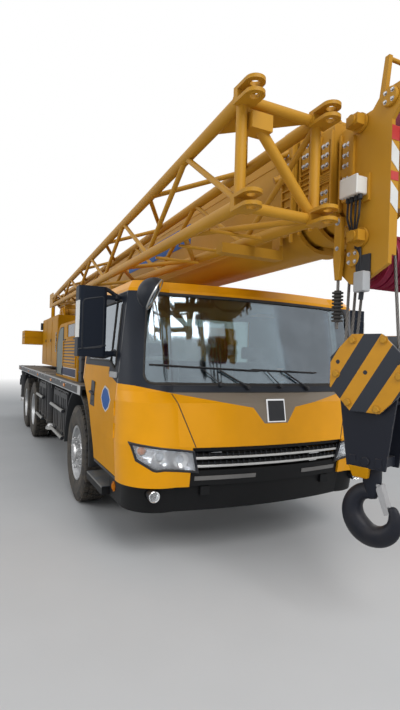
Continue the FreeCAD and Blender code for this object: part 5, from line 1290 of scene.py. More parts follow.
@dataclass
class Studio(Assembly):
    """The pale floor, the soft light and the camera at the photograph's viewing angle."""

    eye: Point = (7.3142, -2.2782, 1.6637)
    right: Point = (0.43402742, 0.90035726, 0.03125715)
    up: Point = (-0.00964505, -0.03004958, 0.99950187)
    back: Point = (0.90084803, -0.4341127, -0.00435835)
    lens: float = 23.68
    sensor: float = 36.0
    floor_half: float = 60.0
    floor_grey: float = 0.62
    lamps: tuple[tuple[Point, Point, float, float], ...] = (
        ((13.0, -1.0, 9.5), (1.0, 0.0, 1.4), 7.0, 900.0),
        ((1.5, -13.0, 7.0), (0.0, 0.0, 1.4), 8.0, 420.0),
        ((-6.0, 12.0, 8.0), (0.0, 0.0, 1.4), 8.0, 420.0),
    )

    def build(self) -> None:
        """Sets the floor, the light and the camera."""
        self.set_camera()
        self.lay_floor()
        self.light_world()
        for i, (place, target, size, power) in enumerate(self.lamps):
            self.hang_lamp(f"lamp_{i}", Vector(place), Vector(target), size, power)
        bpy.context.scene.view_settings.view_transform = "Standard"

    def set_camera(self) -> None:
        """Puts the camera where the photograph was taken from."""
        data = bpy.data.cameras.new("camera")
        data.lens = self.lens
        data.sensor_width = self.sensor
        data.sensor_fit = "AUTO"
        data.clip_end = 400.0
        camera = bpy.data.objects.new("camera", data)
        axes = Matrix((self.right, self.up, self.back)).transposed()
        camera.matrix_world = Matrix.Translation(self.eye) @ axes.to_4x4()
        bpy.context.scene.collection.objects.link(camera)
        bpy.context.scene.camera = camera

    def lay_floor(self) -> None:
        """Lays a plain pale floor that fades into the white background."""
        mesh = bpy.data.meshes.new("floor")
        half = self.floor_half
        corners = [(-half, -half, 0), (half, -half, 0), (half, half, 0), (-half, half, 0)]
        mesh.from_pydata(corners, [], [(0, 1, 2, 3)])
        recipe = Recipe("floor")
        place = recipe.place()
        cloud = recipe.noise(place, 1.1, 5.0)
        pale = recipe.blend(cloud, (self.floor_grey - 0.03,) * 3, (self.floor_grey + 0.03,) * 3)
        matt = recipe.node("ShaderNodeBsdfDiffuse", inputs={"Color": pale})
        glow = recipe.node("ShaderNodeEmission", inputs={"Color": (1, 1, 1, 1), "Strength": 1.0})
        far = recipe.node("ShaderNodeVectorMath", {"operation": "LENGTH"}, {0: place}, "Value")
        fade = ((far - 9.0) * 0.07).clamp()
        mixed = recipe.node("ShaderNodeMixShader", inputs={0: fade, 1: matt, 2: glow})
        recipe.node("ShaderNodeOutputMaterial", inputs={"Surface": mixed})
        mesh.materials.append(recipe.material)
        floor = bpy.data.objects.new("floor", mesh)
        bpy.context.scene.collection.objects.link(floor)

    def light_world(self) -> None:
        """A white background, over a dimmer sky that lights the crane."""
        world = bpy.data.worlds.new("sky")
        recipe = Recipe("sky", world)
        rays = recipe.node("ShaderNodeLightPath", output="Is Camera Ray")
        node = rays.socket.node
        seen = rays.either(Link(recipe, node.outputs["Is Glossy Ray"]))
        seen = seen.either(Link(recipe, node.outputs["Is Transmission Ray"]))
        sky = recipe.node("ShaderNodeBackground",
                          inputs={"Color": (0.90, 0.95, 1.0, 1.0), "Strength": 0.42})
        white = recipe.node("ShaderNodeBackground",
                            inputs={"Color": (1.0, 1.0, 1.0, 1.0), "Strength": 1.0})
        mixed = recipe.node("ShaderNodeMixShader", inputs={0: seen, 1: sky, 2: white})
        recipe.node("ShaderNodeOutputWorld", inputs={"Surface": mixed})
        bpy.context.scene.world = world

    def hang_lamp(self, name: str, place: Vector, target: Vector, size: float,
                  power: float) -> None:
        """Hangs one soft square lamp aimed at a point."""
        data = bpy.data.lights.new(name, "AREA")
        data.size = size
        data.energy = power
        lamp = bpy.data.objects.new(name, data)
        lamp.location = place
        lamp.rotation_euler = (target - place).to_track_quat("-Z", "Y").to_euler()
        bpy.context.scene.collection.objects.link(lamp)


SIDES = (Side.LEFT, Side.RIGHT)
WHEEL_ROWS = (
    ("front", FRONT_AXLE, False), ("middle", REAR_AXLES[0], True), ("rear", REAR_AXLES[1], True),
)


@dataclass
class Wheels(Assembly):
    """Six wheels: tyres with blocked treads on discs with hand holes, hubs and nuts."""

    radius: float = 0.535
    tread_depth: float = 0.020
    tread_half: float = 0.118
    blocks: int = 46
    plane: float = 1.08
    twin_pitch: float = 0.33
    hand_holes: int = 10
    hand_hole: Flat = (0.219, 0.020)
    disc_radii: tuple[float, ...] = (0.110, 0.150, 0.188, 0.200, 0.210, 0.220, 0.230, 0.242, 0.264)
    disc_thick: float = 0.010
    nuts: int = 10
    nut_circle: float = 0.165
    twin_nut_circle: float = 0.134

    def build(self) -> None:
        """Builds every wheel."""
        for row, station, twin in WHEEL_ROWS:
            for side in SIDES:
                body = f"wheel_{row}_{side.word}"
                self.build_tyres(row, station, twin, side, body)
                self.build_disc(row, station, twin, side, body)

    def shifts(self, twin: bool) -> tuple[float, ...]:
        """Where a wheel's one or two tyres lie, out from its outer plane."""
        return (0.0, -self.twin_pitch) if twin else (0.0,)

    def carcass(self) -> list[Flat]:
        """The tyre's section: radius and station out from its plane."""
        groove = self.radius - self.tread_depth
        half = [
            (0.287, 0.112), (0.306, 0.113), (0.314, 0.121), (0.322, 0.128), (0.330, 0.1305),
            (0.336, 0.1298), (0.372, 0.1405), (0.410, 0.1448), (0.440, 0.1440), (0.446, 0.1462),
            (0.453, 0.1456), (0.472, 0.1400), (0.496, 0.1310), (groove, 0.1235),
        ]
        return [(r, -w) for r, w in half] + [(r, w) for r, w in reversed(half)]

    def build_tyres(self, row: str, station: float, twin: bool, side: Side, body: str) -> None:
        """One row's tyres: carcass and tread blocks."""
        stock = Stock()
        axis = Vector((0, side.value, 0))
        for shift in self.shifts(twin):
            centre = Vector((station, side.value * (self.plane + shift), AXLE_HEIGHT))
            stock.lathe(self.carcass(), axis, centre, 72)
            self.add_tread(stock, centre, side.value, twin)
        place = f"{row}_{side.word}"
        name = f"tyre_pair_{place}" if twin else f"tyre_{place}_tread"
        self.works.piece(name, stock, "tyre", body, smooth=38, slot="tyre",
                         replaces=[f"tyre_{place}"])

    def add_tread(self, stock: Stock, centre: Vector, sign: int, lugs: bool) -> None:
        """Adds rows of slanting blocks round a tyre."""
        low = self.radius - self.tread_depth - 0.004
        high = self.radius - 0.0004
        spans = (
            ((-1.0, -0.46, 0.5), (-0.38, 0.38, 0.0), (0.46, 1.0, 0.5)) if lugs else
            ((-1.0, -0.60, 0.0), (-0.54, -0.22, 0.5), (-0.16, 0.16, 0.0), (0.22, 0.54, 0.5),
             (0.60, 1.0, 0.0))
        )
        step = math.tau / self.blocks
        for start, end, phase in spans:
            for k in range(self.blocks):
                angle = (k + phase) * step
                self.add_block(stock, centre, sign, (low, high), (start, end), angle, step)

    def add_block(self, stock: Stock, centre: Vector, sign: int, radii: Flat, span: Flat,
                  angle: float, step: float) -> None:
        """Adds one tread block, slanting across the tyre."""
        rings = []
        for radius, shrink in ((radii[0], 1.0), (radii[1] - 0.002, 1.0), (radii[1], 0.93)):
            ring = []
            for across, turn in ((0, -0.40), (0, 0.40), (1, 0.40), (1, -0.40)):
                width = span[across] * self.tread_half
                middle = (span[0] + span[1]) / 2 * self.tread_half
                width = middle + (width - middle) * shrink
                slant = 0.28 * (width / self.tread_half)
                theta = angle + (turn * shrink + slant) * step
                ring.append(centre + Vector((
                    math.sin(theta) * radius, sign * width, math.cos(theta) * radius,
                )))
            rings.append(ring)
        stock.loops(rings, False, True)

    def build_disc(self, row: str, station: float, twin: bool, side: Side, body: str) -> None:
        """The rim's barrel, the disc with its hand holes, the hub and the nuts."""
        axis = Vector((0, side.value, 0))
        centre = Vector((station, side.value * self.plane, AXLE_HEIGHT))
        barrel = Stock()
        for shift in self.shifts(twin):
            middle = centre + axis * shift
            barrel.lathe(self.rim_section(), axis, middle, 64)
        if twin:
            self.add_disc(barrel, centre, axis, -0.075, -0.02)
            self.add_disc(barrel, centre - axis * self.twin_pitch, axis, 0.075, 0.02)
        else:
            self.add_disc(barrel, centre, axis, 0.070, 0.086)
        add = self.riding(body)
        add(f"rim_{row}_{side.word}_disc", barrel, "wheel", smooth=35, slot="wheel_silver",
            replaces=[f"rim_{row}_{side.word}"])
        hub = Stock()
        if twin:
            hub.lathe(((0.046, -0.505), (0.118, -0.505), (0.118, -0.10), (0.150, -0.06),
                       (0.150, 0.004), (0.105, 0.012), (0.098, 0.058), (0.085, 0.066),
                       (0.046, 0.066)), axis, centre, 40)
            hub.disc(0.06, 0.0, 0.072, axis, centre, 24, 0.004)
        else:
            hub.lathe(((0.046, -0.105), (0.118, -0.105), (0.118, 0.088), (0.104, 0.094),
                       (0.100, 0.150), (0.088, 0.164), (0.046, 0.166)), axis, centre, 40)
            hub.disc(0.06, 0.05, 0.1665, axis, centre, 24, 0.004)
        add(f"hub_{row}_{side.word}", hub, "chassis" if twin else "polished", bevel=0.002)
        nuts = Stock()
        circle = self.twin_nut_circle if twin else self.nut_circle
        face, stud, cap = (0.012, 0.042, 0.066) if twin else (0.088, 0.066, 0.160)
        for out in directions(self.nuts, 0.5):
            place = centre + out * circle + axis * (face - 0.003)
            nuts.bolt(place, axis, 0.030, 0.024)
            nuts.disc(0.012, 0.0, stud, axis, place, 12, 0.003)
        for out in directions(8):
            nuts.bolt(centre + out * 0.074 + axis * (cap - 0.002), axis, 0.014, 0.006)
        add(f"nuts_{row}_{side.word}", nuts, "polished")

    def rim_section(self) -> list[Flat]:
        """The section of a rim: two lips, the seats and the well."""
        outer = [(0.304, -0.125), (0.304, -0.116), (0.288, -0.112), (0.2855, -0.095),
                 (0.272, -0.055), (0.272, 0.055), (0.2855, 0.095), (0.288, 0.112),
                 (0.304, 0.116), (0.304, 0.125)]
        inner = [(0.292, 0.125), (0.278, 0.118), (0.274, 0.095), (0.262, 0.055),
                 (0.262, -0.055), (0.274, -0.095), (0.278, -0.118), (0.292, -0.125)]
        return outer + inner

    def in_hole(self, radius: float, angle: float) -> bool:
        """Whether a place on the disc lies in a hand hole."""
        circle, half = self.hand_hole
        pitch = math.tau / self.hand_holes
        turn = (angle + pitch / 2) % pitch - pitch / 2
        return ((radius - circle) / half) ** 2 + (turn * circle / (half * 1.5)) ** 2 < 1

    def add_disc(self, stock: Stock, centre: Vector, axis: Vector, at_rim: float,
                 at_hub: float) -> None:
        """Adds a dished disc whose hand holes lie near the rim.

        Args:
            stock: The mesh work it is added to.
            centre: The wheel's middle on the tyre's plane.
            axis: Outwards along the axle.
            at_rim: Station of the disc at the rim.
            at_hub: Station of the disc at the hub.
        """
        steps = self.hand_holes * 12
        radii = self.disc_radii
        across = axis.orthogonal().normalized()
        beside = axis.cross(across)
        made: dict[tuple[int, int, int], bmesh.types.BMVert] = {}

        def corner(i: int, k: int, layer: int) -> bmesh.types.BMVert:
            """A corner of the disc's grid, made when it is first used."""
            key = (i, k % steps, layer)
            if key not in made:
                angle = math.tau * (k % steps) / steps
                out = across * math.cos(angle) + beside * math.sin(angle)
                slope = min(max((radii[i] - 0.188) / 0.076, 0.0), 1.0)
                level = at_hub + (at_rim - at_hub) * (slope * slope * (3 - 2 * slope))
                level -= self.disc_thick * layer
                made[key] = stock.work.verts.new(centre + out * radii[i] + axis * level)
            return made[key]

        solid = {(i, k): not self.in_hole((near + far) / 2, math.tau * (k + 0.5) / steps)
                 for i, (near, far) in enumerate(zip(radii, radii[1:])) for k in range(steps)}
        for (i, k), full in solid.items():
            if not full:
                continue
            for layer in (0, 1):
                stock.work.faces.new((corner(i, k, layer), corner(i, k + 1, layer),
                                      corner(i + 1, k + 1, layer), corner(i + 1, k, layer)))
            borders = (
                ((i - 1, k), (i, k), (i, k + 1)), ((i + 1, k), (i + 1, k), (i + 1, k + 1)),
                ((i, (k - 1) % steps), (i, k), (i + 1, k)),
                ((i, (k + 1) % steps), (i, k + 1), (i + 1, k + 1)),
            )
            for beyond_cell, first, second in borders:
                if not solid.get(beyond_cell, False):
                    stock.work.faces.new((corner(*first, 0), corner(*second, 0),
                                          corner(*second, 1), corner(*first, 1)))


def build_crane(frame: dict) -> None:
    """Builds the studio and every assembly of the crane.
    """
    works = Works(frame, Finishes())
    for assembly in ASSEMBLIES:
        LOG.info("building %s", assembly.__name__)
        assembly(works).build()


def rounded(corners: Sequence[Flat], radius: float) -> list[Flat]:
    """A closed outline whose corners are rounded.

    Args:
        corners: The outline's corners.
        radius: The radius of its bends.

    Returns:
        The rounded outline, which ends where it starts.
    """
    path: list[Flat] = []
    count = len(corners)
    for i in range(count):
        here = Vector((*corners[i], 0.0))
        before = Vector((*corners[i - 1], 0.0))
        after = Vector((*corners[(i + 1) % count], 0.0))
        reach = min(radius, (before - here).length * 0.45, (after - here).length * 0.45)
        start = here + (before - here).normalized() * reach
        end = here + (after - here).normalized() * reach
        for k in range(5):
            t = k / 4
            point = (1 - t) ** 2 * start + 2 * t * (1 - t) * here + t * t * end
            path.append((point.x, point.y))
    return path + path[:1]


CUSHION_CUTS = 26
EDGE_SHARE = 0.55
CHANNEL_WIDTH = 0.010
CHANNEL_DEPTH = 0.010
SIDE_PULL = 0.006


def round_edged(unit: Sequence[float], half: Sequence[float]) -> list[float]:
    """Where a point of a cube lies on a box with rounded edges.

    Args:
        unit: The point, each part from -1 to 1.
        half: Half the box's lengths.

    Returns:
        The point on the box.
    """
    round_by = min(half) * EDGE_SHARE
    place = [part * size for part, size in zip(unit, half)]
    inner = [max(-(half[i] - round_by), min(half[i] - round_by, place[i])) for i in range(3)]
    out = Vector([place[i] - inner[i] for i in range(3)])
    if out.length > round_by:
        out *= round_by / out.length
    return [inner[i] + out[i] for i in range(3)]


def crowned(name: str, low: Point, high: Point, crown: float, soft_axis: Axis,
            channels: Sequence[float] = ()) -> bpy.types.Mesh:
    """A cushion: a closed form with rounded edges, a crown and sewn channels.

    Args:
        name: The mesh's name.
        low: Its lowest corner.
        high: Its highest corner.
        crown: How far its soft face rises in the middle.
        soft_axis: The axis that its soft face looks along.
        channels: The Y of each sewn channel.

    Returns:
        The cushion's mesh.
    """
    middle = [(a + b) / 2 for a, b in zip(low, high)]
    half = [(b - a) / 2 for a, b in zip(low, high)]
    soft = soft_axis.value
    flat = [i for i in range(3) if i != soft]
    work = bmesh.new()
    bmesh.ops.create_cube(work, size=2.0)
    bmesh.ops.subdivide_edges(work, edges=work.edges[:], cuts=CUSHION_CUTS, use_grid_fill=True)
    for vertex in work.verts:
        unit = list(vertex.co)
        place = round_edged(unit, half)
        if unit[soft] > 0:
            rise = math.prod(max(0.0, 1 - abs(unit[i]) ** 3) for i in flat)
            place[soft] += crown * rise * unit[soft] - crown
            for seam in channels:
                gap = (middle[Axis.Y.value] + place[Axis.Y.value] - seam) / CHANNEL_WIDTH
                place[soft] -= CHANNEL_DEPTH * math.exp(-gap * gap) * unit[soft]
        pull = SIDE_PULL * (1 - abs(unit[soft]))
        for i, other in (flat, flat[::-1]):
            place[i] -= math.copysign(pull * (1 - abs(unit[other]) ** 2), unit[i]) * abs(unit[i])
        vertex.co = [middle[i] + place[i] for i in range(3)]
    mesh = bpy.data.meshes.new(name)
    work.to_mesh(mesh)
    work.free()
    return mesh


@dataclass
class DriverCab(Assembly):
    """The driver's cab: shell, front, glass, lamps, wipers, mirrors, doors and inside."""

    lamp_top: tuple[Flat, ...] = ((0.735, 0.932), (1.188, 0.990))
    lamp_bottom: tuple[Flat, ...] = (
        (0.690, 0.768), (0.951, 0.795), (1.022, 0.785), (1.148, 0.864),
    )
    screen: tuple[Flat, ...] = ((-1.085, 1.446), (1.085, 1.446), (1.04, 2.168), (-1.04, 2.168))
    door_window: tuple[Flat, ...] = (
        (0.55, 1.61), (1.404, 1.61), (1.614, 1.53), (1.614, 2.12), (0.55, 2.12),
    )
    lamp_nodes: tuple[str, ...] = ("lamps", "cab_front")
    bars: tuple[float, ...] = (0.871, 0.805)
    badge_height: float = 1.236
    fog_lamp: Point = (ahead(2.048), 1.015, 0.585)
    mirror_low: float = 1.64
    mirror_high: float = 2.215

    def build(self) -> None:
        """Builds and dresses the cab."""
        self.paint_all({
            "cab_front": "cab_yellow", "cab_shell": "cab_shell", "cab_glass": "glass",
            "door_left": "door", "door_right": "door", "door_glass_left": "glass",
            "door_glass_right": "glass", "dashboard": "grain_plastic", "bumper": "bumper",
            "corner_mirror": "dark",
        })
        self.add_seams()
        self.add_grille()
        self.add_badge()
        self.add_wipers()
        for side in SIDES:
            self.add_head_lamp(side)
            self.add_lamp_inside(side)
            self.add_fog_lamp(side)
            self.add_tail_lamp(side)
            self.add_door_trim(side)
            self.add_mirror(side)
            self.add_step(side)
            self.add_seat(side)
        self.add_corner_mirror()
        self.add_inside()

    def add_seams(self) -> None:
        """The windscreen's rubber, the groove below it and the front flap's seams."""
        seal = Stock()
        glass = ("cab_shell", "cab_glass", "cab_front")
        seal.tube(self.works.front_line(rounded(self.screen, 0.08), 0.001, 0.05, glass), 0.010, 8)
        add = self.riding("chassis")
        add("windscreen_rubber", seal, "seal")
        lines = Stock()
        lines.tube(self.works.front_line([(-0.88, 1.379), (0.88, 1.379)], 0.0, 0.04), 0.0045, 6)
        for sign in (1, -1):
            lines.tube(self.works.front_line(
                [(0.872 * sign, 1.366), (0.722 * sign, 0.966)], 0.0, 0.016), 0.0042, 6)
        add("front_seams", lines, "seal")
        strip = Stock()
        top = ((-1.0, 1.440), (1.0, 1.440))
        strip.shell(self.works.front_patch(top, ((-1.0, 1.428), (1.0, 1.428)), 30, 1, 0.004),
                    Vector((-0.006, 0, 0)))
        add("screen_sill", strip, "black_plastic")

    def add_grille(self) -> None:
        """Bright bars across the grille and grey strips along its lower edge."""
        bars = Stock()
        for height in self.bars:
            middle = self.works.front(0.0, height + 0.022, 0.0, ("bumper",))[0].x
            end = self.works.front(0.70, height + 0.022, 0.0, ("bumper",))[0].x
            rows = []
            for rise, forward in ((0.0155, 0.002), (0.012, 0.007), (-0.004, 0.009),
                                  (-0.008, 0.004)):
                rows.append([Vector((middle + (end - middle) * (y / 0.70) ** 2 + forward, y,
                                     height + rise))
                             for y in (-0.712 + 1.424 * k / 40 for k in range(41))])
            bars.shell(rows, Vector((-0.009, 0, -0.002)))
        add = self.riding("chassis")
        add("grille_bars", bars, "satin", bevel=0.002, slot="rod_chrome")
        strips = Stock()
        for start, end in ((-0.70, -0.17), (0.30, 0.70)):
            strips.shell(self.works.front_patch(
                ((start, 0.728), (end, 0.728)), ((start, 0.694), (end, 0.694)), 16, 2, 0.006,
                ("bumper",)), Vector((-0.008, 0, 0)))
        add("grille_strips", strips, "trim", bevel=0.002)
        mesh = Stock()
        for k in range(29):
            y = -0.70 + 0.05 * k
            for height in (0.904, 0.838):
                point = self.works.front(y, height, 0.0, ("bumper",))[0]
                mesh.box((point.x, y - 0.003, height - 0.012),
                         (point.x + 0.012, y + 0.003, height + 0.012))
        add("grille_ribs", mesh, "black_plastic")

    def add_badge(self) -> None:
        """A bare dark plate in a bright frame."""
        turn = Matrix.Rotation(-math.radians(11), 3, "Y")
        hit, _ = self.works.front(0.0, self.badge_height, 0.0, ("cab_shell",))
        frame, plate = Stock(), Stock()
        x, z = hit.x, self.badge_height
        frame.box((x - 0.010, -0.093, z - 0.098), (x + 0.012, 0.093, z + 0.098), turn)
        plate.box((x + 0.004, -0.080, z - 0.085), (x + 0.0145, 0.080, z + 0.085), turn)
        add = self.riding("chassis")
        add("badge_frame", frame, "chrome", bevel=0.006)
        add("badge_plate", plate, "black_plastic", bevel=0.003)

    def add_wipers(self) -> None:
        """Two wipers, each on a main arm and a thin guide arm."""
        glass = ("cab_glass", "cab_shell", "cab_front")
        arms, rubber = Stock(), Stock()
        wipers = (
            ((-0.206, 1.418), (-0.458, 1.556), (-0.454, 1.442), (-0.602, 1.560),
             (-1.04, 1.592), (-0.082, 1.558)),
            ((0.422, 1.411), (0.166, 1.552), (0.116, 1.432), (-0.02, 1.562),
             (-0.153, 1.569), (0.553, 1.549)),
        )
        for pivot, tip, guide, guide_tip, start, end in wipers:
            for place in (pivot, guide):
                point, normal = self.works.front(*place, 0.0, glass)
                arms.lathe(((POLE, -0.004), (0.022, -0.004), (0.022, 0.016), (0.015, 0.030),
                            (POLE, 0.032)), normal, point, 18)
            for low, high, radius in ((pivot, tip, 0.0085), (guide, guide_tip, 0.0045)):
                line = self.works.front_line([low, high], 0.024, 0.05, glass)
                arms.tube(line, radius, 8)
            arms.tube(self.works.front_line([start, end], 0.020, 0.06, glass), 0.0055, 6)
            rubber.tube(self.works.front_line([start, end], 0.008, 0.06, glass), 0.0060, 6)
            for t in (0.2, 0.4, 0.6, 0.8):
                y = start[0] + (end[0] - start[0]) * t
                z = start[1] + (end[1] - start[1]) * t
                point, normal = self.works.front(y, z, 0.014, glass)
                arms.box(tuple(point - Vector((0.008, 0.012, 0.005))),
                         tuple(point + Vector((0.008, 0.012, 0.005))))
        add = self.riding("chassis")
        add("wiper_arms", arms, "black_plastic")
        add("wiper_rubbers", rubber, "seal")

    def flipped(self, points: Sequence[Flat], side: Side) -> list[Flat]:
        """Sides and heights put on one side of the cab."""
        return [(y * side.value, z) for y, z in points]

    def add_head_lamp(self, side: Side) -> None:
        """One head lamp's bowl, the clear lens over it and the dark edge round it."""
        word = side.word
        grid = self.works.front_patch(self.flipped(self.lamp_top, side),
                                      self.flipped(self.lamp_bottom, side), 18, 6, 0.0,
                                      self.lamp_nodes)
        rim = [grid[i][j] for i, j in rim_of(grid)]
        middle = sum(rim, Vector()) / len(rim)
        lens, bowl, edge = Stock(), Stock(), Stock()
        lens.shell(grid, Vector((-0.003, 0, 0)))
        rings = []
        for depth, size in ((0.004, 1.0), (0.030, 0.985), (0.055, 0.93), (0.066, 0.80),
                            (0.070, 0.35)):
            inward = Vector((-depth, -0.2 * depth * side.value, 0))
            rings.append([middle + (point - middle) * size + inward for point in rim])
        bowl.loops(rings, False, False)
        bowl.work.faces.new([vertex for vertex in bowl.work.verts[:][-len(rim):]])
        edge.tube([*rim, rim[0]], 0.0105, 8)
        add = self.riding("chassis", word)
        add("head_lamp_bowl", bowl, "reflector", smooth=50,
            replaces=["lamps"] if side is Side.RIGHT else [])
        add("head_lamp_edge", edge, "black_plastic")
        add("head_lamp_lens", lens, "lens", smooth=60, slot="lamp_lens")

    def add_lamp_inside(self, side: Side) -> None:
        """One head lamp's bright rings with their bulbs, its amber bulb and its fins."""
        word = side.word
        nodes = self.lamp_nodes
        bright, bulbs, amber, fins = (Stock() for _ in range(4))
        aim = Vector((0.97, 0.22 * side.value, 0.0)).normalized()
        for y, z, radius, depth in ((0.993, 0.893, 0.047, 0.030), (0.828, 0.862, 0.060, 0.036)):
            point, _ = self.works.front(y * side.value, z, 0.0, nodes)
            back = point - aim * (depth + 0.014)
            bright.lathe(((radius, 0.0), (radius + 0.004, 0.004), (radius + 0.004, 0.026),
                          (radius, 0.030), (radius - 0.006, 0.026), (radius * 0.45, 0.004),
                          (POLE, 0.0), (POLE, -0.006), (radius * 0.5, -0.006)), aim, back, 32)
            bulbs.dome(back + aim * 0.003, aim, radius * 0.52, 0.020, 24)
        point, _ = self.works.front(1.118 * side.value, 0.935, 0.0, nodes)
        amber.dome(point - aim * 0.045, aim, 0.034, 0.028, 20)
        bright.lathe(((0.034, 0.0), (0.041, 0.0), (0.041, 0.012), (0.034, 0.016)), aim,
                     point - aim * 0.046, 24)
        for k in range(5):
            y, z = (0.905 - 0.006 * k) * side.value, 0.815 + 0.004 * k
            x = self.works.front(y, z, 0.0, nodes)[0].x
            fins.box((x - 0.052, y - 0.0012, z), (x - 0.030, y + 0.0012, 0.94))
        add = self.riding("chassis", word)
        add("head_lamp_rings", bright, "chrome")
        add("head_lamp_fins", fins, "chrome")
        add("head_lamp_bulbs", bulbs, "bulb", smooth=60)
        add("head_lamp_amber", amber, "amber", smooth=60)

    def add_fog_lamp(self, side: Side) -> None:
        """A round fog lamp in its bright ring."""
        x, y, z = self.fog_lamp
        centre = Vector((x, y * side.value, z))
        aim = FORWARD
        ring, lens, body = Stock(), Stock(), Stock()
        ring.lathe(((0.043, -0.020), (0.0438, -0.012), (0.0436, -0.002), (0.040, 0.0),
                    (0.036, -0.004), (0.020, -0.030), (POLE, -0.036), (POLE, -0.040),
                    (0.030, -0.036)), aim, centre, 32)
        lens.dome(centre - aim * 0.006, aim, 0.036, 0.006, 28)
        body.lathe(((POLE, -0.117), (0.030, -0.117), (0.043, -0.060), (0.0435, -0.012),
                    (POLE, -0.036)), aim, centre, 28)
        add = self.riding("chassis", side.word)
        add("fog_lamp_ring", ring, "chrome")
        add("fog_lamp_lens", lens, "lens", smooth=60)
        add("fog_lamp_body", body, "black_plastic")

    def add_tail_lamp(self, side: Side) -> None:
        """A tail lamp: a black tray and three lenses."""
        sign = side.value
        low_x, high_x = -5.6645, -5.6145
        tray, reds, ambers, clears = Stock(), Stock(), Stock(), Stock()
        low, high = between(sign, 0.87, 1.19)
        tray.box((low_x + 0.012, low, 0.96), (high_x, high, 1.05))
        for stock, start, end in ((reds, 0.89, 0.98), (clears, 0.986, 1.068),
                                  (ambers, 1.074, 1.17)):
            low, high = between(sign, start, end)
            stock.box((low_x, low, 0.968), (low_x + 0.020, high, 1.042))
        add = self.riding("chassis", side.word)
        add("tail_tray", tray, "black_plastic", bevel=0.004)
        add("tail_red", reds, "red_lens", bevel=0.004)
        add("tail_amber", ambers, "amber", bevel=0.004)
        add("tail_clear", clears, "white_lens", bevel=0.004)

    def add_door_trim(self, side: Side) -> None:
        """A door's window rubber, its handle in a dark dish, the lozenge plate and the vent."""
        sign, word = side.value, side.word
        body = f"cab_door_{word}"
        nodes = (f"door_{word}", f"door_glass_{word}")
        rubber = Stock()
        outline = [(ahead(x), z) for x, z in self.door_window]
        path = []
        for x, z in rounded(outline, 0.05):
            hit = self.works.cast(nodes, (x, sign * 1.262, z), (0, -sign, 0))
            path.append(hit[0] if hit else Vector((x, sign * 1.2, z)))
        rubber.tube(path, 0.009, 8)
        rubber.tube([self.works.side(ahead(1.425), z, side, 0.0, nodes) for z in
                     (1.605, 1.86, 2.115)], 0.010, 8)
        add = self.riding(body, word)
        add("door_rubber", rubber, "seal")

        def plate(stock: Stock, outline: Sequence[Flat], proud: float) -> None:
            """Adds a flat plate of stations and heights on the door's side."""
            stock.prism([(ahead(x), z) for x, z in outline], Axis.Y,
                        *between(sign, 1.246, 1.25 + proud))

        dish, handle = Stock(), Stock()
        plate(dish, [(0.81, 1.17), (0.985, 1.165), (0.985, 1.40), (0.86, 1.41)], 0.003)
        handle.tube([(ahead(0.835), sign * 1.253, 1.30), (ahead(0.855), sign * 1.268, 1.30),
                     (ahead(0.955), sign * 1.268, 1.285), (ahead(0.972), sign * 1.253, 1.282)],
                    0.010, 8, 0.02)
        handle.disc(0.011, 0.0, 0.006, outward(sign),
                    Vector((ahead(0.90), sign * 1.251, 1.215)), 16, 0.001)
        add("door_dish", dish, "black_plastic", bevel=0.003)
        add("door_handle", handle, "black_plastic")
        pale, blue = Stock(), Stock()
        middle = (1.402, 1.279)
        lozenge = [(1.565, 1.283), (1.475, 1.368), (1.37, 1.390), (1.29, 1.345), (1.24, 1.276),
                   (1.315, 1.195), (1.41, 1.165), (1.50, 1.205)]
        plate(pale, lozenge, 0.0012)
        plate(blue, [(middle[0] + (x - middle[0]) * 0.88, middle[1] + (z - middle[1]) * 0.88)
                     for x, z in lozenge], 0.0018)
        add("door_plate_edge", pale, "white")
        add("door_plate", blue, "blue")
        box = Stock()
        x, z = ahead(1.60), 1.497
        skin = abs(self.works.side(x, z, side, 0.0, nodes).y)
        low, high = between(sign, skin - 0.006, skin + 0.022)
        box.box((x - 0.085, low, z - 0.024), (x + 0.085, high, z + 0.024))
        add("door_vent", box, "pale_grey", bevel=0.006)

    def add_mirror(self, side: Side) -> None:
        """The mirror's rim, its glass, its pressed panel and the pale strip on its edge."""
        sign, word = side.value, side.word
        body = f"cab_door_{word}"
        glass, panel, strip, caps = Stock(), Stock(), Stock(), Stock()
        low_y, high_y = between(sign, 1.320, 1.520)
        rear = ahead(1.40)
        for low_z, high_z in ((1.665, 2.02), (2.04, 2.195)):
            glass.box((rear - 0.0035, low_y, low_z), (rear + 0.002, high_y, high_z))
        front = ahead(1.59)
        outline = rounded([(1.335, 1.72), (1.505, 1.70), (1.505, 2.10), (1.335, 2.135)], 0.03)
        path = [Vector((front - 0.003, sign * y, z)) for y, z in outline]
        panel.tube(path, 0.0075, 8)
        panel.tube([Vector((front - 0.003, sign * 1.31, 1.735)),
                    Vector((front - 0.003, sign * 1.53, 1.70))], 0.006, 8)
        height = self.mirror_high - self.mirror_low
        top = self.mirror_high - 0.21 * height
        bottom = self.mirror_high - 0.73 * height
        low, high = between(sign, 1.528, 1.5353)
        strip.box((ahead(1.445), low, bottom), (ahead(1.575), high, top))
        caps.tube([(ahead(1.50), sign * 1.49, 2.205), (ahead(1.50), sign * 1.30, 2.213),
                   (ahead(1.50), sign * 1.20, 2.155)], 0.017, 10, 0.06)
        caps.tube([(ahead(1.50), sign * 1.42, 1.648), (ahead(1.50), sign * 1.30, 1.640),
                   (ahead(1.50), sign * 1.205, 1.672)], 0.017, 10, 0.05)
        for z in (2.142, 1.672):
            caps.bolt(Vector((ahead(1.50), sign * 1.205, z)), outward(sign), 0.05, 0.02)
        add = self.riding(body, word)
        add("mirror_panel", panel, "dark")
        add("mirror_glass", glass, "mirror", bevel=0.003)
        add("mirror_strip", strip, "white")
        add("mirror_arms", caps, "dark")

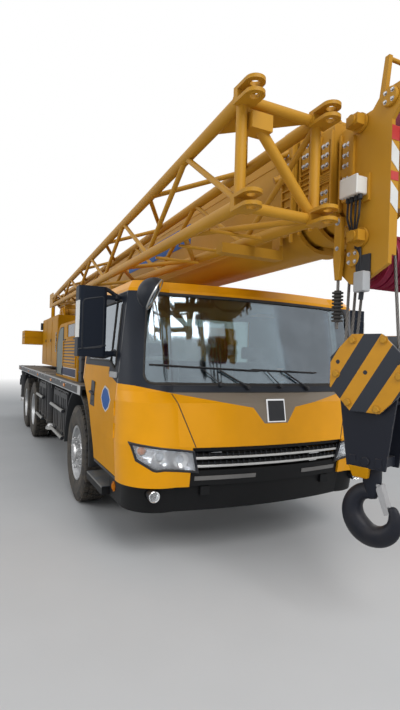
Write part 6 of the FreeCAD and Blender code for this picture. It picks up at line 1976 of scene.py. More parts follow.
    def add_step(self, side: Side) -> None:
        """The step's chequered tread, its nose and the amber marker ahead of it."""
        sign, word = side.value, side.word
        tread, nose, marker = Stock(), Stock(), Stock()
        low, high = between(sign, 1.0, 1.242)
        tread.box((ahead(0.75), low, 0.497), (ahead(1.337), high, 0.5035))
        nose.tube([(ahead(0.748), sign * 1.238, 0.494), (ahead(1.338), sign * 1.238, 0.494)],
                  0.009, 8)
        centre = Vector((ahead(1.49), sign * 1.173, 0.54))
        marker.dome(centre, outward(sign), 0.034, 0.026, 24)
        marker.lathe(((0.034, -0.003), (0.043, -0.003), (0.043, 0.010), (0.034, 0.014)),
                     outward(sign), centre, 24)
        add = self.riding("chassis", word)
        add("step_tread", tread, "step")
        add("step_nose", nose, "trim")
        add("side_marker", marker, "amber")

    def add_seat(self, side: Side) -> None:
        """One seat: crowned cushion, back and head rest on its base."""
        sign, word = side.value, side.word
        y = 0.575 * sign
        self.add_cushions((
            (f"seat_cushion_{word}", (ahead(0.885), y - 0.245, 1.092),
             (ahead(1.395), y + 0.245, 1.199), 0.022, Axis.Z, (y - 0.14, y + 0.14)),
            (f"seat_back_{word}", (ahead(0.77), y - 0.225, 1.14),
             (ahead(0.955), y + 0.225, 1.62), 0.020, Axis.X, (y - 0.13, y + 0.13)),
            (f"seat_rest_{word}", (ahead(0.785), y - 0.13, 1.655),
             (ahead(0.90), y + 0.13, 1.795), 0.015, Axis.X, ()),
        ), "chassis", ["cab_seats"] if side is Side.RIGHT else [])
        posts = Stock()
        for offset in (-0.06, 0.06):
            posts.tube([(ahead(0.855), y + offset, 1.58), (ahead(0.845), y + offset, 1.70)],
                       0.006, 8)
        posts.box((ahead(0.93), y - 0.18, 1.02), (ahead(1.35), y + 0.18, 1.095))
        self.works.piece(f"seat_base_{word}", posts, "black_plastic", "chassis")

    def add_corner_mirror(self) -> None:
        """The corner mirror's bright rim, its glass and its clamp."""
        centre = Vector((ahead(2.09), -1.085, 2.12))
        axis = Vector((-0.38, -0.8, 0.45)).normalized()
        rim, glass, clamp = Stock(), Stock(), Stock()
        rim.lathe(((0.1275, 0.002), (0.1285, -0.003), (0.1275, -0.009), (0.119, -0.009),
                   (0.119, 0.002)), axis, centre, 48)
        glass.dome(centre - axis * 0.002, -axis, 0.119, 0.010, 40)
        arm = Vector((ahead(1.60), -1.04, 2.15))
        along = Vector((1, -0.05, 0.1)).normalized()
        for reach in (0.17, 0.40):
            point = arm + along * reach
            clamp.lathe(((0.012, -0.020), (0.021, -0.018), (0.021, 0.018), (0.012, 0.020)), along,
                        point, 16)
        add = self.riding("chassis")
        add("corner_mirror_rim", rim, "satin")
        add("corner_mirror_glass", glass, "mirror", smooth=60)
        add("corner_mirror_clamp", clamp, "dark")

    def add_inside(self) -> None:
        """The roof lining, the steering wheel, its boss and the dials' hood."""
        shade_under_roof = Stock()
        grid = []
        for i in range(9):
            x = ahead(0.46) + 1.33 * i / 8
            row = []
            for j in range(9):
                y = -1.09 + 2.18 * j / 8
                hit = self.works.cast(("cab_shell",), (x, y, 1.9), (0, 0, 1))
                z = hit[0].z - 0.004 if hit else 2.2
                row.append(Vector((x, y, min(z, 2.245))))
            grid.append(row)
        shade_under_roof.shell(grid, Vector((0, 0, -0.006)))
        add = self.riding("chassis")
        add("roof_lining", shade_under_roof, "liner")
        wheel, spokes = Stock(), Stock()
        centre = Vector((ahead(1.56), 0.575, 1.47))
        axis = Vector((-0.55, 0, 0.83)).normalized()
        wheel.lathe(arc((0.215, 0.0), 0.014, 0.0, math.tau, 10)[:-1], axis, centre, 48)
        across = LEFTWARD
        beside = axis.cross(across)
        for angle in (0.0, 2.2, 4.08):
            out = across * math.cos(angle + 0.5) + beside * math.sin(angle + 0.5)
            spokes.tube([centre - axis * 0.03 + out * 0.04, centre + out * 0.21], 0.011, 8)
        spokes.lathe(((POLE, -0.060), (0.035, -0.060), (0.052, -0.020), (0.050, 0.000),
                      (POLE, 0.006)), axis, centre - axis * 0.02, 24)
        add("steering_rim", wheel, "black_plastic", smooth=50)
        add("steering_spokes", spokes, "black_plastic")


def grooved(stock: Stock, radius: float, bore: float, half: float, centre: Vector) -> None:
    """Adds a rope sheave: hub, dished web and a grooved rim.

    Args:
        stock: The mesh work it is added to.
        radius: The sheave's radius.
        bore: Its bore's radius.
        half: Half its width along Y.
        centre: Its middle.
    """
    web = half * 0.4
    side = [(bore, half), (bore + 0.026, half), (bore + 0.028, web), (radius - 0.045, web),
            (radius - 0.032, half * 0.9), (radius - 0.002, half), (radius, half * 0.86),
            (radius - 0.014, half * 0.42), (radius - 0.019, half * 0.18)]
    profile = [(r, -w) for r, w in side] + [(r, w) for r, w in reversed(side)]
    stock.lathe(profile, LEFTWARD, centre, 56)


@dataclass
class Boom(Assembly):
    """The telescopic boom: section collars, head, sheaves, rope end and its fittings."""

    half: float = 0.29
    nest: float = 0.038
    low: float = 2.44
    high: float = 3.22
    step: float = 0.045
    collar_start: float = ahead(2.62)
    collar_pitch: float = 0.155
    collar_length: float = 0.13
    head_rear: float = ahead(3.27)
    head_front: float = ahead(3.56)
    head_half: float = 0.295
    head_body: str = "boom_5"
    load_axis: Flat = (ahead(3.31), 2.27)
    guide_axis: Flat = (ahead(3.55), 3.10)
    load_sides: tuple[float, ...] = (-0.16, -0.10, -0.04, 0.02, 0.08)

    def build(self) -> None:
        """Builds and dresses the boom."""
        self.paint_all({f"boom_{i}": "boom_yellow" for i in range(1, 6)})
        self.paint_all({"luff_barrel": "boom_yellow", "luff_rod": "chrome", "rope_falls": "rope"})
        for index in range(4):
            self.add_collar(index)
        self.add_first_section()
        self.add_sheaves()
        self.add_head_box()
        self.add_limit_switch()
        self.add_head_bands()
        self.add_head_pins()
        self.add_rope_end()
        self.add_cylinder()

    def add_collar(self, index: int) -> None:
        """A collar's flanges, wear pads, gussets, bolts and the fins on its top."""
        stock, bolts = Stock(), Stock()
        start = self.collar_start + self.collar_pitch * index
        wide = self.half - self.nest * index + 0.038
        low = self.low + self.step * index - 0.015
        high = self.high - self.step * index + 0.06
        end = start + self.collar_length
        for x in (start, end - 0.016):
            for sign in (1, -1):
                a, b = between(sign, wide - 0.004, wide + 0.020)
                stock.box((x, a, low + 0.05), (x + 0.016, b, high - 0.05))
            stock.box((x, -wide + 0.06, high - 0.004), (x + 0.016, wide - 0.06, high + 0.018))
        for sign in (1, -1):
            a, b = between(sign, wide - 0.004, wide + 0.016)
            for z0, z1 in ((low + 0.10, low + 0.27), (high - 0.29, high - 0.10)):
                stock.box((start + 0.028, a, z0), (end - 0.028, b, z1))
                for i in range(3):
                    z = z0 + 0.03 + (z1 - z0 - 0.06) * i / 2
                    for x in (start + 0.047, end - 0.047):
                        bolts.bolt(Vector((x, sign * (wide + 0.014), z)), outward(sign),
                                   0.020, 0.012)
            for k in range(5):
                z = low + 0.30 + (high - low - 0.62) * k / 4
                stock.prism(oblong(start + 0.014, end - 0.014, sign * (wide - 0.003),
                                   sign * (wide + 0.018)), Axis.Z, z, z + 0.010)
        for y in (-0.62 * wide, -0.15 * wide, 0.15 * wide, 0.62 * wide):
            stock.prism([(start + 0.01, high - 0.004), (end - 0.01, high - 0.004),
                         (end - 0.035, high + 0.022), (start + 0.075, high + 0.064),
                         (start + 0.045, high + 0.064)], Axis.Y, y - 0.008, y + 0.008)
        body = f"boom_{index + 1}"
        add = self.riding(body)
        add(f"collar_{index + 1}", stock, "boom_yellow", bevel=0.0025)
        add(f"collar_bolts_{index + 1}", bolts, "steel")

    def add_first_section(self) -> None:
        """The outer section's rope guides, side stubs, weld seams and plain blue panel."""
        stock, panel, seams = Stock(), Stock(), Stock()
        for y, z in ((-0.345, 3.105), (-0.345, 2.945)):
            stock.tube([(ahead(2.655), y - 0.085, z - 0.035), (ahead(2.70), y + 0.03, z + 0.02)],
                       0.024, 14)
            stock.box((ahead(2.655), y - 0.004, z - 0.04), (ahead(2.745), y + 0.02, z + 0.045))
        top = self.high
        for x in (ahead(-3.6), ahead(-2.2), ahead(-0.8), ahead(0.6), ahead(1.9)):
            for y in (-0.16, 0.16):
                stock.box((x - 0.012, y - 0.02, top - 0.004), (x + 0.012, y + 0.02, top + 0.045))
            stock.tube([(x, -0.17, top + 0.035), (x, 0.17, top + 0.035)], 0.012, 10)
        for sign in (1, -1):
            a, b = between(sign, self.half - 0.002, self.half + 0.004)
            panel.box((ahead(-1.2), a, 2.84), (ahead(0.95), b, 3.05))
        for sign in (1, -1):
            for z in (self.low + 0.115, self.high - 0.115):
                seams.tube([(ahead(-6.0), sign * self.half, z), (ahead(2.60), sign * self.half, z)],
                           0.0055, 6)
        add = self.riding("boom_1")
        add("boom_fittings", stock, "boom_yellow", bevel=0.002)
        add("boom_panel", panel, "blue", bevel=0.001)
        add("boom_seams", seams, "boom_yellow")

    def add_sheaves(self) -> None:
        """The load sheaves and the guide sheaves, each row on its hub."""
        rows = (("load_sheaves", self.load_axis, 0.165, self.load_sides),
                ("guide_sheaves", self.guide_axis, 0.195, (-0.10, 0.10)))
        for name, (x, z), radius, sides in rows:
            stock, hub = Stock(), Stock()
            for side in sides:
                grooved(stock, radius, 0.050, 0.022, Vector((x, side, z)))
            hub.ring(0.037, 0.060, -0.268, 0.268, LEFTWARD, Vector((x, 0, z)))
            self.works.piece(f"{name}_discs", stock, "magenta", name, replaces=[name])
            self.works.piece(f"{name}_hub", hub, "steel", name)

    def add_head_box(self) -> None:
        """The white box on the head's right side, its lid, its plate and the cables below it."""
        x = ahead(3.345)
        out = -self.head_half
        box, lid, glands, bracket = Stock(), Stock(), Stock(), Stock()
        box.box((x - 0.065, out - 0.085, 2.612), (x + 0.065, out - 0.012, 2.712))
        lid.box((x - 0.070, out - 0.098, 2.606), (x + 0.070, out - 0.083, 2.718))
        bracket.box((x - 0.075, out - 0.014, 2.58), (x + 0.075, out + 0.002, 2.735))
        for k, y in enumerate((-0.045, -0.015, 0.020, 0.050)):
            start = (x + y, out - 0.050, 2.614)
            glands.disc(0.013, 0.0, 0.030, Vector((0, 0, -1)), Vector(start), 16, 0.003)
            ends = ((x + y - 0.01, out - 0.045, 2.50), (x + y * 0.4 - 0.03, out - 0.020, 2.42),
                    (x - 0.02 + 0.012 * k, out - 0.009, 2.34), (x + 0.012 * k, out - 0.009, 2.16))
            glands.tube([start, *ends], 0.0062, 8, 0.05)
        add = self.riding(self.head_body)
        add("head_box", box, "white", bevel=0.008)
        add("head_box_lid", lid, "white", bevel=0.006)
        add("head_box_plate", bracket, "boom_yellow", bevel=0.002)
        add("head_cables", glands, "black_plastic")

    def add_limit_switch(self) -> None:
        """The limit switch on the head's right side, its bracket and its arm."""
        out = -self.head_half
        switch, arm = Stock(), Stock()
        x, y, z = ahead(3.41), out - 0.034, 2.115
        switch.box((x - 0.040, y - 0.030, z - 0.058), (x + 0.040, y + 0.026, z + 0.058))
        arm.box((x - 0.03, out - 0.012, z + 0.02), (x + 0.03, out + 0.003, z + 0.16))
        arm.tube([(x, y, z - 0.05), (x - 0.006, y, z - 0.10)], 0.014, 12)
        add = self.riding(self.head_body)
        add("limit_switch", switch, "pale_grey", bevel=0.009)
        add("limit_switch_arm", arm, "black_plastic", bevel=0.002)

    def add_head_bands(self) -> None:
        """The white and red bands painted across the head's front."""
        bands, red = Stock(), Stock()
        front = self.head_front
        for sign in (1, -1):
            a, b = between(sign, 0.237, 0.293)
            for z0, z1 in ((2.725, 2.833), (2.498, 2.615)):
                corners = [(a, z0 + 0.03), (b, z0 - 0.02), (b, z1 - 0.02), (a, z1 + 0.03)]
                bands.prism(corners, Axis.X, front - 0.002, front + 0.0025)
            red.box((front - 0.002, a, 2.87), (front + 0.002, b, 2.948))
            red.box((front - 0.002, a, 2.652), (front + 0.002, b, 2.70))
        add = self.riding(self.head_body)
        add("head_bands", bands, "white")
        add("head_bands_red", red, "red")

    def add_head_pins(self) -> None:
        """The sheave axles' caps with their bolts, the jib's pins and the head's ribs."""
        pins, ends = Stock(), Stock()
        radius = 0.052
        for sign in (1, -1):
            out = outward(sign)
            for x, z in (self.load_axis, self.guide_axis):
                centre = Vector((x, sign * (self.head_half - 0.002), z))
                pins.disc(radius, 0.0, 0.022, out, centre, 28, 0.004)
                for way in directions(4, 0.5):
                    ends.bolt(centre + way * radius * 0.66 + out * 0.020, out, 0.016, 0.010)
            for z, x in ((3.05, ahead(3.335)), (2.38, ahead(3.365))):
                pins.lathe(((POLE, 0.0), (0.030, 0.0), (0.030, 0.012), (POLE, 0.014)), out,
                           Vector((x, sign * (self.head_half + 0.073), z)), 20)
                pins.ring(0.030, 0.056, 0.004, 0.020, out,
                          Vector((x, sign * self.head_half, z)), 24)
            rib = oblong(self.head_rear + 0.004, self.head_rear + 0.024, 2.46, 3.0)
            low, high = between(sign, self.head_half - 0.002, self.head_half + 0.018)
            pins.prism(rib, Axis.Y, low, high)
        add = self.riding(self.head_body)
        add("head_pins", pins, "boom_yellow", bevel=0.002)
        add("head_pin_bolts", ends, "steel")

    def add_rope_end(self) -> None:
        """The rope's wedge socket, its pin, the rope below it and the ribbed rubber guard."""
        x, z = self.head_rear - 0.06, 2.50
        side = -self.head_half - 0.027
        socket, rope, guard, pin = Stock(), Stock(), Stock(), Stock()
        socket.prism([(x - 0.026, z + 0.030), (x + 0.026, z + 0.030), (x + 0.034, z - 0.23),
                      (x + 0.016, z - 0.35), (x - 0.016, z - 0.35), (x - 0.034, z - 0.23)],
                     Axis.Y, side - 0.016, side + 0.016)
        pin.bolt(Vector((x, side - 0.016, z)), Vector((0, -1, 0)), 0.026, 0.014)
        pin.bolt(Vector((x, side - 0.016, z - 0.16)), Vector((0, -1, 0)), 0.018, 0.010)
        rope.tube([(x, side, z - 0.34), (x, side, z - 0.64)], 0.009, 12)
        profile = [(0.0095, -0.60)]
        for k in range(9):
            low = -0.60 + 0.021 * k
            profile += [(0.033, low + 0.002), (0.0335, low + 0.011), (0.021, low + 0.014),
                        (0.021, low + 0.020)]
        profile.append((0.0095, -0.41))
        guard.lathe(profile, UP, Vector((x, side, z)), 28)
        add = self.riding("dead_end")
        add("rope_socket", socket, "boom_yellow", bevel=0.004, replaces=["dead_end"])
        add("rope_socket_pins", pin, "steel")
        add("rope_tail", rope, "rope", slot="rope_steel")
        add("rope_guard", guard, "seal", smooth=40)

    def add_cylinder(self) -> None:
        """The luffing cylinder's bands and its two pipes with their clips."""
        foot, eye = Vector((-3.3725, 0, 1.62)), Vector((-0.6725, 0, 2.30))
        along = (eye - foot).normalized()
        reach = (eye - foot).length
        stock, hose = Stock(), Stock()
        for start, end, radius in ((0.10, 0.13, 0.126), (0.80, 0.83, 0.126),
                                   (reach - 0.175, reach - 0.132, 0.1235)):
            stock.ring(0.119, radius, start, end, along, foot, 48)
        over = Vector((-along.z, 0, along.x))
        for side in (-0.03, 0.03):
            hose.tube([foot + along * station + over * 0.131 + Vector((0, side, 0))
                       for station in (0.25, reach - 0.25)], 0.010, 10)
        for share in (0.3, 0.55, 0.8):
            point = foot + along * reach * share + over * 0.126
            stock.box(tuple(point - Vector((0.02, 0.05, 0.012))),
                      tuple(point + Vector((0.02, 0.05, 0.018))))
        add = self.riding("luff_barrel")
        add("luff_bands", stock, "boom_yellow", bevel=0.002)
        add("luff_pipes", hose, "steel")


@dataclass
class Jib(Assembly):
    """The lattice jib carried on the boom's right side: eyes, weld collars and rungs."""

    base: float = ahead(3.25)
    corners: tuple[Flat, ...] = ((-0.53, 2.48), (-1.03, 2.48), (-0.53, 3.05), (-1.03, 3.05))

    def build(self) -> None:
        """Builds and dresses the jib."""
        self.works.paint("jib", "boom_yellow")
        eyes, welds = Stock(), Stock()
        for y, z in self.corners:
            for level in (-0.043, 0.023):
                centre = Vector((self.base + 0.095, y, z + level))
                eyes.ring(0.0262, 0.037, -0.003, 0.023, UP, centre, 28)
            welds.lathe(((0.0375, 0.0), (0.044, 0.004), (0.044, 0.030), (0.0375, 0.036)),
                        FORWARD, Vector((self.base - 0.062, y, z)), 24)
        add = self.riding("boom_1")
        add("jib_eyes", eyes, "boom_yellow", bevel=0.002)
        add("jib_welds", welds, "boom_yellow")
        clips = Stock()
        for share in (0.06, 0.12, 0.18):
            x = self.base - 8.0 * share
            clips.tube([(x, -0.98, 2.46), (x, -0.60, 2.46)], 0.012, 8)
        add("jib_rungs", clips, "boom_yellow")


@dataclass
class HookBlock(Assembly):
    """The hook block and its swivelling hook, hanging turned on the falls."""

    middle: Point = (ahead(3.31), -0.10, 1.60)
    turn: float = 18.0
    half: float = 0.23
    cheek: Flat = (0.096, 0.130)
    crosshead: float = 1.04
    ring_centre: float = 0.745
    ring_radius: float = 0.142
    bar: float = 0.058
    fall_sides: tuple[float, ...] = (-0.06, 0.0, 0.06)
    fall_offset: float = 0.1743
    fall_top: float = 2.27
    fall_travel: float = 0.46

    def build(self) -> None:
        """Builds and dresses the block and the hook."""
        self.add_cheeks()
        self.add_hangers()
        self.add_inside()
        self.add_ropes()
        self.add_hook()
        self.add_latch()

    def hung(self, stock: Stock) -> Stock:
        """Turns stock from the block's own length, width and height to where it hangs."""
        x, y, _ = self.middle
        turn = Matrix.Translation((x, y, 0)) @ Matrix.Rotation(math.radians(self.turn), 4, "Z")
        stock.work.transform(turn)
        return stock

    def add_cheeks(self) -> None:
        """The striped eight-sided cheeks, their bolts and the dark rims."""
        z = self.middle[2]
        half, flat = self.half, self.half * 0.4
        outline = [(-flat, z + half), (flat, z + half), (half, z + flat), (half, z - flat),
                   (flat, z - half), (-flat, z - half), (-half, z - flat), (-half, z + flat)]
        inner = [(u * 0.985, z + (v - z) * 0.985) for u, v in outline]
        cheeks, bolts, backs, holes = Stock(), Stock(), Stock(), Stock()
        for sign in (1, -1):
            low, high = between(sign, self.cheek[1] - 0.012, self.cheek[1])
            cheeks.prism(outline, Axis.Y, low, high)
            low, high = between(sign, self.cheek[0], self.cheek[1] - 0.011)
            backs.prism(inner, Axis.Y, low, high)
            face = sign * (self.cheek[1] - 0.001)
            for u, v in ((-0.085, 0.192), (0.105, 0.192), (0.200, -0.012), (-0.188, -0.012),
                         (0.075, -0.205), (-0.105, -0.180)):
                bolts.bolt(Vector((u, face, z + v)), outward(sign), 0.034, 0.016)
            for u, v in ((-0.178, 0.062), (0.192, 0.066), (0.0, 0.004)):
                holes.disc(0.013, 0.0, 0.0022, outward(sign), Vector((u, face, z + v)), 18)
        add = self.riding("hook_block")
        add("block_cheeks", self.hung(cheeks), "hazard", bevel=0.003, replaces=["hook_block"])
        add("block_cheek_backs", self.hung(backs), "grey", bevel=0.002)
        add("block_bolts", self.hung(bolts), "boom_yellow")
        add("block_holes", self.hung(holes), "black_plastic")

    def add_hangers(self) -> None:
        """The dark hanger plates, the crosshead between them and its yellow end blocks."""
        z = self.middle[2]
        plates, ends = Stock(), Stock()
        outline = [(-0.184, z - 0.09), (-0.150, z - 0.02), (0.150, z - 0.02), (0.184, z - 0.09),
                   (0.120, self.crosshead), (-0.120, self.crosshead)]
        for sign in (1, -1):
            low, high = between(sign, 0.080, 0.0955)
            plates.prism(outline, Axis.Y, low, high)
            a, b = between(sign, 0.064, 0.1005)
            ends.prism([(-0.108, self.crosshead + 0.004), (-0.078, self.crosshead - 0.062),
                        (0.012, self.crosshead - 0.062), (0.022, self.crosshead + 0.004)],
                       Axis.Y, a, b)
            plates.disc(0.026, 0.0, 0.010, outward(sign),
                        Vector((0.0, sign * 0.095, self.crosshead + 0.040)), 20, 0.003)
        head = Stock()
        head.ring(0.0352, 0.078, 0.0, 0.08, UP, Vector((0, 0, self.crosshead)), 36)
        for start in (-0.100, 0.060):
            head.box((start, -0.100, self.crosshead + 0.012),
                     (start + 0.040, 0.100, self.crosshead + 0.068))
        add = self.riding("hook_block")
        add("block_hangers", self.hung(plates), "hook", bevel=0.003)
        add("block_crosshead", self.hung(head), "hook", bevel=0.003)
        add("block_trunnion_caps", self.hung(ends), "yellow", bevel=0.006)

    def add_inside(self) -> None:
        """The block's sheaves, their axle and the spacer bars round them."""
        z = self.middle[2]
        sheaves, bars = Stock(), Stock()
        for side in self.fall_sides:
            grooved(sheaves, 0.153, 0.035, 0.022, Vector((0, side, z)))
        bars.disc(0.034, -0.101, 0.101, LEFTWARD, Vector((0, 0, z)), 28, 0.003)
        for u, v in ((-0.212, 0.02), (-0.12, -0.175), (0.12, -0.175), (0.212, 0.02), (0.0, -0.205)):
            bars.disc(0.012, -0.0965, 0.0965, LEFTWARD, Vector((u, 0, z + v)), 16)
        add = self.riding("hook_block")
        add("block_sheaves", self.hung(sheaves), "cast")
        add("block_bars", self.hung(bars), "hook")

    def add_ropes(self) -> None:
        """Rope that lies inside the falls at rest and follows the block as it is lowered."""
        middle = Vector(self.middle)
        turn = Matrix.Rotation(math.radians(self.turn), 4, "Z")
        ropes = Stock()
        for side in self.fall_sides:
            for offset in (-self.fall_offset, self.fall_offset):
                low = middle + turn @ Vector((offset, side, 0))
                high = Vector((middle.x + offset, middle.y + side, self.fall_top))
                share = self.fall_travel / (high.z - low.z)
                ropes.tube([low, low.lerp(high, share)], 0.0088, 12)
        self.works.piece("block_ropes", ropes, "rope", "hook_block", slot="rope_steel",
                         smooth=60)

    def hook_section(self, t: float) -> list[Vector]:
        """The hook's section at a share of its way from the neck to the tip.

        Args:
            t: The share of the way.

        Returns:
            The section's points.
        """
        angle = math.radians(88 + 296 * t)
        belly = math.sin(math.pi * min(1.0, max(0.0, (t - 0.06) / 0.84))) ** 1.3
        thick = self.bar * (0.84 + 0.44 * belly)
        if t > 0.80:
            thick *= 1 - 0.42 * ((t - 0.80) / 0.20) ** 1.4
        radius = self.ring_radius - 0.034 * belly
        radial = Vector((math.cos(angle), 0, math.sin(angle)))
        centre = Vector((0, 0, self.ring_centre)) + radial * radius
        section = []
        for k in range(18):
            turn = math.tau * k / 18
            deep = math.cos(turn) * thick * (1.08 if math.cos(turn) > 0 else 0.94)
            wide = math.sin(turn) * thick * (0.84 - 0.14 * math.cos(turn))
            section.append(centre + radial * deep + Vector((0, wide, 0)))
        return section

    def add_hook(self) -> None:
        """The forged hook: a tapered bowl, its neck, its shank and the nut."""
        body = Stock()
        count = 44
        rings = [self.hook_section(i / count) for i in range(count + 1)]
        tip = rings[-1]
        middle = sum(tip, Vector()) / len(tip)
        onward = Vector((-math.sin(math.radians(24)), 0, math.cos(math.radians(24))))
        for reach, size in ((0.012, 0.82), (0.020, 0.50), (0.023, 0.15)):
            rings.append([middle + (point - middle) * size + onward * reach for point in tip])
        body.loops(rings, False, True)
        body.lathe(((POLE, 0.845), (0.030, 0.850), (0.043, 0.880), (0.046, 0.915), (0.055, 0.945),
                    (0.0555, 1.030), (0.050, 1.0385), (0.0335, 1.0385), (0.0335, 1.122),
                    (POLE, 1.122)), UP, Vector(), 36)
        nut = Stock()
        nut.disc(0.056, 1.1215, 1.150, UP, Vector(), 6, 0.004)
        nut.disc(0.030, 1.150, 1.159, UP, Vector(), 24, 0.003)
        add = self.riding("hook")
        add("hook_body", self.hung(body), "hook", smooth=50, slot="cast_iron", replaces=["hook"])
        add("hook_nut", self.hung(nut), "steel", bevel=0.002)

    def add_latch(self) -> None:
        """The hook's spring latch and its pin."""
        latch = Stock()
        top = Vector((0.046, 0, 0.938))
        foot = Vector((0.104, 0, 0.775))
        along = (foot - top).normalized()
        over = Vector((-along.z, 0, along.x))
        for side in (-0.026, 0.020):
            corners = [top + over * 0.022, top - over * 0.020, foot - over * 0.016,
                       foot + over * 0.016]
            latch.loops([[point + Vector((0, side, 0)) for point in corners],
                         [point + Vector((0, side + 0.006, 0)) for point in corners]], False, True)
        back = [top + over * 0.022, top + over * 0.016, foot + over * 0.010, foot + over * 0.016]
        latch.loops([[point + Vector((0, -0.026, 0)) for point in back],
                     [point + Vector((0, 0.026, 0)) for point in back]], False, True)
        latch.tube([top + Vector((0, -0.034, 0)), top + Vector((0, 0.034, 0))], 0.008, 14)
        self.works.piece("hook_latch", self.hung(latch), "steel", "hook", bevel=0.0015)


@dataclass
class Carrier(Assembly):
    """The carrier: frame, deck, side boxes, outriggers and the drive line."""

    half: float = 1.25
    deck_top: float = 1.31
    deck_ends: Flat = (-5.4525, 2.2575)
    box_face: float = 1.17
    box_heights: Flat = (0.52, 1.15)
    boxes: tuple[Flat, ...] = ((ahead(-1.96), ahead(-0.80)), (ahead(-3.70), ahead(-2.76)))
    guard_heights: Flat = (0.55, 0.90)
    outriggers: tuple[tuple[str, float], ...] = (("front", ahead(-2.35)), ("rear", ahead(-6.86)))

    def build(self) -> None:
        """Builds and dresses the carrier."""
        finishes = {"frame": "chassis", "deck": "chequer", "axles": "cast", "engine": "cast",
                    "knuckle_left": "cast", "knuckle_right": "cast", "side_boxes": "boxes"}
        for label, _ in self.outriggers:
            for side in SIDES:
                finishes[f"outrigger_{label}_{side.word}"] = "outrigger"
                finishes[f"jack_{label}_{side.word}"] = "satin"
        self.paint_all(finishes)
        self.add_deck()
        for side in SIDES:
            self.add_boxes(side)
            self.add_deck_edge(side)
            for label, station in self.outriggers:
                self.add_outrigger(side, label, station)
        self.add_rear()

    def add_deck(self) -> None:
        """The deck's panel joints, hatches with their bolts and sunk grips."""
        joints, hatches, bolts = Stock(), Stock(), Stock()
        z = self.deck_top
        for x in (-4.9, -4.05, -1.95, -0.75, 0.55, 1.62):
            for sign in (1, -1):
                low, high = between(sign, 1.13, 1.228)
                joints.box((x - 0.004, low, z - 0.002), (x + 0.004, high, z + 0.002))
        for sign in (1, -1):
            low, high = between(sign, 0.86, 1.22)
            for start, end in ((-5.33, -4.98), (-2.02, -1.42), (-0.98, -0.42)):
                hatches.box((start, low, z - 0.002), (end, high, z + 0.005))
                for x in (start + 0.03, end - 0.03):
                    for y in (low + 0.03, high - 0.03):
                        bolts.bolt(Vector((x, y, z + 0.004)), UP, 0.018, 0.008)
        add = self.riding("chassis")
        add("deck_joints", joints, "seal")
        add("deck_hatches", hatches, "chequer", bevel=0.002)
        add("deck_bolts", bolts, "steel")

    def add_deck_edge(self, side: Side) -> None:
        """The bright strip along the deck's edge, its corner plate and the side markers."""
        sign, word = side.value, side.word
        strip, corner, markers, bolts = Stock(), Stock(), Stock(), Stock()
        z = self.deck_top
        rear, front = self.deck_ends
        for stock, start, end, deep, proud, low_z, high_z in (
                (strip, rear + 0.01, front - 0.16, 0.030, 0.0022, -0.010, 0.0025),
                (strip, rear + 0.01, front - 0.16, 0.002, 0.0022, -0.0995, -0.088),
                (corner, front - 0.16, front - 0.002, 0.16, 0.004, -0.006, 0.004),
                (corner, front - 0.16, front - 0.002, 0.004, 0.004, -0.098, 0.004)):
            low, high = between(sign, self.half - deep, self.half + proud)
            stock.box((start, low, z + low_z), (end, high, z + high_z))
        for x in (-5.1, -3.1, -1.5, 0.1, 1.25):
            low, high = between(sign, self.half - 0.002, self.half + 0.008)
            markers.box((x - 0.045, low, z - 0.068), (x + 0.045, high, z - 0.032))
        for i in range(19):
            x = rear + 0.2 + 0.39 * i
            bolts.bolt(Vector((x, sign * (self.half - 0.001), z - 0.026)), outward(sign),
                       0.014, 0.006)
        add = self.riding("chassis", word)
        add("deck_strip", strip, "pale_grey", bevel=0.001)
        add("deck_corner", corner, "satin", bevel=0.002)
        add("side_markers", markers, "amber", bevel=0.003)
        add("deck_edge_bolts", bolts, "steel")

    def add_boxes(self, side: Side) -> None:
        """The side boxes' ribbed doors, their hinges and latches, and the guards' end caps."""
        sign, word = side.value, side.word
        doors, fittings, caps = Stock(), Stock(), Stock()
        low_z, high_z = self.box_heights
        for start, end in self.boxes:
            middle = (start + end) / 2
            for x0, x1 in ((start + 0.02, middle - 0.008), (middle + 0.008, end - 0.02)):
                low, high = between(sign, self.box_face - 0.002, self.box_face + 0.012)
                doors.box((x0, low, low_z + 0.03), (x1, high, high_z - 0.03))
                low, high = between(sign, self.box_face + 0.010, self.box_face + 0.020)
                for k in range(3):
                    x = x0 + (x1 - x0) * (k + 1) / 4
                    doors.box((x - 0.018, low, low_z + 0.09), (x + 0.018, high, high_z - 0.10))
                for x in (x0 + 0.09, x1 - 0.09):
                    fittings.tube([(x - 0.03, sign * (self.box_face + 0.010), high_z - 0.028),
                                   (x + 0.03, sign * (self.box_face + 0.010), high_z - 0.028)],
                                  0.010, 10)
                x = (x0 + x1) / 2
                low, high = between(sign, self.box_face + 0.008, self.box_face + 0.026)
                fittings.box((x - 0.045, low, low_z + 0.045), (x + 0.045, high, low_z + 0.080))
            for z in self.guard_heights:
                for x, way in ((start + 0.06, -1), (end - 0.06, 1)):
                    caps.disc(0.0225, 0.0, 0.006, Vector((way, 0, 0)),
                              Vector((x - 0.0005 * way, sign * 1.226, z)), 20, 0.002)
        add = self.riding("chassis", word)
        add("box_doors", doors, "boxes", bevel=0.004)
        add("box_fittings", fittings, "black_plastic", bevel=0.003)
        add("guard_caps", caps, "black_plastic")

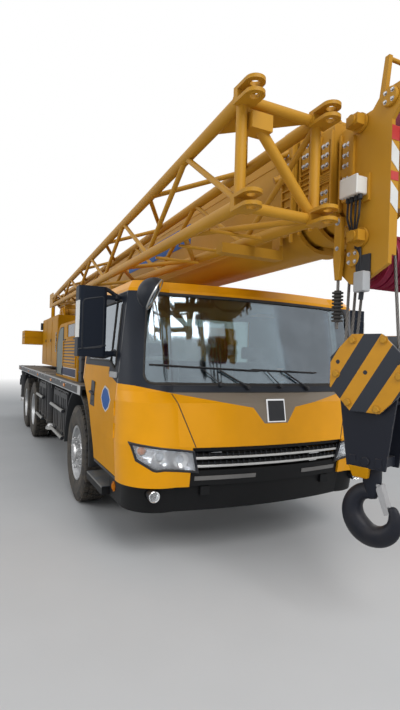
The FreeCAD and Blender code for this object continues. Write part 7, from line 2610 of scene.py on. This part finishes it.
    def add_outrigger(self, side: Side, label: str, station: float) -> None:
        """A jack tube's collars, its cap's bolts, its hose fittings and the jack's foot."""
        sign, word = side.value, side.word
        body = f"beam_{label}_{word}"
        middle = Vector((station - 0.088 * sign, 1.15 * sign, 0.0))
        collars, bolts = Stock(), Stock()
        for low, high, radius in ((0.5615, 0.600, 0.089), (1.150, 1.189, 0.089),
                                  (0.72, 0.735, 0.085)):
            collars.ring(0.080, radius, low, high, UP, middle, 36)
        for k in range(6):
            angle = math.tau * k / 6
            place = middle + Vector((math.cos(angle) * 0.066, math.sin(angle) * 0.066, 1.1885))
            bolts.bolt(place, UP, 0.016, 0.008)
        reach = Vector((0, -0.06 * sign, 0))
        for dx in (-0.02, 0.02):
            bolts.lathe(((POLE, 0.0), (0.011, 0.0), (0.011, 0.02), (POLE, 0.022)),
                        UP, middle + reach * 0.3 + Vector((dx, 0, 1.189)), 12)
        add = self.riding(body, word)
        add(f"jack_collars_{label}", collars, "outrigger", bevel=0.002)
        add(f"jack_bolts_{label}", bolts, "steel")
        foot = Stock()
        foot.lathe(((0.0575, 0.498), (0.074, 0.502), (0.062, 0.540), (0.0575, 0.541)), UP, middle)
        for k in range(8):
            angle = math.tau * (k + 0.5) / 8
            out = Vector((math.cos(angle), math.sin(angle), 0))
            across = Vector((-out.y, out.x, 0)) * 0.004
            base = middle + Vector((0, 0, 0.4995))
            ring = [base + out * 0.060, base + out * 0.088, base + out * 0.060 + UP * 0.028]
            foot.loops([[point - across for point in ring], [point + across for point in ring]],
                       False, True)
        self.works.piece(f"jack_foot_{label}_{word}", foot, "steel", f"jack_{label}_{word}")

    def add_rear(self) -> None:
        """The rear's blank plate, its lamp over it and the red reflectors."""
        rear = self.deck_ends[0]
        plate, lamp, red = Stock(), Stock(), Stock()
        plate.box((rear - 0.004, -0.26, 1.232), (rear + 0.002, 0.26, 1.296))
        lamp.box((rear - 0.020, -0.05, 1.212), (rear + 0.002, 0.05, 1.229))
        for sign in (1, -1):
            for y in (0.55, 0.95):
                low, high = between(sign, y - 0.07, y + 0.07)
                red.box((rear - 0.006, low, 1.236), (rear + 0.002, high, 1.276))
        add = self.riding("chassis")
        add("rear_plate", plate, "white", bevel=0.002)
        add("rear_plate_lamp", lamp, "black_plastic", bevel=0.003)
        add("rear_reflectors", red, "red_lens", bevel=0.002)


@dataclass
class EngineHood(Assembly):
    """The engine hood behind the driver's cab, its panels and the air stack."""

    rear: float = ahead(-2.15)
    front: float = ahead(-0.5)
    half: float = 1.13
    base: float = 1.31
    top: float = 2.09
    wall: float = 0.020
    bend: float = 0.40
    nose: float = 0.06
    louvre: tuple[Flat, ...] = ((-0.001, 0.026), (0.014, 0.0), (0.011, -0.003), (-0.001, 0.018))

    def build(self) -> None:
        """Builds the hood, its side panels, the stack and what is on its top."""
        self.add_cover()
        for side in SIDES:
            self.add_panels(side)
        self.add_stack()
        self.add_roof()

    def profile(self, inset: float) -> list[Flat]:
        """The hood's outline of stations and heights from its rear foot to its front foot.

        Args:
            inset: How far inside the hood's skin it runs.

        Returns:
            The outline's points.
        """
        quarter = math.pi / 2
        path = [(self.rear + inset, self.base)]
        path += arc((self.rear + self.bend, self.top - self.bend), self.bend - inset, math.pi,
                    -quarter, 12)
        path += arc((self.front - self.nose, self.top - self.nose), self.nose - inset, quarter,
                    -quarter, 4)
        return path + [(self.front - inset, self.base)]

    def add_cover(self) -> None:
        """The hood's bent cover and its two side walls."""
        outer, inner = self.profile(0.0), self.profile(self.wall)
        cover, walls = Stock(), Stock()
        rings = []
        for (xo, zo), (xi, zi) in zip(outer, inner):
            rings.append([Vector((xo, -self.half, zo)), Vector((xo, self.half, zo)),
                          Vector((xi, self.half - 0.005, zi)), Vector((xi, 0.005 - self.half, zi))])
        cover.loops(rings, False, True)
        for sign in (1, -1):
            low, high = between(sign, self.half - self.wall, self.half - 0.0004)
            walls.prism(self.profile(0.002), Axis.Y, low, high)
        add = self.riding("chassis")
        add("hood_cover", cover, "yellow", bevel=0.010, replaces=["engine_hood"])
        add("hood_walls", walls, "yellow")

    def inset_panel(self, start: float, end: float, margin: float) -> list[Flat]:
        """The outline of a side panel that follows the hood's bend.

        Args:
            start: The panel's rear station.
            end: The panel's front station.
            margin: How far inside the hood's outline it stays.

        Returns:
            The panel's corners.
        """
        path = [(start, self.base + 0.035), (end, self.base + 0.035), (end, self.top - margin)]
        return path + arc((self.rear + self.bend, self.top - self.bend), self.bend - margin,
                          math.pi / 2, math.pi / 2, 10)

    def add_panels(self, side: Side) -> None:
        """A side's glassy rear panel, window, louvres with a dark sheet behind them as painted
        shade, blank sign and joints.
        """
        sign, word = side.value, side.word
        panel, rim, pane, frame, dark, slats, board, edge, latches = (Stock() for _ in range(9))
        outline = self.inset_panel(self.rear + 0.055, ahead(-1.545), 0.055)
        panel.prism(outline, Axis.Y, *between(sign, self.half - 0.002, self.half + 0.0018))
        closed = [Vector((x, sign * (self.half + 0.001), z)) for x, z in outline]
        rim.tube([*closed, closed[0]], 0.0050, 6)
        window = rounded(oblong(-1.215, -0.665, 1.872, 2.056), 0.03)
        frame.tube([Vector((ahead(x), sign * (self.half + 0.002), z)) for x, z in window], 0.010, 8)
        for k in range(8):
            z = 1.50 + 0.041 * k
            slats.loops([[Vector((ahead(x), sign * (self.half + proud), z + rise))
                          for proud, rise in self.louvre] for x in (-1.51, -0.59)], False, True)
        for stock, x0, x1, z0, z1, deep, proud in (
                (pane, -1.20, -0.68, 1.885, 2.045, 0.002, 0.0024),
                # This dark sheet behind the louvres stands for the shade in their openings: painted
                # shade.
                (dark, -1.50, -0.60, 1.49, 1.82, 0.002, 0.0012),
                (slats, -1.515, -1.497, 1.485, 1.832, 0.001, 0.015),
                (slats, -0.603, -0.585, 1.485, 1.832, 0.001, 0.015),
                (slats, -1.515, -0.585, 1.480, 1.492, 0.001, 0.015),
                (slats, -1.515, -0.585, 1.825, 1.837, 0.001, 0.015),
                (board, -1.60, -0.60, 1.355, 1.455, 0.002, 0.003),
                (edge, -1.607, -0.593, 1.348, 1.462, 0.002, 0.0018),
                (dark, -1.533, -1.527, 1.33, 2.03, 0.002, 0.0008),
                (dark, -0.563, -0.557, 1.33, 2.03, 0.002, 0.0008),
                (latches, -1.47, -1.37, 1.838, 1.858, 0.001, 0.012),
                (latches, -0.77, -0.67, 1.838, 1.858, 0.001, 0.012),
                (latches, -2.092, -2.068, 1.36, 1.44, 0.001, 0.010),
                (latches, -1.632, -1.608, 1.36, 1.44, 0.001, 0.010)):
            stock.prism(oblong(ahead(x0), ahead(x1), z0, z1), Axis.Y,
                        *between(sign, self.half - deep, self.half + proud))
        for name, stock, finish, bevel in (
                ("hood_panel", panel, "panel_green", 0.0005), ("hood_panel_rim", rim, "seal", 0.0),
                ("hood_pane", pane, "hood_window", 0.0005), ("hood_frame", frame, "yellow", 0.0),
                ("hood_dark", dark, "dark", 0.0), ("hood_slats", slats, "yellow", 0.001),
                ("hood_sign", board, "navy", 0.0008), ("hood_sign_edge", edge, "white", 0.0),
                ("hood_latches", latches, "black_plastic", 0.003)):
            self.works.piece(f"{name}_{word}", stock, finish, "chassis", bevel=bevel)

    def add_stack(self) -> None:
        """The dark air stack beside the hood, with its hooded grille."""
        stock, slats = Stock(), Stock()
        x0, x1 = ahead(-0.46), ahead(-0.30)
        stock.box((x0, -1.12, 1.31), (x1, -0.96, 1.90))
        stock.box((x0 - 0.004, -1.124, 1.895), (x1 + 0.004, -0.956, 1.958))
        for k in range(7):
            z = 1.66 + 0.03 * k
            slats.box((x0 + 0.012, -1.1245, z), (x1 - 0.012, -1.118, z + 0.014))
        for z in (1.42, 1.58):
            slats.box((x0 - 0.004, -1.124, z), (x1 + 0.004, -0.956, z + 0.022))
        add = self.riding("chassis")
        add("air_stack", stock, "grain_plastic", bevel=0.016)
        add("air_stack_slats", slats, "black_plastic", bevel=0.002)

    def add_roof(self) -> None:
        """The vents with a dark sheet under their slats as painted shade, the lifting eyes and the
        hinge line on the hood's top.
        """
        dark, slats, eyes = Stock(), Stock(), Stock()
        for sign in (1, -1):
            low, high = between(sign, 0.30, 0.90)
            # A dark sheet under the vent slats stands for the shade in their openings: painted
            # shade.
            dark.box((ahead(-1.60), low, self.top - 0.002), (ahead(-0.72), high, self.top + 0.0012))
            for k in range(14):
                x = ahead(-1.58) + 0.063 * k
                slats.prism([(x, self.top), (x + 0.020, self.top + 0.012),
                             (x + 0.024, self.top + 0.011), (x + 0.010, self.top)], Axis.Y,
                            low + 0.01, high - 0.01)
            for x in (-1.66, -0.62):
                place = Vector((ahead(x), sign * 0.98, self.top))
                loop = [place + Vector((math.cos(a) * 0.028, 0, math.sin(a) * 0.034)) for a in
                        (math.pi * k / 8 for k in range(9))]
                eyes.tube(loop, 0.007, 8)
        eyes.box((ahead(-1.70), -0.006, self.top - 0.002), (ahead(-0.56), 0.006, self.top + 0.004))
        add = self.riding("chassis")
        add("hood_vents", dark, "dark")
        add("hood_vent_slats", slats, "yellow")
        add("hood_eyes", eyes, "steel")


@dataclass
class Upper(Assembly):
    """The slewing upper structure: tank, counterweight, winch and their fittings."""

    pivot: Flat = (-4.2725, 2.64)
    foot: Flat = (-3.3725, 1.62)
    tank: tuple[Flat, Flat, Flat] = ((-4.6725, -2.3625), (-0.79, -0.43), (1.42, 2.43))
    weight: tuple[Flat, Flat, Flat] = ((-5.6225, -4.7725), (-1.2, 1.2), (1.85, 2.18))
    drum: Flat = (-4.4825, 1.96)

    def build(self) -> None:
        """Builds and dresses the upper structure."""
        self.paint_all({"turntable": "yellow", "counterweight": "yellow", "winch_drum": "cast"})
        self.add_pins()
        self.add_tank()
        self.add_weight()
        self.add_winch()

    def add_pins(self) -> None:
        """The pivot's and the cylinder foot's pin plates with their bolts, and stiffeners."""
        plates, bolts, ribs = Stock(), Stock(), Stock()
        for sign in (1, -1):
            out = outward(sign)
            for (x, z), face, radius in ((self.pivot, 0.440, 0.105), (self.foot, 0.107, 0.060)):
                centre = Vector((x, sign * (face - 0.002), z))
                plates.disc(radius, 0.0, 0.018, out, centre, 36, 0.004)
                for way in directions(6):
                    bolts.bolt(centre + way * radius * 0.72 + out * 0.017, out, 0.020, 0.010)
            for rib in (((-4.62, 2.06), (-4.58, 2.06), (-4.30, 2.50), (-4.34, 2.50)),
                        ((-4.10, 2.48), (-4.06, 2.48), (-3.42, 1.98), (-3.46, 1.98)),
                        ((-4.62, 1.72), (-3.1, 1.72), (-3.1, 1.75), (-4.62, 1.75))):
                ribs.prism(rib, Axis.Y, *between(sign, 0.438, 0.452))
        add = self.riding("upper")
        add("pin_plates", plates, "yellow", bevel=0.002)
        add("pin_bolts", bolts, "steel")
        add("tower_ribs", ribs, "yellow", bevel=0.002)

    def add_tank(self) -> None:
        """The tank's panels, joints, caps, gauge, beacon on its post and small lamp."""
        (x0, x1), (y0, _), (z0, z1) = self.tank
        panels, dark, cap, gauge, steel = (Stock() for _ in range(5))
        third = (x1 - x0) / 3
        for k in range(3):
            start, end = x0 + third * k + 0.03, x0 + third * (k + 1) - 0.03
            outline = rounded(oblong(start, end, z0 + 0.06, z1 - 0.06), 0.04)[:-1]
            panels.prism(outline, Axis.Y, y0 - 0.006, y0 + 0.002)
            dark.box((end - 0.10, y0 - 0.018, (z0 + z1) / 2 - 0.03),
                     (end - 0.05, y0 - 0.004, (z0 + z1) / 2 + 0.03))
        for k in (1, 2):
            dark.box((x0 + third * k - 0.004, y0 - 0.002, z0 + 0.02),
                     (x0 + third * k + 0.004, y0 + 0.001, z1 - 0.01))
        cap.lathe(((POLE, 0.0), (0.062, 0.0), (0.062, 0.030), (0.048, 0.044), (POLE, 0.046)),
                  UP, Vector((x0 + 0.45, -0.61, z1)), 28)
        cap.lathe(((POLE, 0.0), (0.040, 0.0), (0.040, 0.055), (0.030, 0.064), (POLE, 0.066)),
                  UP, Vector((x0 + 0.85, -0.61, z1)), 24)
        gauge.tube([(x1 - 0.12, y0 - 0.016, 1.70), (x1 - 0.12, y0 - 0.016, 2.05)], 0.010, 12)
        for z in (1.69, 2.06):
            steel.box((x1 - 0.135, y0 - 0.026, z - 0.014), (x1 - 0.105, y0 + 0.001, z + 0.014))
        for k in range(10):
            x = x0 + 0.08 + (x1 - x0 - 0.16) * k / 9
            steel.bolt(Vector((x, -0.76, z1 - 0.001)), UP, 0.014, 0.007)
        post, beacon, base = Stock(), Stock(), Stock()
        place = Vector((-3.60, -0.72, 0.17))
        post.tube([place + Vector((0, 0, z1 - 0.172)), place + Vector((0, 0, 2.615))], 0.040, 20)
        post.box((place.x - 0.07, place.y - 0.06, z1 - 0.002),
                 (place.x + 0.07, place.y + 0.06, z1 + 0.012))
        base.lathe(((POLE, 2.612), (0.062, 2.612), (0.062, 2.640), (0.052, 2.650),
                    (POLE, 2.650)), UP, place, 28)
        beacon.lathe(((POLE, 2.649), (0.052, 2.649), (0.054, 2.670), (0.050, 2.730),
                      (0.038, 2.756), (0.018, 2.766), (POLE, 2.768)), UP, place,
                     32)
        lamp, glass = Stock(), Stock()
        lamp.box((x0 - 0.03, y0 - 0.055, 2.20), (x0 + 0.06, y0 - 0.004, 2.37))
        glass.box((x0 - 0.034, y0 - 0.048, 2.215), (x0 - 0.028, y0 - 0.012, 2.355))
        for name, stock, finish, bevel in (
                ("tank_panels", panels, "yellow", 0.002), ("tank_dark", dark, "dark", 0.002),
                ("tank_caps", cap, "black_plastic", 0.002), ("tank_gauge", gauge, "glass", 0.0),
                ("tank_steel", steel, "steel", 0.0), ("beacon_post", post, "yellow", 0.002),
                ("beacon_base", base, "black_plastic", 0.001), ("beacon", beacon, "beacon", 0.0),
                ("rear_work_lamp", lamp, "black_plastic", 0.006),
                ("rear_work_lamp_glass", glass, "lens", 0.001)):
            self.works.piece(name, stock, finish, "upper", bevel=bevel)

    def add_weight(self) -> None:
        """The counterweight's joint lines, lifting eyes, hole plugs and edge plates."""
        (x0, x1), (y0, y1), (z0, z1) = self.weight
        eyes, dark, plugs, plate = Stock(), Stock(), Stock(), Stock()
        for sign in (1, -1):
            for x in (x0 + 0.25, x1 - 0.18):
                place = Vector((x, sign * 0.62, z1 - 0.002))
                loop = [place + Vector((0, math.cos(a) * 0.06, math.sin(a) * 0.085)) for a in
                        (math.pi * k / 10 for k in range(11))]
                eyes.tube(loop, 0.013, 10)
                eyes.disc(0.085, 0.0, 0.008, UP, place, 28, 0.002)
            for x in (x0 + 0.42, x1 - 0.16):
                plugs.disc(0.032, 0.0, 0.005, outward(sign),
                           Vector((x, sign * (y1 - 0.001), 2.10)), 24, 0.001)
        for low, high in ((y0 - 0.0008, y0 + 0.004), (y1 - 0.004, y1 + 0.0008)):
            dark.box((x0 + 0.34, low, 2.009), (x1 - 0.002, high, 2.021))
        plate.box((x0 - 0.003, -0.42, z0 + 0.06), (x0 + 0.002, 0.42, z0 + 0.14))
        add = self.riding("upper")
        add("weight_eyes", eyes, "steel")
        add("weight_joints", dark, "seal")
        add("weight_plugs", plugs, "black_plastic")
        add("weight_plate", plate, "white", bevel=0.001)

    def add_winch(self) -> None:
        """The rope wound on the winch's drum and the bolts of its flanges."""
        rope, bolts = Stock(), Stock()
        radius, pitch, count = 0.009, 0.0185, 29
        profile = [(0.1745, -0.276)]
        for k in range(count):
            centre = -0.268 + pitch * k + pitch / 2
            for j in range(5):
                angle = math.pi * (0.12 + 0.76 * j / 4)
                profile.append((0.184 + math.sin(angle) * radius,
                                centre - math.cos(angle) * radius))
        profile.append((0.1745, 0.276))
        rope.lathe(profile, LEFTWARD, Vector((self.drum[0], 0, self.drum[1])), 48)
        for sign in (1, -1):
            for k in range(8):
                angle = math.tau * k / 8
                place = Vector((self.drum[0] + math.cos(angle) * 0.235, sign * 0.3085,
                                self.drum[1] + math.sin(angle) * 0.235))
                bolts.bolt(place, outward(sign), 0.018, 0.008)
        add = self.riding("winch")
        add("winch_rope", rope, "rope", slot="rope_steel", smooth=60)
        add("winch_bolts", bolts, "steel")


@dataclass
class OperatorCab(Assembly):
    """The operator's cab beside the boom: rubbers, door, seat, wiper and lamps."""

    rear: float = -2.7725
    front: float = -1.2225
    inner: float = 0.47
    outer: float = 1.20
    low: float = 1.44
    top: float = 3.02
    chin: float = 1.96
    rake: float = 0.30

    def build(self) -> None:
        """Builds and dresses the operator's cab."""
        self.paint_all({"operator_cab": "yellow", "operator_glass": "glass"})
        self.add_rubbers()
        self.add_door()
        self.add_seat()
        self.add_fittings()

    def screen_point(self, y: float, z: float, lift: float = 0.0) -> Vector:
        """A point on the screen's outer face.

        Args:
            y: Its place across.
            z: Its height.
            lift: How far in front of the face it lies.

        Returns:
            The point.
        """
        slope = self.rake / (self.top - self.chin)
        return Vector((self.front - max(0.0, z - self.chin) * slope + lift, y, z))

    def add_rubbers(self) -> None:
        """The rubbers round the screen, the inner window and the rear window."""
        seal = Stock()
        corners = rounded(oblong(self.inner + 0.07, self.outer - 0.07, 1.90, 2.87), 0.05)
        path: list[Vector] = []
        for (y0, z0), (y1, z1) in zip(corners, corners[1:]):
            for k in range(6):
                t = k / 6
                path.append(self.screen_point(y0 + (y1 - y0) * t, z0 + (z1 - z0) * t, -0.003))
        seal.tube([*path, path[0]], 0.010, 8)
        side = rounded(oblong(self.rear + 0.12, self.front - 0.42, 2.06, 2.89), 0.05)
        seal.tube([Vector((x, self.inner + 0.001, z)) for x, z in side], 0.010, 8)
        back = rounded(oblong(self.inner + 0.07, self.outer - 0.07, 2.06, 2.89), 0.05)
        seal.tube([Vector((self.rear + 0.001, y, z)) for y, z in back], 0.010, 8)
        self.works.piece("operator_rubbers", seal, "seal", "upper")

    def add_door(self) -> None:
        """The sliding door: its frame, pane, rubber, handle and rollers."""
        x0, x1, z0, z1 = -2.3925, -1.5025, 1.48, 2.95
        lx0, lx1, lz0, lz1 = -2.3025, -1.5925, 2.00, 2.79
        y0, y1 = 1.206, 1.236
        panel, pane, seal, dark = Stock(), Stock(), Stock(), Stock()
        outer, inner = oblong(x0, x1, z0, z1), oblong(lx0, lx1, lz0, lz1)
        rings = []
        for k in range(5):
            (a, b), (c, d) = outer[k % 4], inner[k % 4]
            rings.append([Vector((a, y0, b)), Vector((a, y1, b)), Vector((c, y1, d)),
                          Vector((c, y0, d))])
        panel.loops(rings, False, False)
        panel.box((x0 + 0.06, y1 - 0.002, z0 + 0.06), (x1 - 0.06, y1 + 0.004, lz0 - 0.07))
        pane.box((lx0 - 0.004, 1.216, lz0 - 0.004), (lx1 + 0.004, 1.224, lz1 + 0.004))
        seal.tube([Vector((x, y1 - 0.002, z)) for x, z in rounded(inner, 0.05)], 0.011, 8)
        dark.tube([(x1 - 0.045, y1 - 0.002, 2.02), (x1 - 0.045, y1 + 0.035, 2.04),
                   (x1 - 0.045, y1 + 0.035, 2.22), (x1 - 0.045, y1 - 0.002, 2.24)], 0.010, 10, 0.02)
        for x in (x0 + 0.12, x1 - 0.12):
            dark.box((x - 0.04, y0 - 0.001, z1 - 0.002), (x + 0.04, y1 - 0.004, z1 + 0.022))
        add = self.riding("operator_door")
        add("operator_door_panel", panel, "yellow", bevel=0.004, replaces=["operator_door"])
        add("operator_door_pane", pane, "glass")
        add("operator_door_rubber", seal, "seal")
        add("operator_door_handle", dark, "black_plastic", bevel=0.002)

    def add_seat(self) -> None:
        """The operator's seat: crowned cushion, back and head rest."""
        self.add_cushions((
            ("operator_cushion", (-2.548, 0.600, 1.814), (-2.040, 1.070, 1.948), 0.022, Axis.Z,
             (0.70, 0.97)),
            ("operator_back", (-2.590, 0.600, 1.880), (-2.452, 1.070, 2.535), 0.020, Axis.X,
             (0.70, 0.97)),
            ("operator_rest", (-2.575, 0.715, 2.565), (-2.475, 0.955, 2.705), 0.015, Axis.X, ()),
        ), "upper", ())
        parts = Stock()
        for y in (0.78, 0.89):
            parts.tube([(-2.53, y, 2.50), (-2.53, y, 2.60)], 0.006, 8)
        for sign in (1, -1):
            y = 0.835 + sign * 0.30
            parts.box((-2.50, y - 0.035, 2.03), (-2.10, y + 0.035, 2.075))
            parts.tube([(-2.18, y, 2.07), (-2.17, y, 2.20)], 0.010, 10)
            parts.dome(Vector((-2.17, y, 2.195)), UP, 0.022, 0.030, 16)
            parts.box((-2.40, y - 0.02, 1.84), (-2.28, y + 0.02, 2.04))
        self.works.piece("operator_levers", parts, "black_plastic", "upper", bevel=0.005)

    def add_fittings(self) -> None:
        """The wiper, the grab rail, the roof lamps and the roof's rim."""
        wiper, rails, lamps, glass, rim = (Stock() for _ in range(5))
        y = 0.80
        root = self.screen_point(y, 1.86, 0.014)
        tip = self.screen_point(y + 0.10, 2.42, 0.022)
        wiper.tube([root, self.screen_point(y + 0.02, 1.99, 0.026), tip], 0.007, 8)
        wiper.tube([self.screen_point(y + 0.10, 2.10, 0.014),
                    self.screen_point(y + 0.10, 2.68, 0.014)], 0.008, 6)
        wiper.disc(0.026, -0.018, 0.012, FORWARD, root, 18, 0.003)
        x, near, far = -1.44, self.outer - 0.002, self.outer + 0.045
        rails.tube([(x, near, 1.75), (x, far, 1.77), (x, far, 2.33), (x, near, 2.35)], 0.012, 10,
                   0.03)
        for side in (self.inner + 0.14, self.outer - 0.14):
            place = Vector((self.front - self.rake - 0.02, side, self.top + 0.058))
            lamps.box(tuple(place - Vector((0.045, 0.055, 0.038))),
                      tuple(place + Vector((0.040, 0.055, 0.038))))
            lamps.tube([place - Vector((0, 0, 0.060)), place - Vector((0, 0, 0.036))], 0.010, 8)
            glass.box(tuple(place + Vector((0.038, -0.046, -0.030))),
                      tuple(place + Vector((0.043, 0.046, 0.030))))
        ring = rounded(oblong(self.rear + 0.03, self.front - self.rake - 0.06, self.inner + 0.03,
                              self.outer - 0.03), 0.06)
        rim.tube([Vector((x, across, self.top + 0.002)) for x, across in ring], 0.012, 8)
        add = self.riding("upper")
        add("operator_wiper", wiper, "black_plastic")
        add("operator_rails", rails, "black_plastic")
        add("operator_lamps", lamps, "black_plastic", bevel=0.008)
        add("operator_lamp_glass", glass, "lens", bevel=0.002)
        add("operator_roof_rim", rim, "yellow")


ASSEMBLIES: tuple[type[Assembly], ...] = (
    Studio, Wheels, DriverCab, Boom, Jib, HookBlock, Carrier, EngineHood, Upper, OperatorCab,
)


def main() -> None:
    """Loads the frame and dresses the crane."""
    logging.basicConfig(level=logging.INFO, format="%(message)s")
    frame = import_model()
    build_crane(frame)


if __name__ == "__main__":
    main()
